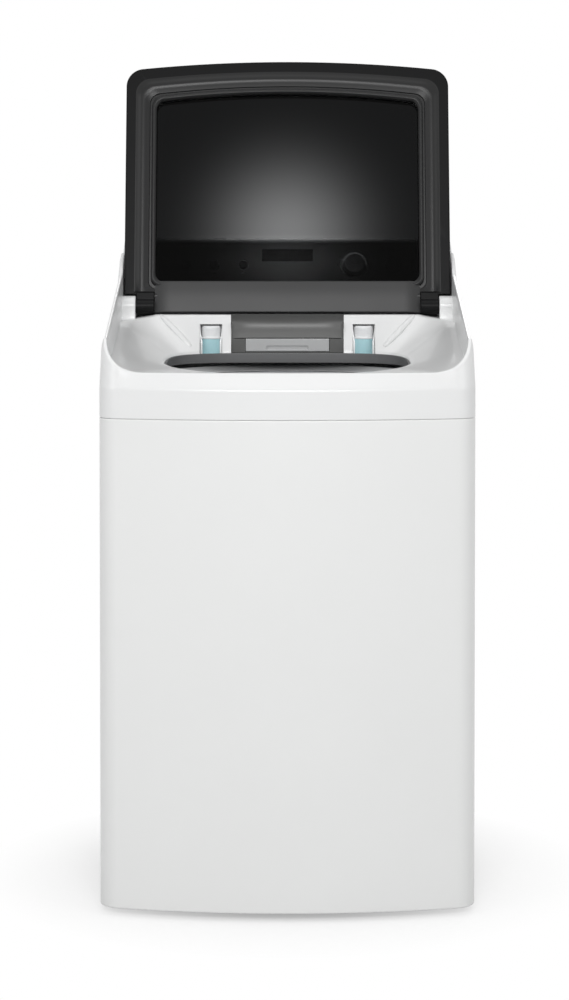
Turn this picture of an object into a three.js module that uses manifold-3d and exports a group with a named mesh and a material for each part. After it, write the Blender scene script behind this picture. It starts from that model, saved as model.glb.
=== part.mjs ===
// Top load washing machine, in millimetres: +X to the right, the front faces -Y, +Z up.
// The origin is on the floor, below the middle of the bounding box.

import * as THREE from 'three';
import { mergeVertices } from 'three/addons/utils/BufferGeometryUtils.js';
import Module from 'manifold-3d';

const wasm = await Module();
wasm.setup();

// Shares of the sizes that they follow
const midShare = 0.5;
const quarterShare = 0.25;
const footTaperShare = 0.9;
const neckShare = 0.68;
const cordShare = 0.3;
const skirtShare = 0.25;
const gripShare = 0.86;
const dividerShare = 0.36;
const gripHeightShare = 0.45;
const ribRiseShare = 0.3;
const beadShares = [0.2, 0.4, 0.6, 0.8];
const beadReachShare = 0.86;
const windowShare = 0.94;
const windowMarginShare = 0.12;
const lugTaperShare = 0.8;
const carrierTaperShare = 0.7;
const facetShare = 0.997; // keeps a curved back inside the flats of the round wall behind it
const dishShares = [0.25, 0.5, 0.75, 1];
const vaneShares = [0, 0.25, 0.5, 0.75, 1];
const vaneSweepShare = 0.5; // radians over the vane's length
const archShares = [[-1, 0], [1, 0], [0.85, 0.55], [0.45, 0.9], [-0.45, 0.9], [-0.85, 0.55]];

const quarterTurn = Math.PI / 2;
const fullTurn = Math.PI * 2;

// Clearances and resolution
const touch = 0.3; // between pieces that rest on each other
const running = 0.5; // between a piece and one that turns or slides in it
const buttonGap = 0.6;
const lugPlay = 2;
const seatLap = 2.7; // glass carried on the frame's inner wall
const overrun = 20; // what a cutter passes its work by
const weldTolerance = 0.0001;
const bowSteps = 8;
const cornerSteps = 4;
const sideSteps = 3;
const rearSteps = 6;
const drumSegments = 36;
const roundSegments = 16;
const smallSegments = 10;

// Driving dimensions: the cabinet's width and the room that the tub has in it
const cabinetWidth = 600;
const cabinetHalfWidth = cabinetWidth * midShare;
const tubSideRoom = 60;
const tubFrontRoom = 30;
const tubRearRoom = 110;
const drumY = -50;
const tubRadius = cabinetHalfWidth - tubSideRoom;

// The cabinet
const cabinetFrontY = drumY - tubRadius - tubFrontRoom; // front of the bow, at the middle
const cabinetRearY = drumY + tubRadius + tubRearRoom;
const frontBow = 32;
const frontCornerRadius = 38;
const rearCornerRadius = 14;
const cabinetBottomZ = 12;
const seamZ = 794;
const sheet = 1.5;
const edgeFlange = 14; // folded edges of the sheet
const rearOpeningMargin = 32; // sheet left beside the rear opening

// The drum opening, about the drum's axis
const openingInset = 35; // inside the tub's wall
const openingFrontBulge = 3;
const openingRearFlat = 30;
const openingHalfWidth = tubRadius - openingInset;
const openingFront = openingHalfWidth + openingFrontBulge;
const openingRear = openingHalfWidth - openingRearFlat;
const openingRearY = drumY + openingRear;
const openingFrontPower = 2;
const openingRearPower = 4;

// The top cover and its deck
const coverSkin = 3;
const creaseRise = 48;
const lipRise = 25;
const lipSetBack = 27;
const lipBow = 14;
const openingDrop = 5; // from the lip down to the opening's front edge
const openingTilt = 11; // its rear edge stands this much higher
const collarDepth = 6;
const rimSetIn = 3;
const rimWidth = 8.5;
const rimShoulderSetBack = 50;
const rimShoulderRise = 28;
const rimFrontSetBack = 76;
const rimFrontRise = 19;
const rimPivotRise = 92;
const bayCornerRadius = 44;
const deckRearRadius = 62;
const rearWallLean = 15;
const ledgeDrop = 8; // from the closed lid's inner face down to the deck's edge
const creaseZ = seamZ + creaseRise;
const lipZ = creaseZ + lipRise;
const lipY = cabinetFrontY + lipSetBack;
const openingFrontZ = lipZ - openingDrop;
const openingRearZ = openingFrontZ + openingTilt;
const collarBottomZ = openingFrontZ - collarDepth;
const rimHalfWidth = cabinetHalfWidth - rimSetIn;
const bayHalfWidth = rimHalfWidth - rimWidth;
const rimShoulderY = cabinetFrontY + rimShoulderSetBack;
const rimShoulderZ = lipZ + rimShoulderRise;
const rimFrontY = cabinetFrontY + rimFrontSetBack;
const rimFrontZ = rimShoulderZ + rimFrontRise;
const rimPivotZ = rimFrontZ + rimPivotRise;
const deckRearY = openingRearY + rearWallLean;

// The hinge and the lid, in the lid's own plane: up is away from the hinge, the inner face is at zero
const hingeSetBack = 25;
const hingeDrop = 54; // below the rim
const hingeHeight = 24; // above the valley
const pivotY = openingRearY + hingeSetBack;
const pivotZ = rimPivotZ - hingeDrop;
const valleyZ = pivotZ - hingeHeight;
const lidLeanDegrees = 12; // how far the open lid leans back
const lidCloseDegrees = 10.5; // how far the closed lid falls to the front
const lidLean = THREE.MathUtils.degToRad(lidLeanDegrees);
const lidClose = THREE.MathUtils.degToRad(lidCloseDegrees);
const lidSideGap = 2.5;
const lidFrontGap = 9.5;
const lidHalfWidth = bayHalfWidth - lidSideGap;
const lidReach = (pivotY - lipY) / Math.cos(lidClose) - lidFrontGap;
const lidTail = 12; // the lid reaches this far below its hinge
const lidBow = 13;
const lidCornerRadius = 32;
const lidTailRadius = 6;
const lidDepth = 36;
const lidEdgeChamfer = 6;
const lidWall = 3;
const lidBandWidth = 18;
const glassSideMargin = 54.5;
const glassTopMargin = 59;
const glassHalfWidth = lidHalfWidth - glassSideMargin;
const glassBottom = 43;
const glassTop = lidReach - glassTopMargin;
const glassBow = 13;
const glassRadius = 16;
const glassThickness = 4;
const glassSeatDepth = 14;
const ridgeHeight = 5;
const ridgeWidth = 8;
const grooveWidth = 4;
const grooveDepth = 3;
const shoulderHeight = 3;
const gripHalfWidth = 98;
const gripMargin = 21;
const gripHeight = 16;
const gripTop = lidReach - gripMargin;
const gripBottom = gripTop - gripHeight;
const gripDepth = 1.6;
const lidRelief = 22; // how far up the lid's corners are cut back round the hinge bosses
const bossRadius = 18;
const bossLength = 23;
const bossInnerX = bayHalfWidth - bossLength;
const knuckleRadius = 12;
const knuckleLength = 32.5;
const knuckleInnerX = bossInnerX - knuckleLength;
const pinRadius = 5;
const pinInset = 7;
const pinEndWall = 4.5;
const pinInnerX = knuckleInnerX + pinInset;
const pinOuterX = bayHalfWidth - pinEndWall;

// The console behind the lid: its front stands just clear of the open lid
const consoleShoulderSetBack = 90;
const consoleShoulderRise = 60;
const consoleTopDepth = 30;
const consoleTopRise = 3;
const consoleRearFall = 9;
const consoleWall = 2.5;
const consoleShoulderY = pivotY + consoleShoulderSetBack;
const consoleShoulderZ = rimPivotZ + consoleShoulderRise;
const consoleTopY = consoleShoulderY + consoleTopDepth;
const consoleTopZ = consoleShoulderZ + consoleTopRise;
const consoleRearZ = consoleTopZ - consoleRearFall;
const lidBackY = lidDepth * Math.cos(lidLean) + (hingeDrop + lidDepth * Math.sin(lidLean)) * Math.tan(lidLean);
const rimGain = 1 - Math.tan(lidLean) * consoleShoulderRise / consoleShoulderSetBack;
const consoleFrontY = pivotY + (lidBackY + touch * 2) / rimGain;
const bayRearSetBack = 5;
const bayRearY = consoleFrontY + bayRearSetBack;
const fasciaRise = 57;
const fasciaTopDrop = 6;
const fasciaTopSetBack = 8;
const fasciaMargin = 21;
const fasciaBottomY = bayRearY;
const fasciaBottomZ = valleyZ + fasciaRise;
const fasciaTopY = consoleShoulderY - fasciaTopSetBack;
const fasciaTopZ = consoleShoulderZ - fasciaTopDrop;
const fasciaHalfWidth = rimHalfWidth - fasciaMargin;
const fasciaThickness = 3;
const displayHalfWidth = 45;
const displayHeight = 22;
const displayUp = 56; // along the fascia, from its lower edge
const displayThickness = 1.8;
const powerButtonInset = 44;
const startButtonPitch = 44;
const dialPitch = 69;
const powerButtonX = fasciaHalfWidth - powerButtonInset;
const startButtonX = powerButtonX - startButtonPitch;
const dialX = startButtonX - dialPitch;
const dialRadius = 22;
const dialUp = 38;
const dialDepth = 16;
const dialSpindleRadius = 5;
const dialSpindleLength = 8;
const dialEdge = 3;
const buttonRadius = 7.5;
const startButtonRadius = 12;
const buttonDepth = 7;
const buttonTravel = 1.5;
const buttonFlange = 2;
const buttonEdge = 1.2;
const optionButtonCount = 3;
const optionButtonGap = 33;
const optionButtonInset = 94;
const optionButtonX = -displayHalfWidth - optionButtonGap; // the one nearest to the display
const optionButtonEndX = optionButtonInset - fasciaHalfWidth;

// Detergent drawer and dosing cups
const drawerHalfWidth = 73;
const drawerSetBack = 4;
const drawerLength = 118;
const drawerHeight = 22;
const drawerWall = 2;
const drawerFaceThickness = 4;
const drawerRearRoom = 15;
const drawerFrontY = openingRearY + drawerSetBack;
const housingSideRoom = 25;
const housingHalfWidth = drawerHalfWidth + housingSideRoom;
const housingDrop = 57;
const housingCover = 4;
const housingBottomZ = valleyZ - housingDrop;
const housingTopZ = valleyZ - housingCover;
const housingWall = 2.5;
const housingRearY = drawerFrontY + drawerLength + drawerRearRoom;
const cupSetOut = 35;
const cupSetBack = 16;
const cupX = housingHalfWidth + cupSetOut;
const cupY = openingRearY + cupSetBack;
const cupRadius = 19;
const cupDrop = 62;
const capDrop = 32;
const capHeight = 22.5;
const cupFloorZ = valleyZ - cupDrop;
const capBottomZ = valleyZ - capDrop;
const capTopZ = capBottomZ + capHeight;
const cupWellWall = 3;
const cupEdge = 2;

// The tub, the basket and what turns in them
const tubDraft = 6;
const tubFloorRadius = tubRadius - tubDraft;
const tubWall = 3;
const tubDepth = 438;
const tubFloorThickness = 6;
const tubRingDrop = 10;
const tubRingHeight = 8;
const tubRingTopZ = collarBottomZ - tubRingDrop;
const tubRimZ = tubRingTopZ - tubRingHeight;
const tubFloorZ = tubRimZ - tubDepth;
const tubRingInnerRadius = openingHalfWidth;
const tubRingSkirt = 16;
const tubCornerRadius = 26;
const tubHubRadius = 40;
const tubHubRise = 16;
const tubHubTopZ = tubFloorZ + tubHubRise;
const basketGap = 18;
const basketRadius = tubRadius - basketGap;
const basketWall = 1.5;
const basketLift = 24;
const basketFloorZ = tubFloorZ + basketLift;
const basketFloorRise = 12;
const balanceWidth = 33;
const balanceHeight = 48;
const balanceLap = 4;
const balanceTopZ = tubRimZ;
const balanceBottomZ = balanceTopZ - balanceHeight;
const basketRimZ = balanceBottomZ + balanceLap;
const balanceInnerRadius = basketRadius - balanceWidth;
const balanceEdge = 9;
const basketHubRadius = 46;
const basketHubThickness = 3;
const pulsatorGap = 50;
const pulsatorLift = 14;
const pulsatorRadius = basketRadius - pulsatorGap;
const pulsatorZ = basketFloorZ + pulsatorLift;
const pulsatorThickness = 5;
const pulsatorDish = 14;
const pulsatorHubRadius = 36;
const pulsatorHubHeight = 34;
const vaneCount = 6;
const vaneHeight = 26;
const vaneWidth = 23;
const spinShaftRadius = 17;
const driveShaftRadius = 9;
const driveShaftNut = 6;
const lintFilterHalfWidth = 42;
const lintFilterHeight = 140;
const lintFilterDrop = 90; // below the balance ring
const lintFilterDepth = 12;
const lintFilterTopZ = balanceBottomZ - lintFilterDrop;
const lintFilterBottomZ = lintFilterTopZ - lintFilterHeight;

// Under the tub
const carrierRibInset = 31; // ribs under the tub that rest on the carrier
const carrierRibRadius = tubFloorRadius - carrierRibInset;
const carrierRibWidth = 6;
const carrierRibHeight = 4;
const carrierTopZ = tubFloorZ - carrierRibHeight;
const carrierThickness = 4;
const carrierArmWidth = 64;
const carrierArmInset = 20;
const carrierArmReach = tubFloorRadius - carrierArmInset;
const carrierHubRadius = 96;
const gearcaseRadius = 74;
const gearcaseHeight = 104;
const gearcaseBottomZ = carrierTopZ - gearcaseHeight;
const gearcaseFlangeRadius = 86;
const gearcaseFlange = 5;
const gearcaseEdge = 8;
const bearingOuterRadius = 31;
const bearingHeight = 16;
const spinShaftBottomZ = gearcaseBottomZ + gearcaseEdge;
const pulleyDrop = 30;
const pulleyZ = gearcaseBottomZ - pulleyDrop; // middle of the belt
const beltWidth = 10;
const beltThickness = 5;
const pulleyFlange = 3;
const drivePulleyRadius = 66;
const motorPulleyRadius = 22;
const motorRadius = 62;
const motorGap = 12;
const motorHeight = 110;
const motorX = -gearcaseFlangeRadius - motorRadius - motorGap;
const motorY = drumY;
const motorBottomZ = carrierTopZ - motorHeight;
const motorMountHalfWidth = 40;
const motorShaftRadius = 7;

// Suspension
const rodInset = 32;
const rodFrontSetBack = 38;
const rodX = tubRadius - rodInset;
const rodFrontY = cabinetFrontY + frontBow + rodFrontSetBack;
const rodRearY = drumY + rodX;
const rodRadius = 4.5;
const rodBallRadius = 11;
const gussetDrop = 56;
const gussetZ = seamZ - gussetDrop;
const gussetThickness = 4;
const gussetFrontMargin = 68;
const gussetRearMargin = 108;
const gussetFrontReach = cabinetHalfWidth - rodX + gussetFrontMargin;
const gussetRearReach = cabinetRearY - rodRearY + gussetRearMargin;
const lugRise = 30;
const lugZ = tubFloorZ + lugRise;
const lugThickness = 12;
const lugRadius = 25;
const springCoilRadius = 15;
const springWireRadius = 2;
const springTurns = 5;
const springLength = 66;
const rodCupThickness = 6;
const rodCupRadius = 22;

// Base, feet and water
const baseWall = 3.5;
const baseHeight = 52;
const baseOpeningRadius = 40;
const baseRibThickness = 4;
const footInset = 64;
const footSetBack = 74;
const footX = cabinetHalfWidth - footInset;
const footY = cabinetRearY - footSetBack;
const footRadius = 23;
const footPadHeight = 9;
const footNutRadius = 13;
const footNutHeight = 5;
const footStudRadius = 5.5;
const footStudLength = 26;
const footBossRadius = 20;
const footStudTopZ = cabinetBottomZ + footStudLength;
const sumpInset = 62;
const pumpX = tubFloorRadius - sumpInset;
const pumpY = drumY;
const pumpRadius = 38;
const pumpHeight = 88;
const pumpFlangeRadius = 46;
const pumpFlange = 6;
const pumpGap = 14;
const baseOpeningHalfWidth = pumpX - pumpFlangeRadius - pumpGap;
const baseOpeningInset = 36;
const baseOpeningHalfDepth = footY - baseOpeningInset;
const bellowsRadius = 22;
const bellowsRibDepth = 5;
const bellowsBore = 13;
const bellowsRibs = 9;
const spigotRadius = 12.5;
const spigotWall = 2.5;
const outletTubeRadius = 14;
const outletTubeZ = 88;
const outletStandOut = 18;
const outletEndY = cabinetRearY + outletStandOut;
const outletRun = 120;
const collarLip = 1.5;
const collarWidth = 6;
const valveInset = 132;
const valveRise = 40;
const valveX = valveInset - cabinetHalfWidth;
const valveZ = valleyZ + valveRise;
const valvePitch = 58;
const valveEndRadius = 13;
const valveStandOut = 20;
const valveEndY = cabinetRearY + valveStandOut;
const valveBodyDepth = 44;
const valveShoulder = 4;
const grommetInset = 110;
const grommetDrop = 74;
const grommetX = cabinetHalfWidth - grommetInset;
const grommetZ = seamZ - grommetDrop;
const grommetRadius = 15;
const grommetLength = 13;
const sensorRadius = 21;
const sensorHeight = 24;
const sensorX = 100;
const sensorSetIn = 44;
const sensorY = cabinetRearY - sensorSetIn;
const switchWidth = 16;
const switchLength = 34;
const switchHeight = 24;
const switchInset = 27.5;
const switchX = bossInnerX - switchInset;

// Solids: closed, with their faces out
function solidOf(geometry) {
  const bare = geometry.clone();
  for (const name of Object.keys(bare.attributes)) {
    if (name !== 'position') bare.deleteAttribute(name);
  }
  const merged = mergeVertices(bare, weldTolerance);
  const position = merged.getAttribute('position');
  const source = merged.index.array;
  const triangles = [];
  for (let i = 0; i < source.length; i += 3) {
    const [a, b, c] = [source[i], source[i + 1], source[i + 2]];
    if (a !== b && b !== c && c !== a) triangles.push(a, b, c);
  }
  if (volumeOf(position, triangles) < 0) triangles.reverse();
  return new wasm.Manifold(new wasm.Mesh({
    numProp: 3,
    vertProperties: new Float32Array(position.array),
    triVerts: new Uint32Array(triangles),
  }));
}

function volumeOf(position, triangles) {
  const corners = [new THREE.Vector3(), new THREE.Vector3(), new THREE.Vector3()];
  let sum = 0;
  for (let i = 0; i < triangles.length; i += 3) {
    corners.forEach((corner, k) => corner.fromBufferAttribute(position, triangles[i + k]));
    sum += corners[0].dot(corners[1].cross(corners[2]));
  }
  return sum;
}

function geometryOf(solid) {
  const { vertProperties, triVerts } = solid.getMesh();
  const geometry = new THREE.BufferGeometry();
  geometry.setAttribute('position', new THREE.BufferAttribute(vertProperties, 3));
  geometry.setIndex(new THREE.BufferAttribute(triVerts, 1));
  geometry.computeVertexNormals();
  return geometry;
}

function joined(first, ...others) {
  return others.reduce((sum, next) => sum.add(next), first);
}

function cut(first, ...others) {
  return others.reduce((rest, next) => rest.subtract(next), first);
}

const plan = (x, y) => new THREE.Vector2(x, y);
const alongX = new THREE.Matrix4().makeBasis(
  new THREE.Vector3(0, 1, 0), new THREE.Vector3(0, 0, 1), new THREE.Vector3(1, 0, 0));

// A box between two corners
function block([x0, x1], [y0, y1], [z0, z1]) {
  const geometry = new THREE.BoxGeometry(x1 - x0, y1 - y0, z1 - z0);
  geometry.translate((x0 + x1) * midShare, (y0 + y1) * midShare, (z0 + z1) * midShare);
  return solidOf(geometry);
}

// An outline in plan, raised from one height to another
function prism(points, z0, z1) {
  const geometry = new THREE.ExtrudeGeometry(new THREE.Shape(points), { depth: z1 - z0, bevelEnabled: false });
  geometry.translate(0, 0, z0);
  return solidOf(geometry);
}

// A side view of (y, z) points, drawn out along X
function sideProfile(points, x0, x1) {
  const geometry = new THREE.ExtrudeGeometry(new THREE.Shape(points), { depth: x1 - x0, bevelEnabled: false });
  geometry.applyMatrix4(alongX);
  geometry.translate(x0, 0, 0);
  return solidOf(geometry);
}

// A profile of (radius, z) points turned about an upright axis
function turned(profile, { x = 0, y = 0, segments = roundSegments } = {}) {
  const geometry = new THREE.LatheGeometry(profile, segments);
  geometry.rotateX(quarterTurn);
  geometry.translate(x, y, 0);
  return solidOf(geometry);
}

function closedProfile(points) {
  return [...points, points[0]];
}

function uprightRod(x, y, radius, z0, z1, segments = roundSegments) {
  const geometry = new THREE.CylinderGeometry(radius, radius, z1 - z0, segments);
  geometry.rotateX(quarterTurn);
  geometry.translate(x, y, (z0 + z1) * midShare);
  return solidOf(geometry);
}

function crossRod(radius, x0, x1, y, z, segments = roundSegments) {
  const geometry = new THREE.CylinderGeometry(radius, radius, x1 - x0, segments);
  geometry.rotateZ(quarterTurn);
  geometry.translate((x0 + x1) * midShare, y, z);
  return solidOf(geometry);
}

function rearwardRod(x, z, radius, y0, y1, segments = roundSegments) {
  const geometry = new THREE.CylinderGeometry(radius, radius, y1 - y0, segments);
  geometry.translate(x, (y0 + y1) * midShare, z);
  return solidOf(geometry);
}

// Rings of as many points each, stitched into one skin and closed at both ends
function loft(rings) {
  const count = rings[0].length;
  const positions = rings.flat().flatMap((corner) => corner.toArray());
  const triangles = stitchRings(rings.length - 1, count);
  const flat = (ring) => ring.map((corner) => plan(corner.x, corner.y));
  const last = (rings.length - 1) * count;
  for (const [a, b, c] of THREE.ShapeUtils.triangulateShape(flat(rings[0]), [])) triangles.push(c, b, a);
  for (const [a, b, c] of THREE.ShapeUtils.triangulateShape(flat(rings[rings.length - 1]), [])) {
    triangles.push(last + a, last + b, last + c);
  }
  return meshSolid(positions, triangles);
}

// Rings that close on themselves, as a moulding that runs round a frame
function moulding(rings) {
  const count = rings[0].length;
  const positions = rings.flat().flatMap((corner) => corner.toArray());
  return meshSolid(positions, stitchRings(rings.length, count));
}

function stitchRings(bands, count) {
  const triangles = [];
  for (let band = 0; band < bands; band += 1) {
    const low = band * count;
    const high = low + count;
    for (let i = 0; i < count; i += 1) {
      const next = (i + 1) % count;
      triangles.push(low + i, low + next, high + next, low + i, high + next, high + i);
    }
  }
  return triangles;
}

function meshSolid(positions, triangles) {
  const total = positions.length / 3;
  const geometry = new THREE.BufferGeometry();
  geometry.setAttribute('position', new THREE.Float32BufferAttribute(positions, 3));
  geometry.setIndex(triangles.map((index) => index % total));
  return solidOf(geometry);
}

function ringAt(outline, height) {
  const heightAt = typeof height === 'function' ? height : () => height;
  return outline.map(({ x, y }) => new THREE.Vector3(x, y, heightAt(x, y)));
}

// Outlines in plan, counterclockwise from the left end of the bowed side, with as many points each
function arcPoints(x, y, radius, from, to, steps) {
  return Array.from({ length: steps + 1 }, (_, i) => {
    const angle = from + (to - from) * i / steps;
    return plan(x + radius * Math.cos(angle), y + radius * Math.sin(angle));
  });
}

function linePoints(from, to, steps) {
  return Array.from({ length: steps - 1 }, (_, i) => from.clone().lerp(to, (i + 1) / steps));
}

function bowedOutline({ halfWidth, frontY, rearY, bow, frontRadius, rearRadius }) {
  const lean = Math.atan2(2 * bow, halfWidth - frontRadius);
  const bowEnd = halfWidth - frontRadius * (1 - Math.sin(lean));
  const cornerY = frontY + bow + frontRadius * Math.cos(lean);
  const rearCornerX = halfWidth - rearRadius;
  const rearCornerY = rearY - rearRadius;
  const front = Array.from({ length: bowSteps - 1 }, (_, i) => {
    const share = 2 * (i + 1) / bowSteps - 1;
    return plan(bowEnd * share, frontY + bow * share * share);
  });
  const frontCorner = arcPoints(halfWidth - frontRadius, cornerY, frontRadius, lean - quarterTurn, 0, cornerSteps);
  const rearCorner = arcPoints(rearCornerX, rearCornerY, rearRadius, 0, quarterTurn, cornerSteps);
  const side = linePoints(frontCorner[cornerSteps], rearCorner[0], sideSteps);
  const right = [...frontCorner, ...side, ...rearCorner];
  const left = right.map(({ x, y }) => plan(-x, y)).reverse();
  const rear = linePoints(right[right.length - 1], left[0], rearSteps);
  return [...front, ...right, ...rear, ...left];
}

const cabinetOutline = (inset) => bowedOutline({
  halfWidth: cabinetHalfWidth - inset,
  frontY: cabinetFrontY + inset,
  rearY: cabinetRearY - inset,
  bow: frontBow,
  frontRadius: frontCornerRadius - inset,
  rearRadius: Math.max(rearCornerRadius - inset, touch),
});

function openingRadius(angle, grow) {
  const halfDepth = Math.sin(angle) < 0 ? openingFront : openingRear;
  const power = Math.sin(angle) < 0 ? openingFrontPower : openingRearPower;
  const across = Math.abs(Math.cos(angle) / openingHalfWidth) ** power;
  const along = Math.abs(Math.sin(angle) / halfDepth) ** power;
  return (across + along) ** (-1 / power) + grow;
}

// The drum opening, with a point on the same ray as each point of the deck's outline
function openingOutline(deckPoints, grow) {
  return deckPoints.map(({ x, y }) => {
    const angle = Math.atan2(y - drumY, x);
    const radius = openingRadius(angle, grow);
    return plan(radius * Math.cos(angle), drumY + radius * Math.sin(angle));
  });
}

const openingFrontEdge = drumY - openingFront;
const openingSlope = (openingRearZ - openingFrontZ) / (openingFront + openingRear);
const openingHeight = (x, y) => openingFrontZ + openingSlope * (y - openingFrontEdge);
const valleyFrontY = pivotY - (pivotZ - ledgeDrop - valleyZ) / Math.tan(lidClose);
const ledgeHeight = (x, y) => Math.min(valleyZ, pivotZ - ledgeDrop - Math.tan(lidClose) * (pivotY - y));

const deckOutline = (grow) => bowedOutline({
  halfWidth: bayHalfWidth + grow,
  frontY: lipY - grow,
  rearY: deckRearY + grow,
  bow: lipBow,
  frontRadius: bayCornerRadius + grow,
  rearRadius: deckRearRadius + grow,
});

// The rim of the cover, seen from the side
function rimProfile(drop) {
  const belowZ = seamZ - overrun;
  return [
    plan(cabinetFrontY - overrun, belowZ),
    plan(cabinetRearY + overrun, belowZ),
    plan(cabinetRearY + overrun, valleyZ - drop),
    plan(consoleFrontY - touch - drop, valleyZ - drop),
    plan(consoleFrontY - touch - drop, rimHeight(consoleFrontY) - drop),
    plan(pivotY, rimPivotZ - drop),
    plan(rimFrontY, rimFrontZ - drop),
    plan(cabinetFrontY - overrun, rimFrontZ - drop),
  ];
}

function rimHeight(y) {
  return rimPivotZ + (consoleShoulderZ - rimPivotZ) * (y - pivotY) / (consoleShoulderY - pivotY);
}

function coverBody(inset) {
  const ring = (halfWidth, frontY, z) => ringAt(bowedOutline({
    halfWidth: halfWidth - inset,
    frontY: frontY + inset,
    rearY: cabinetRearY - inset,
    bow: frontBow,
    frontRadius: frontCornerRadius - inset,
    rearRadius: rearCornerRadius - inset,
  }), z);
  const lowZ = inset > 0 ? seamZ - overrun : seamZ;
  const shell = loft([
    ring(cabinetHalfWidth, cabinetFrontY, lowZ),
    ring(cabinetHalfWidth, cabinetFrontY, creaseZ - inset * midShare),
    ring(cabinetHalfWidth, lipY, lipZ - inset * midShare),
    ring(rimHalfWidth, rimShoulderY, rimShoulderZ - inset),
    ring(rimHalfWidth, rimFrontY, rimFrontZ - inset),
    ring(rimHalfWidth, rimFrontY, consoleTopZ + overrun),
  ]);
  return shell.intersect(sideProfile(rimProfile(inset), -cabinetWidth, cabinetWidth));
}

// Everything taken out above the deck; grown by the skin, it is what the hollow leaves standing
function recessBody(grow) {
  const deck = deckOutline(grow);
  const opening = openingOutline(deckOutline(0), grow);
  const drop = grow;
  const lowZ = grow > 0 ? collarBottomZ : seamZ - overrun;
  const floor = (x, y) => ledgeHeight(x, y) - drop;
  const top = consoleTopZ + overrun;
  const funnel = loft([
    ringAt(opening, lowZ),
    ringAt(opening, (x, y) => openingHeight(x, y) - drop),
    ringAt(deck, floor),
    ringAt(deck, top),
  ]);
  const halfWidth = bayHalfWidth + grow;
  return funnel.add(block([-halfWidth, halfWidth], [valleyFrontY, bayRearY + grow], [valleyZ - drop, top]));
}

function mirroredPair(make) {
  return [make(-1), make(1)];
}

function span(from, to) {
  return [Math.min(from, to), Math.max(from, to)];
}

function topCover() {
  const hollow = coverBody(coverSkin).subtract(recessBody(coverSkin));
  const bosses = mirroredPair((side) => {
    const reach = span(side * bossInnerX, side * (bayHalfWidth + coverSkin));
    const pillar = block(reach, [pivotY - bossRadius, pivotY + bossRadius], [valleyZ - coverSkin, pivotZ]);
    return pillar.add(crossRod(bossRadius, reach[0], reach[1], pivotY, pivotZ));
  });
  const bores = mirroredPair((side) => {
    const reach = span(side * (bossInnerX - overrun), side * (pinOuterX + running));
    return crossRod(pinRadius + touch, reach[0], reach[1], pivotY, pivotZ, smallSegments);
  });
  const wells = mirroredPair((side) => uprightRod(
    side * cupX, cupY, cupRadius + cupWellWall, cupFloorZ - cupWellWall, valleyZ - coverSkin * midShare));
  const wellFronts = mirroredPair((side) => block(
    span(side * (cupX - cupRadius * 2), side * (cupX + cupRadius * 2)),
    [cupY - cupRadius * 2, openingRearY],
    [cupFloorZ - cupWellWall - overrun, valleyZ + overrun]));
  const pockets = mirroredPair((side) => uprightRod(
    side * cupX, cupY, cupRadius + touch, cupFloorZ, valleyZ + overrun));
  const drawerWay = block(
    [-housingHalfWidth, housingHalfWidth],
    [openingRearY - overrun, housingRearY],
    [housingBottomZ, housingTopZ]);
  const shell = coverBody(0).subtract(recessBody(0)).subtract(hollow);
  const fittedWells = wells.map((well, i) => cut(well, wellFronts[i]));
  const fixtures = joined(shell, ...bosses, ...fittedWells);
  return cut(fixtures, ...bores, ...pockets, drawerWay);
}

// Sheet metal and the moulded base
function cabinetWrap() {
  const wallOuter = prism(cabinetOutline(0), cabinetBottomZ, seamZ - touch);
  const wallInner = prism(cabinetOutline(sheet), cabinetBottomZ + sheet, seamZ - touch - sheet);
  const mouth = prism(cabinetOutline(edgeFlange), cabinetBottomZ - overrun, seamZ + overrun);
  const windowHalfWidth = cabinetHalfWidth - rearOpeningMargin;
  const rearWindow = block(
    [-windowHalfWidth, windowHalfWidth],
    [cabinetRearY - edgeFlange - sheet, cabinetRearY + overrun],
    [baseTopZ + edgeFlange * midShare, seamZ - edgeFlange]);
  return cut(wallOuter, wallInner, mouth, rearWindow).add(gussets());
}

const baseBottomZ = cabinetBottomZ + sheet + touch;
const baseTopZ = baseBottomZ + baseHeight;
const baseFloorZ = baseBottomZ + baseWall;
const panelHalfWidth = cabinetHalfWidth - rearOpeningMargin * midShare;
const rodPlaces = [
  { name: 'front_left', x: -rodX, y: rodFrontY },
  { name: 'front_right', x: rodX, y: rodFrontY },
  { name: 'rear_left', x: -rodX, y: rodRearY },
  { name: 'rear_right', x: rodX, y: rodRearY },
];

// Folded corner plates, welded into the wrap, that the suspension rods hang from
function gussets() {
  const inside = prism(cabinetOutline(sheet * midShare), gussetZ, gussetZ + gussetThickness);
  const plates = rodPlaces.map(({ x, y }) => {
    const side = Math.sign(x);
    const atFront = y < drumY;
    const cornerY = atFront ? cabinetFrontY + frontBow : cabinetRearY;
    const reach = atFront ? gussetFrontReach : gussetRearReach;
    const inward = atFront ? 1 : -1;
    const outerX = side * (cabinetHalfWidth + overrun);
    const outerY = cornerY - inward * (frontBow + overrun);
    const innerX = side * (cabinetHalfWidth - reach);
    const innerY = cornerY + inward * reach;
    const corner = prism([
      plan(outerX, outerY),
      plan(innerX, outerY),
      plan(innerX, cornerY),
      plan(side * cabinetHalfWidth, innerY),
      plan(outerX, innerY),
    ], gussetZ - overrun, gussetZ + overrun);
    const hole = uprightRod(x, y, rodRadius + running, gussetZ - overrun, gussetZ + overrun, smallSegments);
    return inside.intersect(corner).subtract(hole);
  });
  const panelInnerY = cabinetRearY - 2 * sheet - touch;
  const panelRoom = block(
    [-panelHalfWidth - touch, panelHalfWidth + touch],
    [panelInnerY - touch, cabinetRearY],
    [gussetZ - overrun, gussetZ + overrun]);
  return cut(joined(...plates), panelRoom);
}

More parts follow.
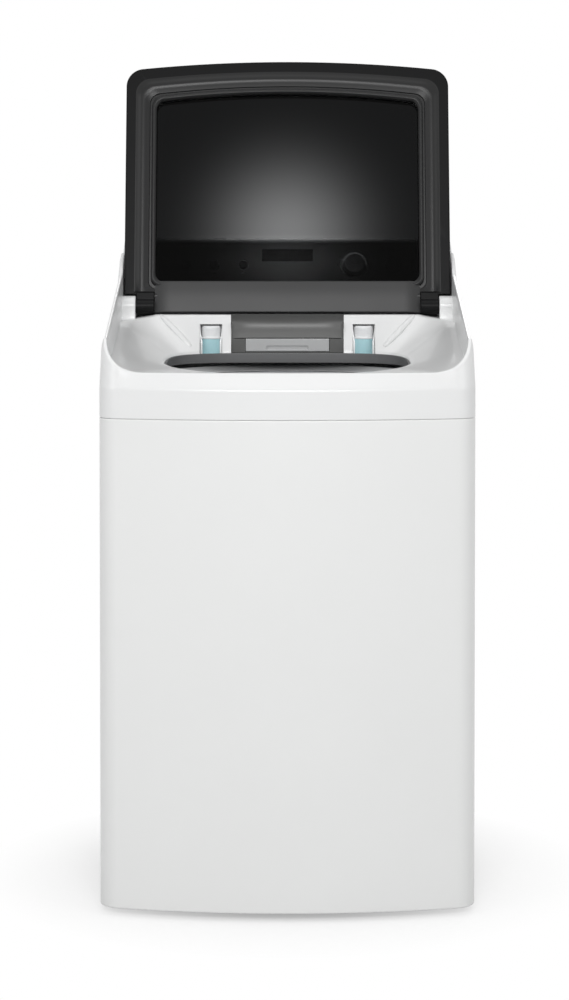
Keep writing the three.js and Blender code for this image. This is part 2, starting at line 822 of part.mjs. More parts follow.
function rearPanel() {
  const outerY = cabinetRearY - sheet - touch;
  const bottomZ = baseTopZ + touch;
  const topZ = seamZ - sheet - touch - edgeFlange * midShare;
  const plate = block([-panelHalfWidth, panelHalfWidth], [outerY - sheet, outerY], [bottomZ, topZ]);
  const beadSpan = topZ - bottomZ;
  const beads = beadShares.map((share) => crossRod(
    sheet, -panelHalfWidth * beadReachShare, panelHalfWidth * beadReachShare, outerY - sheet * midShare,
    bottomZ + beadSpan * share, smallSegments));
  const outletHole = rearwardRod(
    pumpX, outletTubeZ, outletTubeRadius + touch, outerY - overrun, outerY + overrun);
  const cordHole = rearwardRod(
    grommetX, grommetZ, grommetRadius * neckShare + touch, outerY - overrun, outerY + overrun);
  return cut(joined(plate, ...beads), outletHole, cordHole);
}

function baseFrame() {
  const outer = cabinetOutline(sheet + touch);
  const inner = cabinetOutline(sheet + touch + baseWall);
  const tray = prism(outer, baseBottomZ, baseTopZ).subtract(prism(inner, baseFloorZ, baseTopZ + overrun));
  const mouth = roundedRectangle(0, 0, baseOpeningHalfWidth, baseOpeningHalfDepth, baseOpeningRadius);
  const mouthInner = roundedRectangle(
    0, 0, baseOpeningHalfWidth - baseWall, baseOpeningHalfDepth - baseWall, baseOpeningRadius - baseWall);
  const ribTopZ = baseFloorZ + baseHeight * midShare;
  const collar = prism(mouth, baseBottomZ, ribTopZ);
  const bosses = footPlaces.map(({ x, y }) => uprightRod(x, y, footBossRadius, baseBottomZ, ribTopZ));
  const bores = footPlaces.map(({ x, y }) => uprightRod(
    x, y, footStudRadius + touch, baseBottomZ - overrun, baseTopZ, smallSegments));
  const ribs = footPlaces.map(({ x, y }) => block(
    span(Math.sign(x) * (baseOpeningHalfWidth - baseWall * midShare), x),
    [y - baseRibThickness * midShare, y + baseRibThickness * midShare],
    [baseBottomZ, ribTopZ]));
  const solid = joined(tray, collar, ...bosses, ...ribs);
  return cut(solid, prism(mouthInner, baseBottomZ - overrun, baseTopZ + overrun), ...bores);
}

const footPlaces = rodPlaces.map(({ name, x, y }) => ({
  name,
  x: Math.sign(x) * footX,
  y: y < drumY ? -footY : footY,
}));

function roundedRectangle(x, y, halfWidth, halfDepth, radius) {
  const corner = (sideX, sideY, from) => arcPoints(
    x + sideX * (halfWidth - radius), y + sideY * (halfDepth - radius), radius, from, from + quarterTurn, cornerSteps);
  return [
    ...corner(1, 1, 0),
    ...corner(-1, 1, quarterTurn),
    ...corner(-1, -1, 2 * quarterTurn),
    ...corner(1, -1, 3 * quarterTurn),
  ];
}

function foot({ x, y }) {
  const nutTopZ = baseBottomZ - touch;
  const nutBottomZ = nutTopZ - footNutHeight * midShare;
  return turned([
    plan(0, 0),
    plan(footRadius, 0),
    plan(footRadius, footPadHeight * midShare),
    plan(footRadius * footTaperShare, footPadHeight),
    plan(footNutRadius, footPadHeight),
    plan(footNutRadius, nutBottomZ),
    plan(footNutRadius * footTaperShare, nutTopZ),
    plan(footStudRadius, nutTopZ),
    plan(footStudRadius, footStudTopZ),
    plan(0, footStudTopZ),
  ], { x, y, segments: smallSegments });
}

// Console
const fasciaTilt = Math.atan2(fasciaTopZ - fasciaBottomZ, fasciaTopY - fasciaBottomY);
const fasciaHeight = Math.hypot(fasciaTopZ - fasciaBottomZ, fasciaTopY - fasciaBottomY);

function consoleBody(inset, bottomZ) {
  const side = sideProfile([
    plan(consoleFrontY + inset, bottomZ),
    plan(cabinetRearY - inset, bottomZ),
    plan(cabinetRearY - inset, consoleRearZ - inset),
    plan(consoleTopY, consoleTopZ - inset),
    plan(consoleShoulderY, consoleShoulderZ - inset),
    plan(consoleFrontY + inset, rimHeight(consoleFrontY + inset) - inset),
  ], -cabinetWidth, cabinetWidth);
  const ends = prism(bowedOutline({
    halfWidth: rimHalfWidth - inset,
    frontY: cabinetFrontY,
    rearY: cabinetRearY - inset,
    bow: frontBow,
    frontRadius: frontCornerRadius,
    rearRadius: rearCornerRadius - inset,
  }), bottomZ - overrun, consoleTopZ + overrun);
  return side.intersect(ends);
}

// The space in front of the fascia, set back by a depth along its normal
function fasciaPocket(depth, halfWidth) {
  const backY = depth * Math.sin(fasciaTilt);
  const downZ = depth * Math.cos(fasciaTilt);
  return sideProfile([
    plan(consoleFrontY - overrun, fasciaBottomZ - downZ),
    plan(fasciaBottomY + backY, fasciaBottomZ - downZ),
    plan(fasciaTopY + backY, fasciaTopZ - downZ),
    plan(fasciaTopY + backY, consoleTopZ + overrun),
    plan(consoleFrontY - overrun, consoleTopZ + overrun),
  ], -halfWidth, halfWidth);
}

function consoleHousing() {
  const bottomZ = valleyZ + touch;
  const outer = consoleBody(0, bottomZ).subtract(fasciaPocket(fasciaThickness + touch, fasciaHalfWidth));
  const inner = consoleBody(consoleWall, bottomZ - overrun)
    .subtract(fasciaPocket(fasciaThickness + touch + consoleWall, fasciaHalfWidth + consoleWall));
  const valveHoles = valveEnds.map((x) => rearwardRod(
    x, valveZ, valveEndRadius + touch, cabinetRearY - overrun, cabinetRearY + overrun));
  const controlWindow = inFasciaPlane(block(
    [-fasciaHalfWidth * windowShare, fasciaHalfWidth * windowShare],
    [fasciaHeight * windowMarginShare, fasciaHeight * (1 - windowMarginShare)],
    [-overrun, overrun]));
  return cut(outer, inner, controlWindow, ...valveHoles);
}

function inFasciaPlane(solid) {
  const geometry = geometryOf(solid);
  geometry.rotateX(fasciaTilt);
  geometry.translate(0, fasciaBottomY, fasciaBottomZ);
  return solidOf(geometry);
}

// Pieces of the fascia, in its own plane: across, up and out
const buttons = [
  { name: 'power_button', x: powerButtonX, up: dialUp, radius: startButtonRadius },
  { name: 'start_button', x: startButtonX, up: dialUp, radius: startButtonRadius },
  ...Array.from({ length: optionButtonCount }, (_, i) => ({
    name: `option_button_${i + 1}`,
    x: THREE.MathUtils.lerp(optionButtonX, optionButtonEndX, i / (optionButtonCount - 1)),
    up: dialUp,
    radius: buttonRadius,
  })),
];

function controlFascia() {
  const panel = block(
    [-fasciaHalfWidth + touch, fasciaHalfWidth - touch],
    [touch, fasciaHeight - touch],
    [-fasciaThickness, 0]);
  const displaySeat = block(
    [-displayHalfWidth - touch, displayHalfWidth + touch],
    [displayUp - displayHeight * midShare - touch, displayUp + displayHeight * midShare + touch],
    [-displayThickness - touch, overrun]);
  const holes = buttons.map(({ x, up, radius }) => uprightRod(x, up, radius + buttonGap, -overrun, overrun));
  const spindleHole = uprightRod(dialX, dialUp, dialSpindleRadius + running, -overrun, overrun, smallSegments);
  return cut(panel, displaySeat, spindleHole, ...holes);
}

function displayWindow() {
  return block(
    [-displayHalfWidth, displayHalfWidth],
    [displayUp - displayHeight * midShare, displayUp + displayHeight * midShare],
    [-displayThickness, 0]);
}

function dial() {
  const skirt = dialDepth * skirtShare;
  const knob = turned([
    plan(0, -fasciaThickness - dialSpindleLength),
    plan(dialSpindleRadius, -fasciaThickness - dialSpindleLength),
    plan(dialSpindleRadius, running),
    plan(dialRadius, running),
    plan(dialRadius, skirt),
    plan(dialRadius * gripShare, skirt * 2),
    plan(dialRadius * gripShare, dialDepth - dialEdge),
    plan(dialRadius * gripShare - dialEdge, dialDepth),
    plan(0, dialDepth),
  ], { x: dialX, y: dialUp, segments: roundSegments });
  const pointer = block(
    [dialX - dialEdge * midShare, dialX + dialEdge * midShare],
    [dialUp + dialRadius * midShare, dialUp + dialRadius],
    [dialDepth - dialEdge, dialDepth + overrun]);
  return knob.subtract(pointer);
}

function button({ x, up, radius }) {
  const backZ = -fasciaThickness - buttonTravel - buttonGap;
  return turned([
    plan(0, backZ - buttonFlange),
    plan(radius + buttonFlange, backZ - buttonFlange),
    plan(radius + buttonFlange, -fasciaThickness - touch),
    plan(radius, -fasciaThickness - touch),
    plan(radius, buttonDepth - buttonEdge),
    plan(radius - buttonEdge, buttonDepth),
    plan(0, buttonDepth),
  ], { x, y: up, segments: smallSegments });
}

// Detergent drawer, its housing and the dosing cups
const drawerBottomZ = housingBottomZ + touch + housingWall + touch;

function detergentHousing() {
  const frontY = openingRearY + coverSkin + touch;
  const outer = block(
    [-housingHalfWidth + touch, housingHalfWidth - touch],
    [frontY, housingRearY - touch],
    [housingBottomZ + touch, housingTopZ - touch]);
  const lower = block(
    [-drawerHalfWidth - running, drawerHalfWidth + running],
    [frontY - overrun, housingRearY - housingWall],
    [housingBottomZ + touch + housingWall, housingTopZ - housingWall]);
  const upper = block(
    [-housingHalfWidth + housingWall, housingHalfWidth - housingWall],
    [frontY - overrun, housingRearY - housingWall],
    [drawerBottomZ + drawerHeight, housingTopZ - housingWall]);
  return cut(outer, lower, upper);
}

function detergentDrawer() {
  const rearY = drawerFrontY + drawerLength;
  const topZ = drawerBottomZ + drawerHeight;
  const body = block([-drawerHalfWidth, drawerHalfWidth], [drawerFrontY, rearY], [drawerBottomZ, topZ]);
  const divider = drawerHalfWidth * dividerShare;
  const room = (x0, x1) => block(
    [x0, x1],
    [drawerFrontY + drawerFaceThickness, rearY - drawerWall],
    [drawerBottomZ + drawerWall, topZ + overrun]);
  const grip = block(
    [-drawerHalfWidth * midShare, drawerHalfWidth * midShare],
    [drawerFrontY - overrun, drawerFrontY + drawerFaceThickness * midShare],
    [drawerBottomZ + drawerWall, drawerBottomZ + drawerHeight * gripHeightShare]);
  return cut(
    body,
    room(-drawerHalfWidth + drawerWall, divider),
    room(divider + drawerWall, drawerHalfWidth - drawerWall),
    grip);
}

function dosingCup(side) {
  const floorZ = cupFloorZ + touch;
  const neckZ = capBottomZ - touch;
  return turned([
    plan(0, floorZ),
    plan(cupRadius - cupEdge, floorZ),
    plan(cupRadius, floorZ + cupEdge),
    plan(cupRadius, neckZ),
    plan(0, neckZ),
  ], { x: side * cupX, y: cupY });
}

function dosingCap(side) {
  return turned([
    plan(0, capBottomZ),
    plan(cupRadius, capBottomZ),
    plan(cupRadius, capTopZ - cupEdge),
    plan(cupRadius - cupEdge, capTopZ),
    plan(0, capTopZ),
  ], { x: side * cupX, y: cupY });
}

// Water and power
const valveEnds = [valveX - valvePitch * midShare, valveX + valvePitch * midShare];

function inletValve() {
  const backY = cabinetRearY - consoleWall - touch;
  const body = block(
    [valveEnds[0] - valveEndRadius, valveEnds[1] + valveEndRadius],
    [backY - valveBodyDepth, backY - valveShoulder],
    [valveZ - valveEndRadius, valveZ + valveEndRadius]);
  const shoulders = valveEnds.map((x) => rearwardRod(
    x, valveZ, valveEndRadius + valveShoulder, backY - valveShoulder * 2, backY));
  const ends = valveEnds.map((x) => rearwardRod(x, valveZ, valveEndRadius, backY - valveShoulder, valveEndY));
  const bores = valveEnds.map((x) => rearwardRod(
    x, valveZ, valveEndRadius - spigotWall, backY, valveEndY + overrun, smallSegments));
  return cut(joined(body, ...shoulders, ...ends), ...bores);
}

const pumpBottomZ = baseFloorZ + touch;
const pumpTopZ = pumpBottomZ + pumpHeight;
const pumpOutletY = pumpY + pumpRadius + touch;

function drainPump() {
  const volute = pumpHeight * midShare;
  const body = turned(closedProfile([
    plan(bellowsBore, pumpTopZ),
    plan(bellowsBore, pumpBottomZ + volute),
    plan(0, pumpBottomZ + volute),
    plan(0, pumpBottomZ),
    plan(pumpFlangeRadius, pumpBottomZ),
    plan(pumpFlangeRadius, pumpBottomZ + pumpFlange),
    plan(pumpRadius, pumpBottomZ + pumpFlange),
    plan(pumpRadius, pumpTopZ - pumpFlange * 2),
    plan(bellowsBore + spigotWall, pumpTopZ - pumpFlange),
    plan(bellowsBore + spigotWall, pumpTopZ),
  ]), { x: pumpX, y: pumpY });
  const boss = rearwardRod(
    pumpX, pumpBottomZ + volute, spigotRadius + spigotWall, pumpY + pumpRadius * midShare, pumpOutletY + pumpFlange);
  return body.add(boss);
}

function drainOutlet() {
  const startY = pumpOutletY + pumpFlange + touch;
  const startZ = pumpBottomZ + pumpHeight * midShare;
  const rise = new THREE.CatmullRomCurve3([
    new THREE.Vector3(pumpX, startY, startZ),
    new THREE.Vector3(pumpX, startY + outletRun * quarterShare, startZ),
    new THREE.Vector3(pumpX, startY + outletRun * (1 - quarterShare), outletTubeZ),
    new THREE.Vector3(pumpX, startY + outletRun, outletTubeZ),
  ]);
  const hoseSteps = 10;
  const outer = sweptRound(rise, outletTubeRadius, hoseSteps);
  const straight = rearwardRod(
    pumpX, outletTubeZ, outletTubeRadius, startY + outletRun - touch, outletEndY, smallSegments);
  const bore = rearwardRod(
    pumpX, outletTubeZ, outletTubeRadius - spigotWall, cabinetRearY - overrun, outletEndY + overrun, smallSegments);
  const collar = rearwardRod(pumpX, outletTubeZ, outletTubeRadius + collarLip, outletEndY - collarWidth, outletEndY);
  return cut(joined(outer, straight, collar), bore);
}

function sweptRound(curve, radius, steps) {
  const section = new THREE.Shape(arcPoints(0, 0, radius, 0, fullTurn, smallSegments).slice(0, smallSegments));
  return solidOf(new THREE.ExtrudeGeometry(section, { steps, extrudePath: curve, bevelEnabled: false }));
}

// Sump bellows between the tub and the pump
function drainBellows() {
  const bottomZ = pumpTopZ + touch;
  const topZ = tubFloorZ - touch;
  const pitch = (topZ - bottomZ) / bellowsRibs;
  const outside = Array.from({ length: bellowsRibs }, (_, i) => {
    const low = bottomZ + pitch * i;
    return [
      plan(bellowsRadius - bellowsRibDepth, low),
      plan(bellowsRadius, low + pitch * ribRiseShare),
      plan(bellowsRadius, low + pitch * (1 - ribRiseShare)),
    ];
  }).flat();
  return turned(closedProfile([
    plan(bellowsBore, bottomZ),
    ...outside,
    plan(bellowsRadius - bellowsRibDepth, topZ),
    plan(bellowsBore, topZ),
  ]), { x: pumpX, y: pumpY, segments: smallSegments });
}

function powerGrommet() {
  const panelY = cabinetRearY - sheet - touch;
  const outsideY = panelY + touch;
  const neck = rearwardRod(
    grommetX, grommetZ, grommetRadius * neckShare, panelY - sheet - grommetLength * midShare, outsideY + touch);
  const collar = rearwardRod(
    grommetX, grommetZ, grommetRadius, outsideY, outsideY + grommetLength * midShare);
  const inside = rearwardRod(
    grommetX, grommetZ, grommetRadius, panelY - sheet - grommetLength * midShare, panelY - sheet - touch);
  const bore = rearwardRod(
    grommetX, grommetZ, grommetRadius * cordShare, panelY - overrun, cabinetRearY + overrun, smallSegments);
  return cut(joined(neck, collar, inside), bore);
}

function pressureSensor() {
  const bottomZ = valleyZ + touch;
  return turned([
    plan(0, bottomZ),
    plan(sensorRadius, bottomZ),
    plan(sensorRadius, bottomZ + sensorHeight * midShare),
    plan(sensorRadius * neckShare, bottomZ + sensorHeight * midShare),
    plan(sensorRadius * neckShare, bottomZ + sensorHeight - cupEdge),
    plan(sensorRadius * neckShare - cupEdge, bottomZ + sensorHeight),
    plan(0, bottomZ + sensorHeight),
  ], { x: sensorX, y: sensorY });
}

function lidSwitch() {
  const topZ = valleyZ - coverSkin - touch;
  const frontY = pivotY + bossRadius;
  const body = block(
    [switchX, switchX + switchWidth], [frontY, frontY + switchLength], [topZ - switchHeight, topZ]);
  const plunger = uprightRod(
    switchX + switchWidth * midShare, frontY + switchLength * midShare, switchWidth * quarterShare,
    topZ - switchHeight - switchWidth * quarterShare, topZ - switchHeight * midShare, smallSegments);
  return body.add(plunger);
}

// Lid, in its own plane: across, up from the hinge, and towards the drum
const lidOutline = (inset, tail) => flipped(bowedOutline({
  halfWidth: lidHalfWidth - inset,
  frontY: -lidReach + inset,
  rearY: tail - inset,
  bow: lidBow,
  frontRadius: lidCornerRadius - inset,
  rearRadius: lidTailRadius,
}));

const glassOutline = (grow) => flipped(bowedOutline({
  halfWidth: glassHalfWidth + grow,
  frontY: -glassTop - grow,
  rearY: -glassBottom + grow,
  bow: glassBow,
  frontRadius: glassRadius + grow,
  rearRadius: glassRadius + grow,
}));

function flipped(points) {
  return points.map(({ x, y }) => plan(x, -y));
}

// A ring of the lid, part of the way from its outer edge to the glass opening
function lidRing(inset, share, height) {
  const outer = lidOutline(inset, lidTail);
  const inner = glassOutline(0);
  return ringAt(outer.map((corner, i) => corner.clone().lerp(inner[i], share)), height);
}

const sideWidth = lidHalfWidth - glassHalfWidth;
const bandShare = lidBandWidth / sideWidth;
const seatShare = 1 - lidWall / sideWidth;

function lidFrame() {
  const backZ = -lidDepth;
  const shell = moulding([
    lidRing(0, 0, 0),
    lidRing(0, 0, backZ + lidEdgeChamfer),
    lidRing(lidEdgeChamfer, 0, backZ),
    lidRing(0, 1, backZ),
    lidRing(0, 1, -glassSeatDepth - touch),
    lidRing(0, seatShare, -glassSeatDepth - touch),
    lidRing(0, seatShare, backZ + lidWall),
    lidRing(lidEdgeChamfer + lidWall * midShare, 0, backZ + lidWall),
    lidRing(lidWall, 0, backZ + lidEdgeChamfer + lidWall * midShare),
    lidRing(lidWall, 0, -lidWall),
    lidRing(0, bandShare, -lidWall),
    lidRing(0, bandShare, 0),
  ]);
  const knuckles = mirroredPair((side) => {
    const reach = span(side * knuckleInnerX, side * bossInnerX - side * touch * 2);
    const barrel = crossRod(knuckleRadius, reach[0], reach[1], 0, 0);
    const web = block(reach, [-lidTail, lidRelief + lidWall], [-lidDepth + lidWall * midShare, 0]);
    const corner = block(
      span(side * knuckleInnerX, side * (lidHalfWidth - lidWall * midShare)),
      [-lidTail + lidWall * midShare, lidRelief + lidWall],
      [-lidDepth + lidEdgeChamfer, -lidWall * midShare]);
    return joined(barrel, web, corner);
  });
  const reliefs = mirroredPair((side) => block(
    span(side * (bossInnerX - touch * 2), side * (lidHalfWidth + overrun)),
    [-lidTail - overrun, lidRelief],
    [-lidDepth - overrun, overrun]));
  const pinBores = mirroredPair((side) => crossRod(
    pinRadius + touch, ...span(side * pinInnerX - side * touch, side * lidHalfWidth), 0, 0, smallSegments));
  return cut(joined(shell, ...knuckles), ...reliefs, ...pinBores);
}

function lidInnerFrame() {
  const topZ = shoulderHeight;
  const underZ = -glassSeatDepth + glassThickness + touch;
  const startShare = bandShare + touch / sideWidth;
  const ridgeShare = 1 - ridgeWidth / sideWidth;
  const grooveShare = ridgeShare - grooveWidth / sideWidth;
  const body = moulding([
    lidRing(0, startShare, -lidWall),
    lidRing(0, startShare, 0),
    lidRing(0, startShare + (grooveShare - startShare) * quarterShare, topZ * midShare),
    lidRing(0, startShare + (grooveShare - startShare) * midShare, topZ),
    lidRing(0, grooveShare - (grooveShare - startShare) * quarterShare, topZ * midShare),
    lidRing(0, grooveShare, 0),
    lidRing(0, grooveShare, -grooveDepth),
    lidRing(0, ridgeShare, -grooveDepth),
    lidRing(0, ridgeShare, topZ),
    lidRing(0, (ridgeShare + 1) * midShare, ridgeHeight),
    lidRing(0, 1, topZ * midShare),
    lidRing(0, 1, underZ),
    lidRing(0, seatShare, underZ),
    lidRing(0, ridgeShare, -grooveDepth - lidWall),
  ]);
  const grip = prism(
    roundedRectangle(0, (gripBottom + gripTop) * midShare, gripHalfWidth, (gripTop - gripBottom) * midShare,
      (gripTop - gripBottom) * quarterShare),
    topZ * midShare - gripDepth, topZ + overrun);
  const knuckleRoom = mirroredPair((side) => block(
    span(side * (knuckleInnerX - running), side * (lidHalfWidth + overrun)),
    [-lidTail - overrun, lidRelief + lidWall + running],
    [-lidDepth, overrun]));
  return cut(body, grip, ...knuckleRoom);
}

function lidGlass() {
  return prism(glassOutline(seatLap), -glassSeatDepth, -glassSeatDepth + glassThickness);
}

function hingePin(side) {
  return crossRod(pinRadius, ...span(side * pinInnerX, side * pinOuterX), 0, 0, smallSegments);
}

// Tub and everything that hangs with it
function outerTub() {
  const floorTopZ = tubFloorZ + tubFloorThickness;
  const bowl = turned(closedProfile([
    plan(bearingOuterRadius + touch, tubFloorZ),
    plan(carrierRibRadius, tubFloorZ),
    plan(carrierRibRadius, carrierTopZ + touch),
    plan(carrierRibRadius + carrierRibWidth, carrierTopZ + touch),
    plan(carrierRibRadius + carrierRibWidth, tubFloorZ),
    plan(tubFloorRadius - tubCornerRadius, tubFloorZ),
    plan(tubFloorRadius, tubFloorZ + tubCornerRadius),
    plan(tubRadius, tubRimZ),
    plan(tubRadius - tubWall, tubRimZ),
    plan(tubFloorRadius - tubWall, floorTopZ + tubCornerRadius),
    plan(tubFloorRadius - tubCornerRadius, floorTopZ),
    plan(tubHubRadius, floorTopZ),
    plan(tubHubRadius, tubHubTopZ),
    plan(bearingOuterRadius + touch, tubHubTopZ),
  ]), { y: drumY, segments: drumSegments });
  const hollow = turned([
    plan(0, tubFloorZ),
    plan(tubFloorRadius - tubWall * midShare, tubFloorZ + tubCornerRadius),
    plan(tubRadius - tubWall * midShare, tubRimZ),
    plan(0, tubRimZ),
  ], { y: drumY, segments: drumSegments });
  const lugs = rodPlaces.map(({ x, y }) => {
    const angle = Math.atan2(y - drumY, x);
    const reach = Math.hypot(x, y - drumY);
    const arm = prism([
      plan(tubFloorRadius - tubWall, -lugRadius),
      plan(reach, -lugRadius * lugTaperShare),
      plan(reach, lugRadius * lugTaperShare),
      plan(tubFloorRadius - tubWall, lugRadius),
    ].map((corner) => turnedAbout(corner, angle)), lugZ, lugZ + lugThickness);
    const pad = uprightRod(x, y, lugRadius * lugTaperShare, lugZ, lugZ + lugThickness);
    const hole = uprightRod(x, y, rodRadius + lugPlay, lugZ - overrun, lugZ + overrun, smallSegments);
    return joined(arm, pad).subtract(hollow).subtract(hole);
  });
  const sump = uprightRod(pumpX, pumpY, bellowsBore, tubFloorZ - overrun, floorTopZ + overrun, smallSegments);
  return cut(joined(bowl, ...lugs), sump);
}

function turnedAbout({ x, y }, angle) {
  return plan(
    x * Math.cos(angle) - y * Math.sin(angle),
    drumY + x * Math.sin(angle) + y * Math.cos(angle));
}

function tubCoverRing() {
  const underZ = tubRimZ + touch;
  const outerRadius = tubRadius + touch + tubWall;
  return turned(closedProfile([
    plan(tubRingInnerRadius, tubRingTopZ - tubWall),
    plan(tubRadius + touch, underZ),
    plan(tubRadius + touch, underZ - tubRingSkirt),
    plan(outerRadius, underZ - tubRingSkirt),
    plan(outerRadius, tubRingTopZ - tubWall),
    plan(tubRadius, tubRingTopZ),
    plan(tubRingInnerRadius + tubWall, tubRingTopZ),
    plan(tubRingInnerRadius, tubRingTopZ - tubWall * midShare),
  ]), { y: drumY, segments: drumSegments });
}

function tubCarrier() {
  const bottomZ = carrierTopZ - carrierThickness;
  const hub = prism(arcPoints(0, drumY, carrierHubRadius, 0, fullTurn, roundSegments).slice(0, roundSegments),
    bottomZ, carrierTopZ);
  const arms = rodPlaces.map(({ x, y }) => {
    const angle = Math.atan2(y - drumY, x);
    const half = carrierArmWidth * midShare;
    return prism([
      plan(0, -half),
      plan(carrierArmReach, -half * carrierTaperShare),
      plan(carrierArmReach, half * carrierTaperShare),
      plan(0, half),
    ].map((corner) => turnedAbout(corner, angle)), bottomZ, carrierTopZ);
  });
  const motorArm = block(
    [motorX - motorRadius, 0], [motorY - motorMountHalfWidth, motorY + motorMountHalfWidth], [bottomZ, carrierTopZ]);
  const bore = uprightRod(0, drumY, bearingOuterRadius + touch, bottomZ - overrun, carrierTopZ + overrun);
  return joined(hub, ...arms, motorArm).subtract(bore);
}

function tubBearing() {
  const bottomZ = tubHubTopZ - bearingHeight;
  return turned(closedProfile([
    plan(spinShaftRadius + running, bottomZ),
    plan(bearingOuterRadius, bottomZ),
    plan(bearingOuterRadius, tubHubTopZ - touch),
    plan(spinShaftRadius + running, tubHubTopZ - touch),
  ]), { y: drumY });
}

function gearcase() {
  const topZ = carrierTopZ - carrierThickness - touch;
  return turned(closedProfile([
    plan(spinShaftRadius + running, gearcaseBottomZ + gearcaseEdge),
    plan(gearcaseRadius * neckShare, gearcaseBottomZ),
    plan(gearcaseRadius, gearcaseBottomZ + gearcaseEdge),
    plan(gearcaseRadius, topZ - gearcaseFlange),
    plan(gearcaseFlangeRadius, topZ - gearcaseFlange),
    plan(gearcaseFlangeRadius, topZ),
    plan(spinShaftRadius + running, topZ),
  ]), { y: drumY });
}

function motor() {
  const topZ = carrierTopZ - carrierThickness - touch;
  return turned([
    plan(0, motorBottomZ),
    plan(motorRadius * neckShare, motorBottomZ),
    plan(motorRadius, motorBottomZ + gearcaseEdge),
    plan(motorRadius, topZ - gearcaseEdge * 2),
    plan(motorRadius * neckShare, topZ - gearcaseEdge),
    plan(motorRadius * neckShare, topZ),
    plan(0, topZ),
  ], { x: motorX, y: motorY });
}

// A flanged pulley on a hub, with its middle at the belt
function pulleyProfile(radius, boreRadius) {
  const half = beltWidth * midShare + running;
  const rimZ = half + pulleyFlange;
  return [
    plan(boreRadius, pulleyZ - rimZ),
    plan(radius + pulleyFlange, pulleyZ - rimZ),
    plan(radius + pulleyFlange, pulleyZ - half),
    plan(radius, pulleyZ - half),
    plan(radius, pulleyZ + half),
    plan(radius + pulleyFlange, pulleyZ + half),
    plan(radius + pulleyFlange, pulleyZ + rimZ),
    plan(boreRadius, pulleyZ + rimZ),
  ];
}

function drivePulley() {
  return turned(closedProfile(pulleyProfile(drivePulleyRadius, driveShaftRadius + touch)),
    { y: drumY, segments: drumSegments * midShare });
}

function motorPulley() {
  const outline = pulleyProfile(motorPulleyRadius, motorShaftRadius);
  const shaftTopZ = motorBottomZ - touch;
  return turned([
    plan(0, outline[0].y),
    ...outline,
    plan(motorShaftRadius, shaftTopZ),
    plan(0, shaftTopZ),
  ], { x: motorX, y: motorY });
}

function driveBelt() {
  const inner = beltLoop(touch);
  const outer = beltLoop(touch + beltThickness);
  const half = beltWidth * midShare;
  return prism(outer, pulleyZ - half, pulleyZ + half)
    .subtract(prism(inner, pulleyZ - half - overrun, pulleyZ + half + overrun));
}

function beltLoop(grow) {
  const flatGain = 1 / Math.cos(quarterTurn / smallSegments); // the flats stay clear of the round pulleys
  const large = (drivePulleyRadius + grow) * flatGain;
  const small = (motorPulleyRadius + grow) * flatGain;
  const between = Math.abs(motorX);
  const lean = Math.acos((large - small) / between);
  const aroundMotor = arcPoints(motorX, motorY, small, Math.PI - lean, Math.PI + lean, smallSegments);
  const aroundDrum = arcPoints(0, drumY, large, lean - Math.PI, Math.PI - lean, roundSegments);
  return [...aroundMotor, ...aroundDrum];
}

// What spins: basket, balance ring, filters and the hollow shaft
function basket() {
  const wallInner = basketRadius - basketWall;
  const bendRadius = basketFloorRise;
  const floorTopZ = basketFloorZ + basketWall;
  return turned(closedProfile([
    plan(driveShaftRadius + lugPlay, basketFloorZ),
    plan(basketRadius - bendRadius, basketFloorZ),
    plan(basketRadius, basketFloorZ + bendRadius),
    plan(basketRadius, basketRimZ),
    plan(wallInner, basketRimZ),
    plan(wallInner, floorTopZ + bendRadius),
    plan(basketRadius - bendRadius - basketWall * midShare, floorTopZ),
    plan(driveShaftRadius + lugPlay, floorTopZ),
  ]), { y: drumY, segments: drumSegments });
}

function balanceRing() {
  const collarZ = basketRimZ + touch;
  return turned(closedProfile([
    plan(balanceInnerRadius, balanceBottomZ),
    plan(basketRadius - basketWall - touch, balanceBottomZ),
    plan(basketRadius - basketWall - touch, collarZ),
    plan(basketRadius, collarZ),
    plan(basketRadius, balanceTopZ - balanceEdge),
    plan(tubRingInnerRadius - balanceEdge, balanceTopZ),
    plan(balanceInnerRadius + balanceEdge, balanceTopZ),
    plan(balanceInnerRadius, balanceTopZ - balanceEdge),
  ]), { y: drumY, segments: drumSegments });
}

function lintFilter(side) {
  const wallInner = basketRadius - basketWall - touch;
  const halfAngle = Math.asin(lintFilterHalfWidth / wallInner);
  const middle = side > 0 ? 0 : Math.PI;
  const outside = arcPoints(0, drumY, wallInner * facetShare, middle - halfAngle, middle + halfAngle, cornerSteps);
  const inside = arcPoints(
    0, drumY, wallInner - lintFilterDepth, middle - halfAngle * gripShare, middle + halfAngle * gripShare, cornerSteps);
  return prism([...outside, ...inside.reverse()], lintFilterBottomZ, lintFilterTopZ);
}

function spinShaft() {
  const topZ = basketFloorZ - touch;
  return turned(closedProfile([
    plan(driveShaftRadius + running, spinShaftBottomZ),
    plan(spinShaftRadius, spinShaftBottomZ),
    plan(spinShaftRadius, tubHubTopZ + running),
    plan(basketHubRadius, topZ - basketHubThickness),
    plan(basketHubRadius, topZ),
    plan(driveShaftRadius + running, topZ),
  ]), { y: drumY });
}

// Pulsator: a dished plate with a domed hub and swept vanes
function pulsatorTop(radius) {
  const share = radius / pulsatorRadius;
  return pulsatorZ + pulsatorThickness + pulsatorDish * share * share;
}

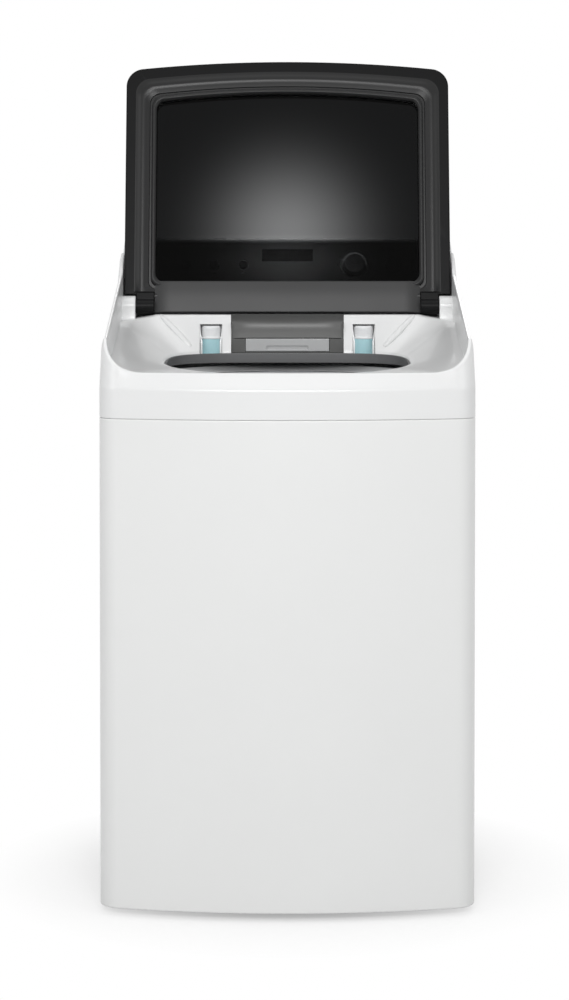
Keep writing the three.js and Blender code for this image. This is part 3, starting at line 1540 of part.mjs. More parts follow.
function pulsator() {
  const radii = dishShares.map((share) => pulsatorRadius * share);
  const under = radii.map((radius) => plan(radius, pulsatorTop(radius) - pulsatorThickness));
  const over = radii.map((radius) => plan(radius, pulsatorTop(radius))).reverse();
  const plate = turned([plan(0, pulsatorZ), ...under, ...over, plan(0, pulsatorZ + pulsatorThickness)],
    { y: drumY, segments: drumSegments * midShare });
  const hubTopZ = pulsatorZ + pulsatorHubHeight;
  const hub = turned([
    plan(0, pulsatorZ + pulsatorThickness * midShare),
    plan(pulsatorHubRadius, pulsatorZ + pulsatorThickness * midShare),
    plan(pulsatorHubRadius, hubTopZ - pulsatorHubRadius * midShare),
    plan(pulsatorHubRadius * gripShare, hubTopZ - pulsatorHubRadius * quarterShare),
    plan(pulsatorHubRadius * midShare, hubTopZ),
    plan(0, hubTopZ),
  ], { y: drumY });
  const vanes = Array.from({ length: vaneCount }, (_, i) => pulsatorVane(fullTurn * i / vaneCount));
  return joined(plate, hub, ...vanes);
}

// A vane's rings run outwards along a swept line, each a low arch across it
function pulsatorVane(angle) {
  const reach = pulsatorRadius - pulsatorHubRadius * midShare;
  const rings = vaneShares.map((share) => {
    const radius = pulsatorHubRadius * midShare + reach * share * gripShare;
    const sweep = angle + vaneSweepShare * share * share;
    const along = new THREE.Vector3(Math.cos(sweep), Math.sin(sweep), 0);
    const across = new THREE.Vector3(-along.y, along.x, 0);
    const half = vaneWidth * (1 - share * midShare);
    const height = vaneHeight * Math.cos(share * quarterTurn) + pulsatorThickness;
    const baseZ = pulsatorTop(radius) - pulsatorThickness * midShare;
    return archShares.map(([side, up]) => new THREE.Vector3(
      along.x * radius + across.x * half * side,
      drumY + along.y * radius + across.y * half * side,
      baseZ + height * up));
  });
  return tubeOfRings(rings);
}

// As a loft, for rings that stand upright
function tubeOfRings(rings) {
  const count = rings[0].length;
  const positions = rings.flat().flatMap((corner) => corner.toArray());
  const triangles = stitchRings(rings.length - 1, count);
  const last = (rings.length - 1) * count;
  for (let i = 1; i < count - 1; i += 1) triangles.push(0, i + 1, i, last, last + i, last + i + 1);
  return meshSolid(positions, triangles);
}

function driveShaft() {
  const bottomZ = pulleyZ - beltWidth * midShare - pulleyFlange - running;
  const headZ = pulsatorZ - touch;
  return turned([
    plan(0, bottomZ - driveShaftNut),
    plan(driveShaftRadius + driveShaftNut * midShare, bottomZ - driveShaftNut),
    plan(driveShaftRadius + driveShaftNut * midShare, bottomZ - touch),
    plan(driveShaftRadius, bottomZ - touch),
    plan(driveShaftRadius, headZ),
    plan(0, headZ),
  ], { y: drumY });
}

// Suspension
function suspensionRod({ x, y }) {
  const cupTopZ = lugZ - touch - springLength - touch;
  const ballZ = gussetZ + gussetThickness + touch;
  return turned([
    plan(0, cupTopZ - rodCupThickness),
    plan(rodCupRadius, cupTopZ - rodCupThickness),
    plan(rodCupRadius, cupTopZ),
    plan(rodRadius, cupTopZ),
    plan(rodRadius, ballZ),
    plan(rodBallRadius, ballZ),
    plan(rodBallRadius, ballZ + rodBallRadius * midShare),
    plan(rodBallRadius * midShare, ballZ + rodBallRadius),
    plan(0, ballZ + rodBallRadius),
  ], { x, y, segments: smallSegments });
}

// One unbroken wire: flat first and last turns, even curls between
function suspensionSpring({ x, y }) {
  const bottomZ = lugZ - touch - springLength;
  const stepsPerTurn = 8;
  const wireSides = 5;
  const steps = springTurns * stepsPerTurn;
  const rings = Array.from({ length: steps + 1 }, (_, i) => {
    const angle = fullTurn * i / stepsPerTurn;
    const centreZ = bottomZ + springWireRadius + (springLength - 2 * springWireRadius) * i / steps;
    return arcPoints(springCoilRadius, centreZ, springWireRadius, 0, fullTurn, wireSides).slice(0, wireSides)
      .map(({ x: radius, y: z }) => new THREE.Vector3(
        x + radius * Math.cos(angle), y + radius * Math.sin(angle), z));
  });
  return tubeOfRings(rings);
}

const springGap = (springLength - 2 * springWireRadius) / springTurns - 2 * springWireRadius;
console.log(`Least gap between the turns of a suspension spring: ${springGap.toFixed(2)} mm`);

// Materials
const finish = (color, roughness, metalness = 0, opacity = 1) => new THREE.MeshStandardMaterial({
  color, roughness, metalness, opacity, transparent: opacity < 1,
});
const paintedSheet = finish(0xe9ebec, 0.32);
const coverPlastic = finish(0xe6e8ea, 0.34);
const housingPlastic = finish(0xc9cccf, 0.42);
const fasciaPlastic = finish(0x3a3c40, 0.3);
const darkGloss = finish(0x17181a, 0.12);
const lidPlastic = finish(0x3b3b3d, 0.38);
const bezelPlastic = finish(0x55565a, 0.3);
const tintedGlass = finish(0x2b2d30, 0.06, 0, 0.42);
const cupPlastic = finish(0xb9d3d8, 0.3);
const whitePlastic = finish(0xeceeed, 0.4);
const tubPlastic = finish(0xbfc2c4, 0.5);
const stainless = finish(0xb8babc, 0.3, 1);
const steel = finish(0x8d9094, 0.38, 1);
const castAlloy = finish(0x9b9da0, 0.5, 0.9);
const motorPaint = finish(0x4a4c50, 0.5, 0.4);
const blackPlastic = finish(0x232426, 0.55);
const beltRubber = finish(0x18191a, 0.8);
const footRubber = finish(0x2a2b2c, 0.85);
const bellowsRubber = finish(0x303133, 0.7);
const knobChrome = finish(0xc4c6c8, 0.2, 0.9);

const washingMachine = new THREE.Group();
const lid = new THREE.Group();
const fascia = new THREE.Group();
washingMachine.add(lid, fascia);
lid.position.set(0, pivotY, pivotZ);
lid.rotation.x = quarterTurn - lidLean;
fascia.position.set(0, fasciaBottomY, fasciaBottomZ);
fascia.rotation.x = fasciaTilt;

function place(group, name, solid, material) {
  const piece = new THREE.Mesh(geometryOf(solid), material);
  piece.name = name;
  group.add(piece);
}

place(washingMachine, 'cabinet_wrap', cabinetWrap(), paintedSheet);
place(washingMachine, 'rear_panel', rearPanel(), paintedSheet);
place(washingMachine, 'base_frame', baseFrame(), blackPlastic);
place(washingMachine, 'top_cover', topCover(), coverPlastic);
place(washingMachine, 'console_housing', consoleHousing(), coverPlastic);
place(washingMachine, 'detergent_housing', detergentHousing(), housingPlastic);
place(washingMachine, 'detergent_drawer', detergentDrawer(), whitePlastic);
place(washingMachine, 'inlet_valve', inletValve(), whitePlastic);
place(washingMachine, 'drain_pump', drainPump(), blackPlastic);
place(washingMachine, 'drain_outlet', drainOutlet(), blackPlastic);
place(washingMachine, 'drain_bellows', drainBellows(), bellowsRubber);
place(washingMachine, 'power_grommet', powerGrommet(), blackPlastic);
place(washingMachine, 'pressure_sensor', pressureSensor(), whitePlastic);
place(washingMachine, 'lid_switch', lidSwitch(), blackPlastic);
for (const [side, word] of [[-1, 'left'], [1, 'right']]) {
  place(washingMachine, `dosing_cup_${word}`, dosingCup(side), cupPlastic);
  place(washingMachine, `dosing_cap_${word}`, dosingCap(side), whitePlastic);
  place(washingMachine, `lint_filter_${word}`, lintFilter(side), whitePlastic);
  place(lid, `hinge_pin_${word}`, hingePin(side), steel);
}
for (const spot of rodPlaces) {
  place(washingMachine, `suspension_rod_${spot.name}`, suspensionRod(spot), steel);
  place(washingMachine, `suspension_spring_${spot.name}`, suspensionSpring(spot), steel);
}
for (const spot of footPlaces) place(washingMachine, `foot_${spot.name}`, foot(spot), footRubber);

place(fascia, 'control_fascia', controlFascia(), fasciaPlastic);
place(fascia, 'display_window', displayWindow(), darkGloss);
place(fascia, 'dial', dial(), knobChrome);
for (const spot of buttons) place(fascia, spot.name, button(spot), whitePlastic);

place(lid, 'lid_frame', lidFrame(), lidPlastic);
place(lid, 'lid_inner_frame', lidInnerFrame(), bezelPlastic);
place(lid, 'lid_glass', lidGlass(), tintedGlass);

place(washingMachine, 'outer_tub', outerTub(), tubPlastic);
place(washingMachine, 'tub_cover_ring', tubCoverRing(), housingPlastic);
place(washingMachine, 'tub_carrier', tubCarrier(), steel);
place(washingMachine, 'tub_bearing', tubBearing(), steel);
place(washingMachine, 'gearcase', gearcase(), castAlloy);
place(washingMachine, 'motor', motor(), motorPaint);
place(washingMachine, 'drive_belt', driveBelt(), beltRubber);
place(washingMachine, 'basket', basket(), stainless);
place(washingMachine, 'balance_ring', balanceRing(), housingPlastic);
place(washingMachine, 'spin_shaft', spinShaft(), steel);
place(washingMachine, 'pulsator', pulsator(), whitePlastic);
place(washingMachine, 'drive_shaft', driveShaft(), steel);
place(washingMachine, 'drive_pulley', drivePulley(), castAlloy);
place(washingMachine, 'motor_pulley', motorPulley(), steel);

export default washingMachine;
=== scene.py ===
import math
import random

import bmesh
import bpy
from mathutils import Matrix, Vector
from mathutils.bvhtree import BVHTree


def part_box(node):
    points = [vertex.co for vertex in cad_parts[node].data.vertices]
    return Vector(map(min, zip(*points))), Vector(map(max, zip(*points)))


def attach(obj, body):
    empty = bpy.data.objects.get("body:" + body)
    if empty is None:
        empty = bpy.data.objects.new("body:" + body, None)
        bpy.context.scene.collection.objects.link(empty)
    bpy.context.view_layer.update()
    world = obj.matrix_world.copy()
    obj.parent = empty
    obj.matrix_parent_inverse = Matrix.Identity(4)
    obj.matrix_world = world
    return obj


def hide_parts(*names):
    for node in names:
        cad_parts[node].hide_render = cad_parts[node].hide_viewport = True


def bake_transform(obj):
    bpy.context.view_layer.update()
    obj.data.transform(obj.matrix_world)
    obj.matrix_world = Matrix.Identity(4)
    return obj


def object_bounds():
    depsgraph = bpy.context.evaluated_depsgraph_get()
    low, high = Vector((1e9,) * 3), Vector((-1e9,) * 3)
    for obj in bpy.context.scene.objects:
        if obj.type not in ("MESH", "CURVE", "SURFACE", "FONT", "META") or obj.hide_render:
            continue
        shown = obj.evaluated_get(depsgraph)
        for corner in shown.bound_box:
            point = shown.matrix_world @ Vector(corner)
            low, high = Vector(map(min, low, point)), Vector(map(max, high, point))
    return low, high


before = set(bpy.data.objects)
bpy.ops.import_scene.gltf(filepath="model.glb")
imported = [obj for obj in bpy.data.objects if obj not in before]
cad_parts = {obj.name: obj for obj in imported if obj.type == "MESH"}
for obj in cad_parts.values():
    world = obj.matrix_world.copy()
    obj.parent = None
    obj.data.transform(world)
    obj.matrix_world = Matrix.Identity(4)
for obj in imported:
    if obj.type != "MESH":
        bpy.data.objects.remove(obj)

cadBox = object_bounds()
random.seed(7)
scene = bpy.context.scene
corners = ("front_left", "front_right", "rear_left", "rear_right")
quarter = math.pi / 2

# Camera and room
view = {
    "photoSize": (569, 1000),
    "focalPixels": 2568,
    "distance": 4.02,           # to the front of the machine
    "eyeHeight": 1.1607,
    "tiltDegrees": 1.9,
    "shiftX": -0.0029,
    "shiftY": -0.228,
    "sensor": 36,
}


def makeCamera():
    data = bpy.data.cameras.new("photoCamera")
    data.sensor_width = view["sensor"]
    data.lens = view["sensor"] * view["focalPixels"] / view["photoSize"][1]
    data.shift_x = view["shiftX"]
    data.shift_y = view["shiftY"]
    data.clip_end = 60
    camera = bpy.data.objects.new("photoCamera", data)
    camera.location = (0, cadBox[0][1] - view["distance"], view["eyeHeight"])
    camera.rotation_euler = (quarter - math.radians(view["tiltDegrees"]), 0, 0)
    scene.collection.objects.link(camera)
    scene.camera = camera


makeCamera()
print("camera placed")

room = {
    "floorSize": 14,
    "floorColour": (0.55, 0.55, 0.55, 1),      # what lights the machine from below
    "floorSeen": (0.97, 0.97, 0.97, 1),
    "floorFade": (0.12, 0.52),
    "worldStrength": 0.46,
    "softboxes": (
        # name, place, size, power, aims at
        ("overhead", (0.0, -0.2, 3.4), (2.4, 2.0), 12.5, (0, 0, 0.9)),
        ("front", (-0.1, -3.7, 2.0), (1.9, 0.8), 61, (0, 0, 0.85)),
        ("frontLeft", (-3.0, -2.4, 2.1), (1.6, 2.0), 16, (0, 0, 0.7)),
        ("frontRight", (3.1, -2.2, 1.9), (1.6, 2.0), 13, (0, 0, 0.7)),
        ("rear", (0.6, 3.4, 2.6), (2.4, 1.6), 40, (0, 0, 0.8)),
    ),
}


def whenSeen(nodes, links):
    # 1 for rays that show the background: from the camera, a mirror or through glass
    path = nodes.new("ShaderNodeLightPath")
    first = nodes.new("ShaderNodeMath")
    first.operation = "MAXIMUM"
    second = nodes.new("ShaderNodeMath")
    second.operation = "MAXIMUM"
    links.new(path.outputs["Is Camera Ray"], first.inputs[0])
    links.new(path.outputs["Is Glossy Ray"], first.inputs[1])
    links.new(first.outputs[0], second.inputs[0])
    links.new(path.outputs["Is Transmission Ray"], second.inputs[1])
    return second.outputs[0]


def makeWorld():
    world = bpy.data.worlds.new("studio")
    world.use_nodes = True
    nodes, links = world.node_tree.nodes, world.node_tree.links
    nodes.clear()
    seen = whenSeen(nodes, links)
    soft = nodes.new("ShaderNodeBackground")
    soft.inputs["Strength"].default_value = room["worldStrength"]
    white = nodes.new("ShaderNodeBackground")
    white.inputs["Strength"].default_value = 1
    mix = nodes.new("ShaderNodeMixShader")
    output = nodes.new("ShaderNodeOutputWorld")
    for shader in (soft, white):
        shader.inputs["Color"].default_value = (1, 1, 1, 1)
    links.new(seen, mix.inputs[0])
    links.new(soft.outputs[0], mix.inputs[1])
    links.new(white.outputs[0], mix.inputs[2])
    links.new(mix.outputs[0], output.inputs["Surface"])
    scene.world = world


def makeFloor():
    half = room["floorSize"] / 2
    mesh = bpy.data.meshes.new("studioFloor")
    mesh.from_pydata([(-half, -half, 0), (half, -half, 0), (half, half, 0), (-half, half, 0)], [], [(0, 1, 2, 3)])
    floor = bpy.data.objects.new("studioFloor", mesh)
    scene.collection.objects.link(floor)
    material = bpy.data.materials.new("paleFloor")
    material.use_nodes = True
    nodes, links = material.node_tree.nodes, material.node_tree.links
    shader = nodes["Principled BSDF"]
    path = nodes.new("ShaderNodeLightPath")
    tone = nodes.new("ShaderNodeMix")
    tone.data_type = "RGBA"
    tone.inputs[6].default_value = room["floorColour"]
    tone.inputs[7].default_value = room["floorSeen"]
    links.new(path.outputs["Is Camera Ray"], tone.inputs[0])
    links.new(tone.outputs[2], shader.inputs["Base Color"])
    shader.inputs["Roughness"].default_value = 0.9
    # seen directly it is white, and only the shade round the machine is kept
    glow = nodes.new("ShaderNodeEmission")
    glow.inputs["Color"].default_value = (1, 1, 1, 1)
    mix = nodes.new("ShaderNodeMixShader")
    share = nodes.new("ShaderNodeMath")
    share.operation = "MULTIPLY"
    distance = nodes.new("ShaderNodeVectorMath")
    distance.operation = "LENGTH"
    place = nodes.new("ShaderNodeNewGeometry")
    fade = nodes.new("ShaderNodeMapRange")
    fade.inputs["From Min"].default_value, fade.inputs["From Max"].default_value = room["floorFade"]
    links.new(place.outputs["Position"], distance.inputs[0])
    links.new(distance.outputs["Value"], fade.inputs["Value"])
    links.new(fade.outputs["Result"], share.inputs[0])
    links.new(whenSeen(nodes, links), share.inputs[1])
    links.new(share.outputs[0], mix.inputs[0])
    links.new(shader.outputs[0], mix.inputs[1])
    links.new(glow.outputs[0], mix.inputs[2])
    links.new(mix.outputs[0], nodes["Material Output"].inputs["Surface"])
    mesh.materials.append(material)


def makeSoftboxes():
    for name, place, size, power, target in room["softboxes"]:
        data = bpy.data.lights.new(name, "AREA")
        data.shape = "RECTANGLE"
        data.size, data.size_y = size
        data.energy = power
        lamp = bpy.data.objects.new(name, data)
        lamp.location = place
        lamp.rotation_euler = (Vector(target) - Vector(place)).to_track_quat("-Z", "Y").to_euler()
        lamp.visible_camera = lamp.visible_transmission = False
        scene.collection.objects.link(lamp)


scene.view_settings.view_transform = "Standard"
makeWorld()
makeFloor()
makeSoftboxes()
print("room lit")


# Meshes
def newObject(name, verts, faces):
    mesh = bpy.data.meshes.new(name)
    mesh.from_pydata([tuple(v) for v in verts], [], faces)
    mesh.validate()
    mesh.update()
    piece = bpy.data.objects.new(name, mesh)
    scene.collection.objects.link(piece)
    return piece


def stitched(name, rings, around=True, looped=False, capped=False, skip=None):
    # rings of as many points each; around closes each ring, looped joins the last ring to the first
    count = len(rings[0])
    verts = [point for ring in rings for point in ring]
    faces = []
    bands = len(rings) if looped else len(rings) - 1
    for band in range(bands):
        low = band * count
        high = (band + 1) % len(rings) * count
        for i in range(count if around else count - 1):
            if skip and skip(band, i):
                continue
            j = (i + 1) % count
            faces.append((low + i, low + j, high + j, high + i))
    if capped:
        last = (len(rings) - 1) * count
        faces.append(tuple(reversed(range(count))))
        faces.append(tuple(range(last, last + count)))
    return newObject(name, verts, faces)


def softLine(points, radii, steps=4):
    # a line through the points, with each inner corner rounded by its radius
    line = [Vector(points[0])]
    for before, corner, after, radius in zip(points, points[1:], points[2:], radii):
        before, corner, after = Vector(before), Vector(corner), Vector(after)
        intoCorner, outOfCorner = corner - before, after - corner
        reach = min(radius, intoCorner.length * 0.48, outOfCorner.length * 0.48)
        start = corner - intoCorner.normalized() * reach
        end = corner + outOfCorner.normalized() * reach
        for i in range(steps + 1):
            share = i / steps
            first = start.lerp(corner, share)
            line.append(first.lerp(corner.lerp(end, share), share))
    line.append(Vector(points[-1]))
    return line


def closedSoftLine(points, radii, steps=4):
    # the same for a line that closes on itself: a radius for every point
    around = [points[-1]] + list(points) + [points[0]]
    return softLine(around, radii, steps)[1:-1]


def arcLine(x, y, radius, start, end, steps):
    return [
        Vector((x + radius * math.cos(start + (end - start) * i / steps),
                y + radius * math.sin(start + (end - start) * i / steps)))
        for i in range(steps + 1)
    ]


def lineBetween(start, end, steps):
    return [start.lerp(end, (i + 1) / steps) for i in range(steps - 1)]


def bowedOutline(halfWidth, frontY, rearY, bow, frontRadius, rearRadius, steps=(48, 12, 14, 28)):
    bowSteps, cornerSteps, sideSteps, rearSteps = steps
    lean = math.atan2(2 * bow, halfWidth - frontRadius)
    bowEnd = halfWidth - frontRadius * (1 - math.sin(lean))
    cornerY = frontY + bow + frontRadius * math.cos(lean)
    shares = [2 * (i + 1) / bowSteps - 1 for i in range(bowSteps - 1)]
    front = [Vector((bowEnd * share, frontY + bow * share * share)) for share in shares]
    frontCorner = arcLine(halfWidth - frontRadius, cornerY, frontRadius, lean - quarter, 0, cornerSteps)
    rearCorner = arcLine(halfWidth - rearRadius, rearY - rearRadius, rearRadius, 0, quarter, cornerSteps)
    side = lineBetween(frontCorner[-1], rearCorner[0], sideSteps)
    right = frontCorner + side + rearCorner
    left = [Vector((-point.x, point.y)) for point in reversed(right)]
    rear = lineBetween(right[-1], left[0], rearSteps)
    return front + right + rear + left


def ringAt(outline, height):
    return [Vector((point.x, point.y, height(point) if callable(height) else height)) for point in outline]


def turnedPiece(name, profile, x=0.0, y=0.0, segments=96):
    # a closed profile of (radius, z) turned about an upright axis
    rings = []
    for i in range(segments):
        angle = 2 * math.pi * i / segments
        rings.append([Vector((x + point[0] * math.cos(angle), y + point[0] * math.sin(angle), point[1]))
                      for point in profile])
    return stitched(name, rings, looped=True)


def turnedSolid(name, profile, x=0.0, y=0.0, segments=64):
    # a profile that starts and ends on the axis
    rings = []
    for radius, z in profile[1:-1]:
        rings.append([Vector((x + radius * math.cos(2 * math.pi * i / segments),
                              y + radius * math.sin(2 * math.pi * i / segments), z)) for i in range(segments)])
    return stitched(name, rings, capped=True)


def addModifier(piece, kind, **values):
    modifier = piece.modifiers.new(kind.lower(), kind)
    for key, value in values.items():
        setattr(modifier, key, value)
    return modifier


def settle(piece):
    # puts what the modifiers make into the mesh
    graph = bpy.context.evaluated_depsgraph_get()
    mesh = bpy.data.meshes.new_from_object(piece.evaluated_get(graph))
    piece.modifiers.clear()
    old = piece.data
    piece.data = mesh
    bpy.data.meshes.remove(old)
    return piece


def outwards(piece):
    shape = bmesh.new()
    shape.from_mesh(piece.data)
    bmesh.ops.remove_doubles(shape, verts=shape.verts, dist=0.000004)
    bmesh.ops.recalc_face_normals(shape, faces=shape.faces)
    shape.to_mesh(piece.data)
    shape.free()


def softened(piece, width=0.0, segments=3, angle=32, thickness=0.0, offset=-1):
    outwards(piece)
    if thickness:
        addModifier(piece, "SOLIDIFY", thickness=thickness, offset=offset, use_even_offset=True)
    if width:
        addModifier(piece, "BEVEL", width=width, segments=segments, limit_method="ANGLE",
                    angle_limit=math.radians(angle), use_clamp_overlap=True)
    settle(piece)
    shaded(piece, angle + 8)
    return piece


def shaded(piece, angle=40):
    for face in piece.data.polygons:
        face.use_smooth = True
    piece.data.set_sharp_from_angle(angle=math.radians(angle))
    addModifier(piece, "WEIGHTED_NORMAL", keep_sharp=True, weight=60)
    settle(piece)


def joinedPieces(name, pieces):
    shape = bmesh.new()
    for piece in pieces:
        piece.data.transform(piece.matrix_world)
        shape.from_mesh(piece.data)
    mesh = bpy.data.meshes.new(name)
    shape.to_mesh(mesh)
    shape.free()
    for piece in pieces:
        bpy.data.objects.remove(piece)
    joined = bpy.data.objects.new(name, mesh)
    scene.collection.objects.link(joined)
    return joined


def dress(piece, material):
    piece.data.materials.clear()
    piece.data.materials.append(material)


def fit(piece, material, body, nodes=()):
    dress(piece, material)
    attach(piece, body)
    if nodes:
        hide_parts(*nodes)
    return piece


# Shader groups that several finishes share
def newGroup(name, inputs, outputs):
    group = bpy.data.node_groups.new(name, "ShaderNodeTree")
    for label, kind, value in inputs:
        socket = group.interface.new_socket(name=label, in_out="INPUT", socket_type=kind)
        socket.default_value = value
    for label, kind in outputs:
        group.interface.new_socket(name=label, in_out="OUTPUT", socket_type=kind)
    return group, group.nodes.new("NodeGroupInput"), group.nodes.new("NodeGroupOutput")


def mathNode(nodes, links, operation, first, second=None, clamp=False):
    node = nodes.new("ShaderNodeMath")
    node.operation = operation
    node.use_clamp = clamp
    for socket, value in ((0, first), (1, second)):
        if value is None:
            continue
        if isinstance(value, (int, float)):
            node.inputs[socket].default_value = value
        else:
            links.new(value, node.inputs[socket])
    return node.outputs[0]


def mixColours(nodes, links, share, first, second):
    mix = nodes.new("ShaderNodeMix")
    mix.data_type = "RGBA"
    for socket, value in ((0, share), (6, first), (7, second)):
        if isinstance(value, (int, float, tuple)):
            mix.inputs[socket].default_value = value
        else:
            links.new(value, mix.inputs[socket])
    return mix.outputs[2]


def makeFineGrain():
    # the slight unevenness of a moulded or painted surface: colour, roughness and height
    group, source, result = newGroup(
        "fineGrain",
        (("Colour", "NodeSocketColor", (0.8, 0.8, 0.8, 1)), ("Scale", "NodeSocketFloat", 900.0),
         ("Cloud", "NodeSocketFloat", 0.02), ("Roughness", "NodeSocketFloat", 0.4),
         ("Rough Spread", "NodeSocketFloat", 0.06)),
        (("Colour", "NodeSocketColor"), ("Roughness", "NodeSocketFloat"), ("Height", "NodeSocketFloat")))
    nodes, links = group.nodes, group.links
    place = nodes.new("ShaderNodeTexCoord")
    grain = nodes.new("ShaderNodeTexNoise")
    grain.inputs["Detail"].default_value = 3
    cloud = nodes.new("ShaderNodeTexNoise")
    cloud.inputs["Scale"].default_value = 5.5
    cloud.inputs["Detail"].default_value = 3
    links.new(place.outputs["Object"], grain.inputs["Vector"])
    links.new(place.outputs["Object"], cloud.inputs["Vector"])
    links.new(source.outputs["Scale"], grain.inputs["Scale"])
    swing = mathNode(nodes, links, "MULTIPLY", mathNode(nodes, links, "SUBTRACT", cloud.outputs["Fac"], 0.5), 2)
    tone = mathNode(nodes, links, "ADD", mathNode(nodes, links, "MULTIPLY", swing, source.outputs["Cloud"]), 1)
    scaled = nodes.new("ShaderNodeVectorMath")
    scaled.operation = "SCALE"
    links.new(source.outputs["Colour"], scaled.inputs[0])
    links.new(tone, scaled.inputs["Scale"])
    links.new(scaled.outputs[0], result.inputs["Colour"])
    spread = mathNode(nodes, links, "MULTIPLY", swing, source.outputs["Rough Spread"])
    links.new(mathNode(nodes, links, "ADD", source.outputs["Roughness"], spread, True), result.inputs["Roughness"])
    links.new(grain.outputs["Fac"], result.inputs["Height"])
    return group


def makeConvexEdgeTone():
    # mixes the edge colour in, in patches, along convex edges; every finish here gives a lighter edge colour
    group, source, result = newGroup(
        "convexEdgeTone",
        (("Colour", "NodeSocketColor", (0.8, 0.8, 0.8, 1)), ("Edge Colour", "NodeSocketColor", (1, 1, 1, 1)),
         ("Amount", "NodeSocketFloat", 0.3)),
        (("Colour", "NodeSocketColor"), ("Mask", "NodeSocketFloat")))
    nodes, links = group.nodes, group.links
    shape = nodes.new("ShaderNodeNewGeometry")
    band = nodes.new("ShaderNodeMapRange")
    band.inputs["From Min"].default_value = 0.52
    band.inputs["From Max"].default_value = 0.62
    place = nodes.new("ShaderNodeTexCoord")
    patch = nodes.new("ShaderNodeTexNoise")
    patch.inputs["Scale"].default_value = 38
    links.new(place.outputs["Object"], patch.inputs["Vector"])
    links.new(shape.outputs["Pointiness"], band.inputs["Value"])
    edgeShare = mathNode(nodes, links, "MULTIPLY", band.outputs[0], patch.outputs["Fac"])
    mask = mathNode(nodes, links, "MULTIPLY", edgeShare, source.outputs["Amount"], True)
    links.new(mixColours(nodes, links, mask, source.outputs["Colour"], source.outputs["Edge Colour"]),
              result.inputs["Colour"])
    links.new(mask, result.inputs["Mask"])
    return group


def makeBrushing():
    # fine lines left by a brush or a lathe, drawn out along one axis
    group, source, result = newGroup(
        "brushing",
        (("Colour", "NodeSocketColor", (0.6, 0.6, 0.6, 1)), ("Stretch", "NodeSocketVector", (4, 4, 900)),
         ("Contrast", "NodeSocketFloat", 0.12), ("Roughness", "NodeSocketFloat", 0.3)),
        (("Colour", "NodeSocketColor"), ("Roughness", "NodeSocketFloat"), ("Height", "NodeSocketFloat")))
    nodes, links = group.nodes, group.links
    place = nodes.new("ShaderNodeTexCoord")
    drawn = nodes.new("ShaderNodeVectorMath")
    drawn.operation = "MULTIPLY"
    links.new(place.outputs["Object"], drawn.inputs[0])
    links.new(source.outputs["Stretch"], drawn.inputs[1])
    lines = nodes.new("ShaderNodeTexNoise")
    lines.inputs["Scale"].default_value = 1
    lines.inputs["Detail"].default_value = 5
    links.new(drawn.outputs[0], lines.inputs["Vector"])
    swing = mathNode(nodes, links, "SUBTRACT", lines.outputs["Fac"], 0.5)
    share = mathNode(nodes, links, "MULTIPLY", swing, source.outputs["Contrast"])
    tone = mathNode(nodes, links, "ADD", mathNode(nodes, links, "MULTIPLY", share, 2), 1)
    scaled = nodes.new("ShaderNodeVectorMath")
    scaled.operation = "SCALE"
    links.new(source.outputs["Colour"], scaled.inputs[0])
    links.new(tone, scaled.inputs["Scale"])
    links.new(scaled.outputs[0], result.inputs["Colour"])
    links.new(mathNode(nodes, links, "ADD", source.outputs["Roughness"], share, True), result.inputs["Roughness"])
    links.new(lines.outputs["Fac"], result.inputs["Height"])
    return group


fineGrain = makeFineGrain()
convexEdgeTone = makeConvexEdgeTone()
brushing = makeBrushing()


def place(nodes, group, **values):
    node = nodes.new("ShaderNodeGroup")
    node.node_tree = group
    for label, value in values.items():
        node.inputs[label.replace("_", " ")].default_value = value
    return node


def raised(nodes, links, shader, height, strength, distance):
    bump = nodes.new("ShaderNodeBump")
    bump.inputs["Strength"].default_value = strength
    bump.inputs["Distance"].default_value = distance
    links.new(height, bump.inputs["Height"])
    links.new(bump.outputs[0], shader.inputs["Normal"])


def finish(name, settings):
    # moulded plastic, paint, rubber or cast metal, from the shared groups
    material = bpy.data.materials.new(name)
    material.use_nodes = True
    nodes, links = material.node_tree.nodes, material.node_tree.links
    shader = nodes["Principled BSDF"]
    base = settings["colour"] + (1,)
    grain = place(nodes, fineGrain, Colour=base, Scale=settings.get("grain", 900.0),
                  Cloud=settings.get("cloud", 0.015), Roughness=settings["roughness"],
                  Rough_Spread=settings.get("spread", 0.05))
    colour, rough, height = grain.outputs["Colour"], grain.outputs["Roughness"], grain.outputs["Height"]
    if "stretch" in settings:
        lines = place(nodes, brushing, Colour=base, Stretch=settings["stretch"],
                      Contrast=settings.get("contrast", 0.12), Roughness=settings["roughness"])
        colour, rough, height = lines.outputs["Colour"], lines.outputs["Roughness"], lines.outputs["Height"]
    # edge colour: mixed in patches along convex edges, lighter than the base colour
    edge = settings.get("edge", tuple(min(1, part * 1.25 + 0.02) for part in settings["colour"]))
    edgeTone = place(nodes, convexEdgeTone, Edge_Colour=edge + (1,), Amount=settings.get("edgeTone", 0.25))
    links.new(colour, edgeTone.inputs["Colour"])
    links.new(edgeTone.outputs["Colour"], shader.inputs["Base Color"])
    links.new(rough, shader.inputs["Roughness"])
    shader.inputs["Metallic"].default_value = settings.get("metallic", 0.0)
    shader.inputs["Coat Weight"].default_value = settings.get("coat", 0.0)
    shader.inputs["Coat Roughness"].default_value = settings.get("coatRoughness", 0.08)
    shader.inputs["Specular IOR Level"].default_value = settings.get("specular", 0.5)
    raised(nodes, links, shader, height, settings.get("bump", 0.06), settings.get("depth", 0.0003))
    return material


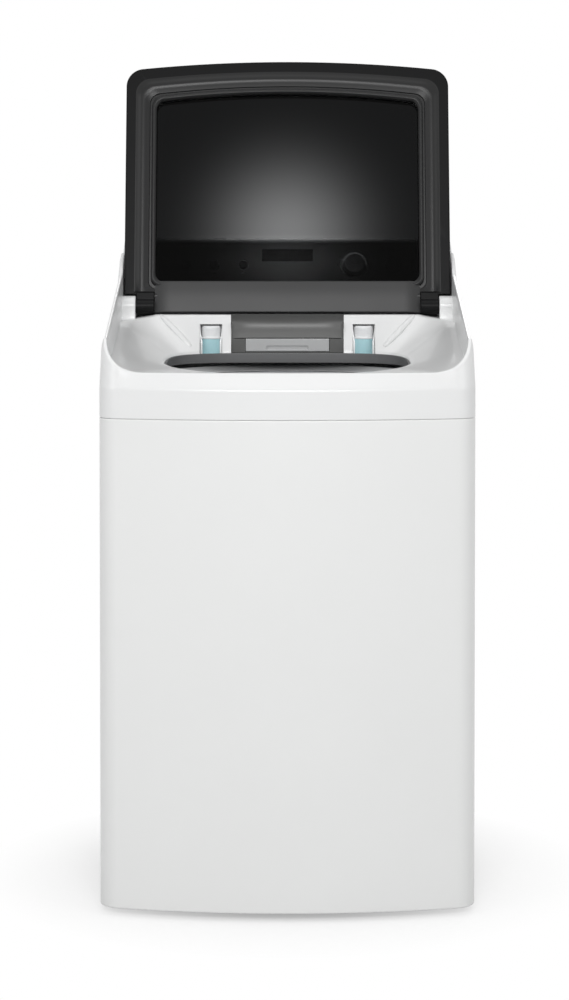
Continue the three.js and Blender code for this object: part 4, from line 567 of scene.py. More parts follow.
finishes = {
    "whitePaint": {"colour": (0.795, 0.80, 0.795), "roughness": 0.34, "coat": 0.35, "grain": 420.0, "bump": 0.035},
    "coverPlastic": {"colour": (0.79, 0.795, 0.795), "roughness": 0.30, "coat": 0.2, "grain": 700.0, "bump": 0.03},
    "housingPlastic": {"colour": (0.62, 0.63, 0.64), "roughness": 0.42, "grain": 1400.0, "bump": 0.1},
    "whitePlastic": {"colour": (0.84, 0.85, 0.85), "roughness": 0.36, "grain": 1000.0, "bump": 0.05},
    "fasciaPlastic": {"colour": (0.42, 0.425, 0.43), "roughness": 0.28, "coat": 0.3, "grain": 1500.0, "bump": 0.05},
    "displayGloss": {"colour": (0.008, 0.009, 0.011), "roughness": 0.07, "coat": 0.8, "bump": 0.01, "edgeTone": 0.02},
    "controlMetal": {"colour": (0.62, 0.63, 0.64), "roughness": 0.26, "metallic": 1.0,
                     "stretch": (30, 900, 30), "bump": 0.05},
    "buttonPlastic": {"colour": (0.16, 0.165, 0.17), "roughness": 0.3, "grain": 1600.0},
    "lidPlastic": {"colour": (0.006, 0.0061, 0.0064), "roughness": 0.38, "specular": 0.085, "grain": 1500.0,
                   "bump": 0.05, "edge": (0.05, 0.05, 0.052)},
    # painted light: the inner frame is a lighter, glossier copy of the lid's plastic, for the tone its slope catches
    "bezelPlastic": {"colour": (0.0125, 0.0126, 0.0129), "roughness": 0.3, "specular": 0.26, "grain": 1500.0,
                     "bump": 0.04, "edge": (0.07, 0.07, 0.072)},
    "tubPlastic": {"colour": (0.50, 0.515, 0.525), "roughness": 0.5, "grain": 600.0, "bump": 0.12, "cloud": 0.03},
    "stainless": {"colour": (0.57, 0.575, 0.58), "roughness": 0.27, "metallic": 1.0, "stretch": (5, 5, 700),
                  "contrast": 0.1, "bump": 0.03},
    "zincSteel": {"colour": (0.42, 0.43, 0.44), "roughness": 0.38, "metallic": 1.0, "grain": 220.0, "cloud": 0.09,
                  "spread": 0.12},
    "castAlloy": {"colour": (0.46, 0.465, 0.47), "roughness": 0.52, "metallic": 0.9, "grain": 380.0, "bump": 0.35,
                  "cloud": 0.06},
    "motorPaint": {"colour": (0.06, 0.063, 0.07), "roughness": 0.45, "coat": 0.15, "grain": 260.0, "bump": 0.2},
    "blackPlastic": {"colour": (0.018, 0.018, 0.02), "roughness": 0.52, "grain": 1100.0, "bump": 0.18},
    "blackRubber": {"colour": (0.014, 0.014, 0.015), "roughness": 0.78, "grain": 750.0, "bump": 0.25,
                    "edge": (0.05, 0.05, 0.05)},
    "drawerPlastic": {"colour": (0.44, 0.446, 0.45), "roughness": 0.36, "grain": 1000.0, "bump": 0.05},
    # painted shade: the drawer's housing, white plastic, is made near black for the shade in the recess
    "recessPaintedShade": {"colour": (0.075, 0.076, 0.074), "roughness": 0.42, "grain": 1000.0, "bump": 0.06},
    # painted reflection: the low band is a lighter copy of the lid's plastic, for the white deck it reflects
    "lidBandPaintedReflection": {"colour": (0.031, 0.0312, 0.0317), "roughness": 0.36, "specular": 0.24, "grain": 900.0, "bump": 0.04},
    "recessPanelPlastic": {"colour": (0.115, 0.116, 0.114), "roughness": 0.38, "grain": 1000.0, "bump": 0.05},
    "coverRingPlastic": {"colour": (0.47, 0.475, 0.48), "roughness": 0.4, "grain": 800.0, "bump": 0.05},
    "balancePlastic": {"colour": (0.55, 0.56, 0.575), "roughness": 0.36, "grain": 900.0, "bump": 0.05},
    # painted shade: the dark lining of the mouth stands in for the shade inside the collar
    "mouthPaintedShade": {"colour": (0.11, 0.112, 0.115), "roughness": 0.45, "grain": 1100.0, "bump": 0.08},
    "pulsatorPlastic": {"colour": (0.60, 0.61, 0.625), "roughness": 0.33, "coat": 0.15, "grain": 900.0, "bump": 0.05},
    "capWhite": {"colour": (0.84, 0.85, 0.86), "roughness": 0.32, "coat": 0.2, "grain": 900.0, "bump": 0.04},
    "copperWire": {"colour": (0.62, 0.25, 0.09), "roughness": 0.35, "metallic": 1.0, "grain": 900.0},
    "signalRed": {"colour": (0.45, 0.02, 0.02), "roughness": 0.4, "grain": 900.0},
    "signalBlue": {"colour": (0.02, 0.08, 0.42), "roughness": 0.4, "grain": 900.0},
}
dressed = {name: finish(name, settings) for name, settings in finishes.items()}

glass = {
    "clear": (0.19, 0.192, 0.194),      # painted glow: the tint is lightest here, low in the middle
    "paintedGlowLowTint": (0.36, 0.362, 0.364),   # and the painted glow is lighter still below this, in front of the controls
    "paintedGlowLowFrom": 1.078,
    "paintedGlowLowTo": 1.03,
    "dark": (0.006, 0.0062, 0.0064),
    "centreZ": 1.077,
    "paintedGlowRadius": 0.108,
    "roughness": 0.03,
    "specular": 0.16,
    "ior": 1.14,
}
cupTint = {"colour": (0.55, 0.86, 0.92), "roughness": 0.16, "ior": 1.4, "transmission": 0.2}


def makeGlass():
    # painted glow: the tint is lightest low in the middle and dark round it, a glow of reflected light painted into the
    # glass's own dark tint
    material = bpy.data.materials.new("tintedGlass")
    material.use_nodes = True
    nodes, links = material.node_tree.nodes, material.node_tree.links
    shader = nodes["Principled BSDF"]
    where = nodes.new("ShaderNodeTexCoord")
    parts = nodes.new("ShaderNodeSeparateXYZ")
    links.new(where.outputs["Object"], parts.inputs[0])
    across = mathNode(nodes, links, "DIVIDE", parts.outputs["X"], glass["paintedGlowRadius"])
    up = mathNode(nodes, links, "DIVIDE",
                  mathNode(nodes, links, "SUBTRACT", parts.outputs["Z"], glass["centreZ"]), glass["paintedGlowRadius"])
    far = mathNode(nodes, links, "ADD", mathNode(nodes, links, "MULTIPLY", across, across),
                   mathNode(nodes, links, "MULTIPLY", up, up))
    # painted glow: a lighter spot that fades out from its centre, mixed over the glass's dark tint
    glow = mathNode(nodes, links, "EXPONENT", mathNode(nodes, links, "MULTIPLY", far, -1))
    low = nodes.new("ShaderNodeMapRange")
    low.inputs["From Min"].default_value = glass["paintedGlowLowFrom"]
    low.inputs["From Max"].default_value = glass["paintedGlowLowTo"]
    links.new(parts.outputs["Z"], low.inputs["Value"])
    clear = mixColours(nodes, links, low.outputs["Result"], glass["clear"] + (1,), glass["paintedGlowLowTint"] + (1,))
    tintAndPaintedGlow = mixColours(nodes, links, glow, glass["dark"] + (1,), clear)
    smear = nodes.new("ShaderNodeTexNoise")
    smear.inputs["Scale"].default_value = 9
    links.new(where.outputs["Object"], smear.inputs["Vector"])
    rough = mathNode(nodes, links, "MULTIPLY", smear.outputs["Fac"], glass["roughness"] * 2)
    links.new(tintAndPaintedGlow, shader.inputs["Base Color"])
    links.new(rough, shader.inputs["Roughness"])
    shader.inputs["IOR"].default_value = glass["ior"]
    shader.inputs["Specular IOR Level"].default_value = glass["specular"]
    shader.inputs["Transmission Weight"].default_value = 1
    return material


def makeCupPlastic():
    material = bpy.data.materials.new("cupPlastic")
    material.use_nodes = True
    nodes, links = material.node_tree.nodes, material.node_tree.links
    shader = nodes["Principled BSDF"]
    grain = place(nodes, fineGrain, Colour=cupTint["colour"] + (1,), Scale=500.0, Cloud=0.04,
                  Roughness=cupTint["roughness"], Rough_Spread=0.05)
    links.new(grain.outputs["Colour"], shader.inputs["Base Color"])
    links.new(grain.outputs["Roughness"], shader.inputs["Roughness"])
    shader.inputs["IOR"].default_value = cupTint["ior"]
    shader.inputs["Transmission Weight"].default_value = cupTint["transmission"]
    return material


dressed["tintedGlass"] = makeGlass()
dressed["cupPlastic"] = makeCupPlastic()
print("finishes mixed:", len(dressed))


# Outlines that keep the same stations from ring to ring
shell = {
    "frontSteps": 64,
    "cornerSteps": 12,
    "rearCornerSteps": 6,
    "rearSteps": 30,
    "firstSideY": -0.222,
    "stepY": 0.2066,         # the rim ends here, just in front of the console
    "pivotY": 0.15,
    "sideCounts": (26, 10, 7, 4),
}


def spread(start, end, count, includeEnd=False):
    return [start + (end - start) * i / count for i in range(count + (1 if includeEnd else 0))]


def sideStations(rearEnd, valleyFront=0.0637):
    long, middle, short, last = shell["sideCounts"]
    step = shell["stepY"]
    return (spread(shell["firstSideY"], valleyFront, long) + spread(valleyFront, shell["pivotY"], middle)
            + spread(shell["pivotY"], step, short, True) + spread(step + 0.0002, rearEnd, last))


def stationRing(halfWidth, frontY, bow, frontRadius, rearY, rearRadius):
    # from the middle of the front to the middle of the rear, up the right side: (x, y)
    lean = math.atan2(2 * bow, halfWidth - frontRadius)
    bowEnd = halfWidth - frontRadius * (1 - math.sin(lean))
    half = shell["frontSteps"] // 2
    points = [(bowEnd * i / half, frontY + bow * (i / half) ** 2) for i in range(half)]
    cornerY = frontY + bow + frontRadius * math.cos(lean)
    for i in range(shell["cornerSteps"] + 1):
        angle = lean - quarter + (quarter - lean) * i / shell["cornerSteps"]
        points.append((halfWidth - frontRadius + frontRadius * math.cos(angle), cornerY + frontRadius * math.sin(angle)))
    points += [(halfWidth, y) for y in sideStations(rearY - rearRadius)]
    for i in range(shell["rearCornerSteps"] + 1):
        angle = quarter * i / shell["rearCornerSteps"]
        points.append((halfWidth - rearRadius * (1 - math.cos(angle)), rearY - rearRadius * (1 - math.sin(angle))))
    rearHalf = shell["rearSteps"] // 2
    corner = halfWidth - rearRadius
    points += [(corner * (1 - (i + 1) / rearHalf), rearY) for i in range(rearHalf)]
    return points


def mirrored(halfRing):
    # halfRing holds (x, y, z) from the front's middle to the rear's middle
    right = [Vector(point) for point in halfRing]
    left = [Vector((-point[0], point[1], point[2])) for point in reversed(halfRing[1:-1])]
    return right + left


def table(value, pairs):
    for (x0, y0), (x1, y1) in zip(pairs, pairs[1:]):
        if value <= x1:
            return y0 + (y1 - y0) * max(0, value - x0) / (x1 - x0)
    return pairs[-1][1]


def profiledShell(name, rings, radii, steps=5):
    # rings of stations: each station's points run across as a line with rounded corners
    lines = [softLine([ring[i] for ring in rings], radii, steps) for i in range(len(rings[0]))]
    across = [[line[k] for line in lines] for k in range(len(lines[0]))]
    return stitched(name, across)


def faceOutwards(piece, probe, normal):
    # turns all faces over if the one nearest to the probe looks the wrong way
    nearest = min(piece.data.polygons, key=lambda face: (face.center - Vector(probe)).length)
    if nearest.normal.dot(Vector(normal)) < 0:
        piece.data.flip_normals()


def cutBy(piece, *cutters, operation="DIFFERENCE"):
    for cutter in cutters:
        addModifier(piece, "BOOLEAN", object=cutter, operation=operation, solver="EXACT")
        settle(piece)
        bpy.data.objects.remove(cutter)
    return piece


def blockOf(name, low, high, bevel=0.0, segments=3):
    x0, y0, z0 = low
    x1, y1, z1 = high
    corners = [(x0, y0), (x1, y0), (x1, y1), (x0, y1)]
    piece = stitched(name, [[Vector((x, y, z)) for x, y in corners] for z in (z0, z1)], capped=True)
    if bevel:
        addModifier(piece, "BEVEL", width=bevel, segments=segments, limit_method="ANGLE",
                    angle_limit=math.radians(30))
        settle(piece)
    return piece


def rodAlong(name, axis, centre, radius, start, end, segments=48, chamfer=0.0):
    # a round rod along X, Y or Z, between two places on that axis
    profile = [(0, start), (radius - chamfer, start), (radius, start + chamfer), (radius, end - chamfer),
               (radius - chamfer, end), (0, end)] if chamfer else [(0, start), (radius, start), (radius, end), (0, end)]
    piece = turnedSolid(name, profile, segments=segments)
    if axis == "X":
        piece.data.transform(Matrix(((0, 0, 1), (1, 0, 0), (0, 1, 0))).to_4x4())
        piece.data.transform(Matrix.Translation((0, centre[0], centre[1])))
    elif axis == "Y":
        piece.data.transform(Matrix(((0, 1, 0), (0, 0, 1), (1, 0, 0))).to_4x4())
        piece.data.transform(Matrix.Translation((centre[0], 0, centre[1])))
    else:
        piece.data.transform(Matrix.Translation((centre[0], centre[1], 0)))
    return piece


# Cabinet: a bowed sheet, folded in at the foot and at the seam
cabinet = {
    "halfWidth": 0.3,
    "frontY": -0.32,
    "rearY": 0.3,
    "bow": 0.032,
    "frontRadius": 0.038,
    "rearRadius": 0.014,
    "bottomZ": 0.012,
    "topZ": 0.7937,
    "sheet": 0.0015,
    "flange": 0.014,
    "rearMargin": 0.032,
    "windowBottomZ": 0.0728,
    "gussetZ": 0.738,
    "gussetThickness": 0.003,
    "rodPlaces": ((-0.208, -0.25), (0.208, -0.25), (-0.208, 0.158), (0.208, 0.158)),
}


def cabinetRing(inset, z):
    half = stationRing(cabinet["halfWidth"] - inset, cabinet["frontY"] + inset, cabinet["bow"],
                       cabinet["frontRadius"] - inset, cabinet["rearY"] - inset,
                       max(cabinet["rearRadius"] - inset, 0.0004))
    return mirrored([(x, y, z) for x, y in half])


def makeGusset(x, y):
    side = math.copysign(1, x)
    atFront = y < 0
    cornerX = side * (cabinet["halfWidth"] - 0.0016)
    cornerY = cabinet["frontY"] + cabinet["bow"] + 0.004 if atFront else cabinet["rearY"] - 0.0038
    inward = 1 if atFront else -1
    reach = 0.158 if atFront else 0.2
    turnIn = 0.036
    outline = [
        Vector((cornerX - side * turnIn, cornerY)), Vector((cornerX - side * reach, cornerY)),
        Vector((cornerX, cornerY + inward * reach)), Vector((cornerX, cornerY + inward * turnIn)),
    ]
    low, high = cabinet["gussetZ"], cabinet["gussetZ"] + cabinet["gussetThickness"]
    plate = stitched("gusset", [[point.to_3d() + Vector((0, 0, z)) for point in outline] for z in (low, high)],
                     capped=True)
    outwards(plate)
    hole = rodAlong("gussetHole", "Z", (x, y), 0.0052, low - 0.02, high + 0.02)
    cutBy(plate, hole)
    start, end = outline[1], outline[2]
    edge = (end - start).normalized()
    across = Vector((-edge.y, edge.x)) * 0.0015
    strip = [start + edge * 0.012, end - edge * 0.012]
    fold = stitched("gussetFold", [
        [(strip[0] + across).to_3d(), (strip[1] + across).to_3d(), (strip[1] - across).to_3d(),
         (strip[0] - across).to_3d()]], capped=False)
    bpy.data.objects.remove(fold)
    ribRings = []
    for z in (low - 0.016, high):
        ribRings.append([(point + offset).to_3d() + Vector((0, 0, z))
                         for point, offset in ((strip[0], across), (strip[1], across), (strip[1], -across),
                                               (strip[0], -across))])
    rib = stitched("gussetRib", ribRings, capped=True)
    outwards(rib)
    return [plate, rib]


def makeCabinet():
    flange, low, high = cabinet["flange"], cabinet["bottomZ"], cabinet["topZ"]
    skin = profiledShell("cabinetSkin", [
        cabinetRing(flange, low), cabinetRing(0, low), cabinetRing(0, (low + high) / 2), cabinetRing(0, high),
        cabinetRing(flange, high)], (0.003, 0.05, 0.0022))
    outwards(skin)
    faceOutwards(skin, (0, cabinet["frontY"], 0.4), (0, -1, 0))
    addModifier(skin, "SOLIDIFY", thickness=cabinet["sheet"], offset=-1)
    settle(skin)
    windowHalf = cabinet["halfWidth"] - cabinet["rearMargin"]
    window = blockOf("rearWindow", (-windowHalf, cabinet["rearY"] - 0.0157, cabinet["windowBottomZ"]),
                     (windowHalf, cabinet["rearY"] + 0.02, cabinet["topZ"] - flange))
    cutBy(skin, window)
    shaded(skin, 35)
    gussets = [part for x, y in cabinet["rodPlaces"] for part in makeGusset(x, y)]
    body = joinedPieces("cabinet_skin", [skin] + gussets)
    fit(body, dressed["whitePaint"], "cabinet", ["cabinet_wrap"])
    return body


makeCabinet()
print("cabinet folded")


# Top cover: rim, deck, funnel and collar, moulded in one skin
cover = {
    "seamZ": 0.794,
    "creaseZ": 0.842,
    "lipZ": 0.867,
    "seamLip": 0.006,
    "skin": 0.0022,
    "rimHalfWidth": 0.297,
    "bayHalfWidth": 0.2885,
    "bayRearY": 0.2119,
    "valleyZ": 0.928,
    "deckRearY": 0.14,
    "deckRearZ": 0.9385,      # the deck rises to this edge under the open lid
    "shoulderDrop": 0.013,
    "shoulderIn": 0.42,
    "notchHalf": 0.0985,
    "deckRearRadius": 0.062,
    "collarBottomZ": 0.856,
    "rimCornerX": 0.228,
    "rimCornerRise": 0.0525,
    "rimCornerPower": 1.1,
    "rimSlope": 0.092 / 0.394,
    "rimPivotZ": 1.006,
    "rimRearSlope": 0.06 / 0.09,
    "ledgeSlope": math.tan(math.radians(10.5)),
    "ledgeZ": 0.944,
    "valleyFrontY": 0.0637,
    "corners": (0.0015, 0.0035, 0.01, 0.0034, 0.0024, 0.003, 0.007, 0.005),
    "shadeLiningDrop": 0.0015,
    "shadeLiningFootZ": 0.8545,
    "bossRadius": 0.018,
    "bossInnerX": 0.2655,
    "pivotZ": 0.952,
    "pinHole": 0.0053,
}
opening = {
    "drumY": -0.05,
    "halfWidth": 0.205,
    "front": 0.208,
    "rear": 0.175,
    "frontPower": 2,
    "rearPower": 4,
    "frontZ": 0.862,
    "rise": 0.011,
}
drawerWay = {"halfWidth": 0.098, "bottomZ": 0.871, "topZ": 0.924, "frontY": 0.105, "rearY": 0.262, "notchRearY": 0.16}
cupWell = {"x": 0.133, "y": 0.141, "radius": 0.0193, "wall": 0.0022, "floorZ": 0.866, "frontY": 0.129, "topZ": 0.9212}


def openingPoint(x, y):
    angle = math.atan2(y - opening["drumY"], x)
    towardsFront = math.sin(angle) < 0
    reach = opening["front"] if towardsFront else opening["rear"]
    power = opening["frontPower"] if towardsFront else opening["rearPower"]
    radius = (abs(math.cos(angle) / opening["halfWidth"]) ** power + abs(math.sin(angle) / reach) ** power) ** (-1 / power)
    place = Vector((radius * math.cos(angle), opening["drumY"] + radius * math.sin(angle)))
    depth = (place.y - opening["drumY"] + opening["front"]) / (opening["front"] + opening["rear"])
    return place.x, place.y, opening["frontZ"] + opening["rise"] * depth


def rimHeight(x, y, station):
    if station < shell["frontSteps"] // 2 + shell["cornerSteps"] + 1:
        share = min(1, max(0, x - cover["rimCornerX"]) / (cover["rimHalfWidth"] - cover["rimCornerX"]))
        return cover["lipZ"] + cover["rimCornerRise"] * (1 - math.sqrt(1 - share * share)) ** cover["rimCornerPower"]
    if y > shell["stepY"] + 0.0001:
        return cover["valleyZ"]
    if y > shell["pivotY"]:
        return cover["rimPivotZ"] + cover["rimRearSlope"] * (y - shell["pivotY"])
    return cover["rimPivotZ"] - cover["rimSlope"] * (shell["pivotY"] - y)


def ledgeHeight(y):
    return min(cover["valleyZ"], cover["ledgeZ"] - cover["ledgeSlope"] * (shell["pivotY"] - y))


def deckHalfRing(floor):
    # the deck's edge: along the wall to the valley, then round the rear corner and along the rear
    start = shell["frontSteps"] // 2 + shell["cornerSteps"] + 1 + shell["sideCounts"][0]
    halfWidth, rearY, radius = cover["bayHalfWidth"] - 0.001, cover["deckRearY"], cover["deckRearRadius"]
    rearHalf = shell["rearSteps"] // 2
    turning = len(floor) - start - rearHalf
    straight = rearY - radius - cover["valleyFrontY"]
    total = straight + radius * quarter
    points = list(floor[:start])
    for i in range(turning):
        along = total * (i + 1) / turning
        if along < straight:
            points.append((halfWidth, cover["valleyFrontY"] + along, cover["valleyZ"]))
        else:
            angle = (along - straight) / radius
            z = cover["valleyZ"] + (cover["deckRearZ"] - cover["valleyZ"]) * (angle / quarter) ** 2
            points.append((halfWidth - radius + radius * math.cos(angle),
                           rearY - radius + radius * math.sin(angle), z))
    points += [((halfWidth - radius) * (1 - (i + 1) / rearHalf), rearY, cover["deckRearZ"]) for i in range(rearHalf)]
    return points


def roundedShoulder(crease, rimOuter, rimInner):
    # towards the sides the rim's outer edge is rounded over; along the front it stays on the slope
    shoulder, rim = [], []
    for low, outer, inner in zip(crease, rimOuter, rimInner):
        low, outer, inner = Vector(low), Vector(outer), Vector(inner)
        side = min(1, (outer.z - cover["lipZ"]) / 0.04)
        under = outer - Vector((0, 0, cover["shoulderDrop"]))
        shoulder.append(tuple(low.lerp(outer, 0.5).lerp(under, side)))
        rim.append(tuple(outer.lerp(inner, side * cover["shoulderIn"])))
    return shoulder, rim


def coverRings():
    outer = stationRing(0.3, -0.32, 0.032, 0.038, 0.3, 0.014)
    rimOuter = stationRing(cover["rimHalfWidth"], -0.297, 0.0145, 0.038, 0.3, 0.014)
    rimInner = stationRing(cover["bayHalfWidth"], -0.2905, 0.0135, 0.034, cover["bayRearY"], 0.0025)
    floorPlan = stationRing(cover["bayHalfWidth"] - 0.001, -0.2895, 0.0135, 0.033, cover["bayRearY"] - 0.001, 0.002)
    heights = [rimHeight(x, y, i) for i, (x, y) in enumerate(rimOuter)]
    floor = [(x, y, ledgeHeight(y)) for x, y in floorPlan]
    deck = deckHalfRing(floor)
    mouth = [openingPoint(x, y) for x, y, z in deck]
    start = shell["frontSteps"] // 2 + shell["cornerSteps"] + 1 + shell["sideCounts"][0]
    deck = [tuple(Vector(point).lerp(Vector(end), 0.1)) if i < start else point
            for i, (point, end) in enumerate(zip(deck, mouth))]
    collar = [(x, y, cover["collarBottomZ"]) for x, y, z in mouth]
    lip = cover["seamLip"]
    seamIn = stationRing(0.3 - lip, -0.32 + lip, 0.032, 0.038 - lip, 0.3 - lip, 0.014 - lip)
    crease = [(x, y, cover["creaseZ"]) for x, y in outer]
    inner = [(x, y, z) for (x, y), z in zip(rimInner, heights)]
    shoulder, rim = roundedShoulder(crease, [(x, y, z) for (x, y), z in zip(rimOuter, heights)], inner)
    return [mirrored(ring) for ring in (
        [(x, y, cover["seamZ"]) for x, y in seamIn],
        [(x, y, cover["seamZ"]) for x, y in outer],
        crease, shoulder, rim, inner, floor, deck, mouth, collar)]


def makeBoss(side):
    # the hinge boss: a rounded pillar that grows out of the valley floor
    inner, outer = cover["bossInnerX"], cover["bayHalfWidth"] + 0.002
    steps = 24
    outline = [Vector((shell["pivotY"] - cover["bossRadius"] - 0.004, cover["valleyZ"] - 0.002))]
    outline.append(Vector((shell["pivotY"] + cover["bossRadius"] + 0.004, cover["valleyZ"] - 0.002)))
    outline.append(Vector((shell["pivotY"] + cover["bossRadius"], cover["valleyZ"] + 0.005)))
    for i in range(steps + 1):
        angle = math.pi * i / steps
        outline.append(Vector((shell["pivotY"] + cover["bossRadius"] * math.cos(angle),
                               cover["pivotZ"] + cover["bossRadius"] * math.sin(angle))))
    outline.append(Vector((shell["pivotY"] - cover["bossRadius"], cover["valleyZ"] + 0.005)))
    rings = [[Vector((side * x, y, z)) for y, z in outline] for x in (inner, outer)]
    boss = stitched("boss", rings, capped=True)
    softened(boss, 0.0016, 3, 30)
    cutBy(boss, rodAlong("pinBore", "X", (shell["pivotY"], cover["pivotZ"]), cover["pinHole"],
                         *sorted((side * (inner - 0.01), side * 0.2845))))
    return boss


def makeWell(side):
    # the cup's well: a floor and a wall that is open to the front
    r, wall = cupWell["radius"], cupWell["wall"]
    top = cover["valleyZ"]
    well = turnedPiece("well", [
        (0.0001, cupWell["floorZ"] - wall), (r + wall, cupWell["floorZ"] - wall), (r + wall, top - 0.0006),
        (r + 0.0004, top - 0.0002), (r, top - 0.001), (r, cupWell["floorZ"]), (0.0001, cupWell["floorZ"])],
        side * cupWell["x"], cupWell["y"], 64)
    reach = r + wall + 0.01
    outwards(well)
    low, x = cupWell["floorZ"], side * cupWell["x"]
    cutBy(well, blockOf("wellFront", (x - reach, cupWell["y"] - reach, low), (x + reach, cupWell["frontY"], top + 0.01)))
    cheeks = [blockOf("cheek", (x + way * (r + wall / 2) - wall / 2, 0.1, low - wall),
                      (x + way * (r + wall / 2) + wall / 2, cupWell["y"], cupWell["topZ"])) for way in (-1, 1)]
    cheeks.append(blockOf("cheek", (x - r, 0.1, low - wall), (x + r, cupWell["y"], low)))
    # everything stops at the back of the sloping rear wall
    slope = [(0.05, low - 0.01), (wallAt(low - 0.01), low - 0.01), (wallAt(top + 0.02), top + 0.02), (0.05, top + 0.02)]
    for part in [well] + cheeks:
        outwards(part)
        front = stitched("wellSlope", [[Vector((x + way * reach, y, z)) for y, z in slope] for way in (-1, 1)],
                         capped=True)
        outwards(front)
        cutBy(part, front)
        shaded(part, 50)
    return joinedPieces("wellParts", [well] + cheeks)


def wallAt(z):
    # where the funnel's rear wall stands at a height, with half of its thickness
    return max(0.1188, 0.1186 + (z - 0.873) * 0.0233 / 0.0655)


ridgeForm = {"top": (0.2215, 0.937), "foot": (0.166, 0.882), "halfWidth": 0.006, "height": 0.0042}


def makeCreases(skin):
    # the bright ridges where the rear wall meets the sloping sides, laid on the skin
    tree = BVHTree.FromPolygons([v.co for v in skin.data.vertices], [f.vertices[:] for f in skin.data.polygons])
    ridges = []
    for side in (-1, 1):
        (x0, z0), (x1, z1) = ridgeForm["top"], ridgeForm["foot"]
        line = []
        for i in range(29):
            share = i / 28
            x, z = side * (x0 + (x1 - x0) * share), z0 + (z1 - z0) * share
            place, normal, index, distance = tree.ray_cast(Vector((x, -0.1, z)), Vector((0, 1, 0)))
            if place:
                line.append((place, normal if normal.y < 0 else -normal, share))
        rings = []
        for (point, normal, share), (after, skip, rest) in zip(line, line[1:]):
            along = (after - point).normalized()
            across = along.cross(normal).normalized()
            swell = max(0.03, math.sin(math.pi * share)) ** 0.35
            rings.append([point + (across * ridgeForm["halfWidth"] * math.cos(a)
                                   + normal * ridgeForm["height"] * math.sin(a)) * swell
                          for a in (2 * math.pi * k / 24 for k in range(24))])
        ridge = stitched("ridge", rings, capped=True)
        outwards(ridge)
        shaded(ridge, 60)
        ridges.append(ridge)
    fit(joinedPieces("funnel_ridges", ridges), dressed["coverPlastic"], "cabinet")


def makeCover():
    skin = profiledShell("coverSkin", coverRings(), cover["corners"])
    outwards(skin)
    faceOutwards(skin, (0, -0.32, 0.81), (0, -1, 0))
    addModifier(skin, "SOLIDIFY", thickness=cover["skin"], offset=-1)
    settle(skin)
    r = cupWell["radius"] + 0.0004
    cutters = [rodAlong("wellHole", "Z", (side * cupWell["x"], cupWell["y"]), r, cupWell["floorZ"] + 0.0005,
                        cupWell["topZ"], 64) for side in (-1, 1)]
    cutters += [blockOf("wellSlot", (side * cupWell["x"] - r, cupWell["y"] - 0.05, cupWell["floorZ"] + 0.0005),
                        (side * cupWell["x"] + r, cupWell["y"], cupWell["topZ"])) for side in (-1, 1)]
    cutters.append(blockOf("drawerWay", (-drawerWay["halfWidth"], drawerWay["frontY"], drawerWay["bottomZ"]),
                           (drawerWay["halfWidth"], drawerWay["rearY"], drawerWay["topZ"])))
    cutters.append(blockOf("drawerNotch", (-cover["notchHalf"], drawerWay["frontY"], drawerWay["topZ"] - 0.01),
                           (cover["notchHalf"], drawerWay["notchRearY"], cover["deckRearZ"] + 0.02)))
    makeCreases(skin)
    cutBy(skin, *cutters)
    shaded(skin, 38)
    parts = [skin] + [makeBoss(side) for side in (-1, 1)] + [makeWell(side) for side in (-1, 1)]
    body = joinedPieces("top_cover_moulding", parts)
    fit(body, dressed["coverPlastic"], "cabinet", ["top_cover"])


def makeMouthShadeLining():
    # painted shade: a dark lining of the mouth, from just below its edge to the collar's foot, put where the collar
    # lies in shade
    count = 200
    rings = []
    for inset, low, drop in ((0.0004, False, 0), (0.0022, False, 0.0004), (0.0026, False, 0.0014),
                             (0.0026, True, 0.001), (0.002, True, 0), (0.0004, True, 0)):
        ring = []
        for i in range(count):
            angle = 2 * math.pi * i / count
            x, y, z = openingPoint(math.cos(angle), opening["drumY"] + math.sin(angle))
            away = Vector((x, y - opening["drumY"])).normalized() * (cover["skin"] * 0.2 + inset)
            height = cover["shadeLiningFootZ"] + drop if low else z - cover["shadeLiningDrop"] - drop
            ring.append(Vector((x - away.x, y - away.y, height)))
        rings.append(ring)
    mouthShadeLining = stitched("mouth_shade_lining", rings, looped=True)
    softened(mouthShadeLining, 0, angle=40)
    fit(mouthShadeLining, dressed["mouthPaintedShade"], "cabinet")


makeCover()
makeMouthShadeLining()
print("top cover moulded")


# Console behind the lid: housing, fascia, display, dial and buttons
console = {
    "halfWidth": 0.297,
    "frontY": 0.20695,
    "rearY": 0.3,
    "bottomZ": 0.9283,
    "shoulder": (0.24, 1.066),
    "top": (0.27, 1.069),
    "rearZ": 1.06,
    "frontZ": 1.04397,
    "pocketHalf": 0.276,
    "pocketDepth": 0.0033,
    "wall": 0.0025,
    "taper": 0.022,          # the ends draw in above the rim's shoulder
    "taperZ": 1.0,
}
fascia = {
    "origin": (0.21195, 0.985),
    "height": 0.07763,
    "tilt": math.atan2(0.075, 0.02005),
    "thickness": 0.003,
    "halfWidth": 0.2757,
}


def onFascia(x, up, out):
    # a place on the fascia: across, up along it and out from it
    y, z = fascia["origin"]
    c, s = math.cos(fascia["tilt"]), math.sin(fascia["tilt"])
    return Vector((x, y + up * c - out * s, z + up * s + out * c))


def tiltToFascia(piece):
    # from across, up, out to the machine's own axes
    c, s = math.cos(fascia["tilt"]), math.sin(fascia["tilt"])
    y, z = fascia["origin"]
    piece.data.transform(Matrix(((1, 0, 0, 0), (0, c, -s, y), (0, s, c, z), (0, 0, 0, 1))))
    return piece


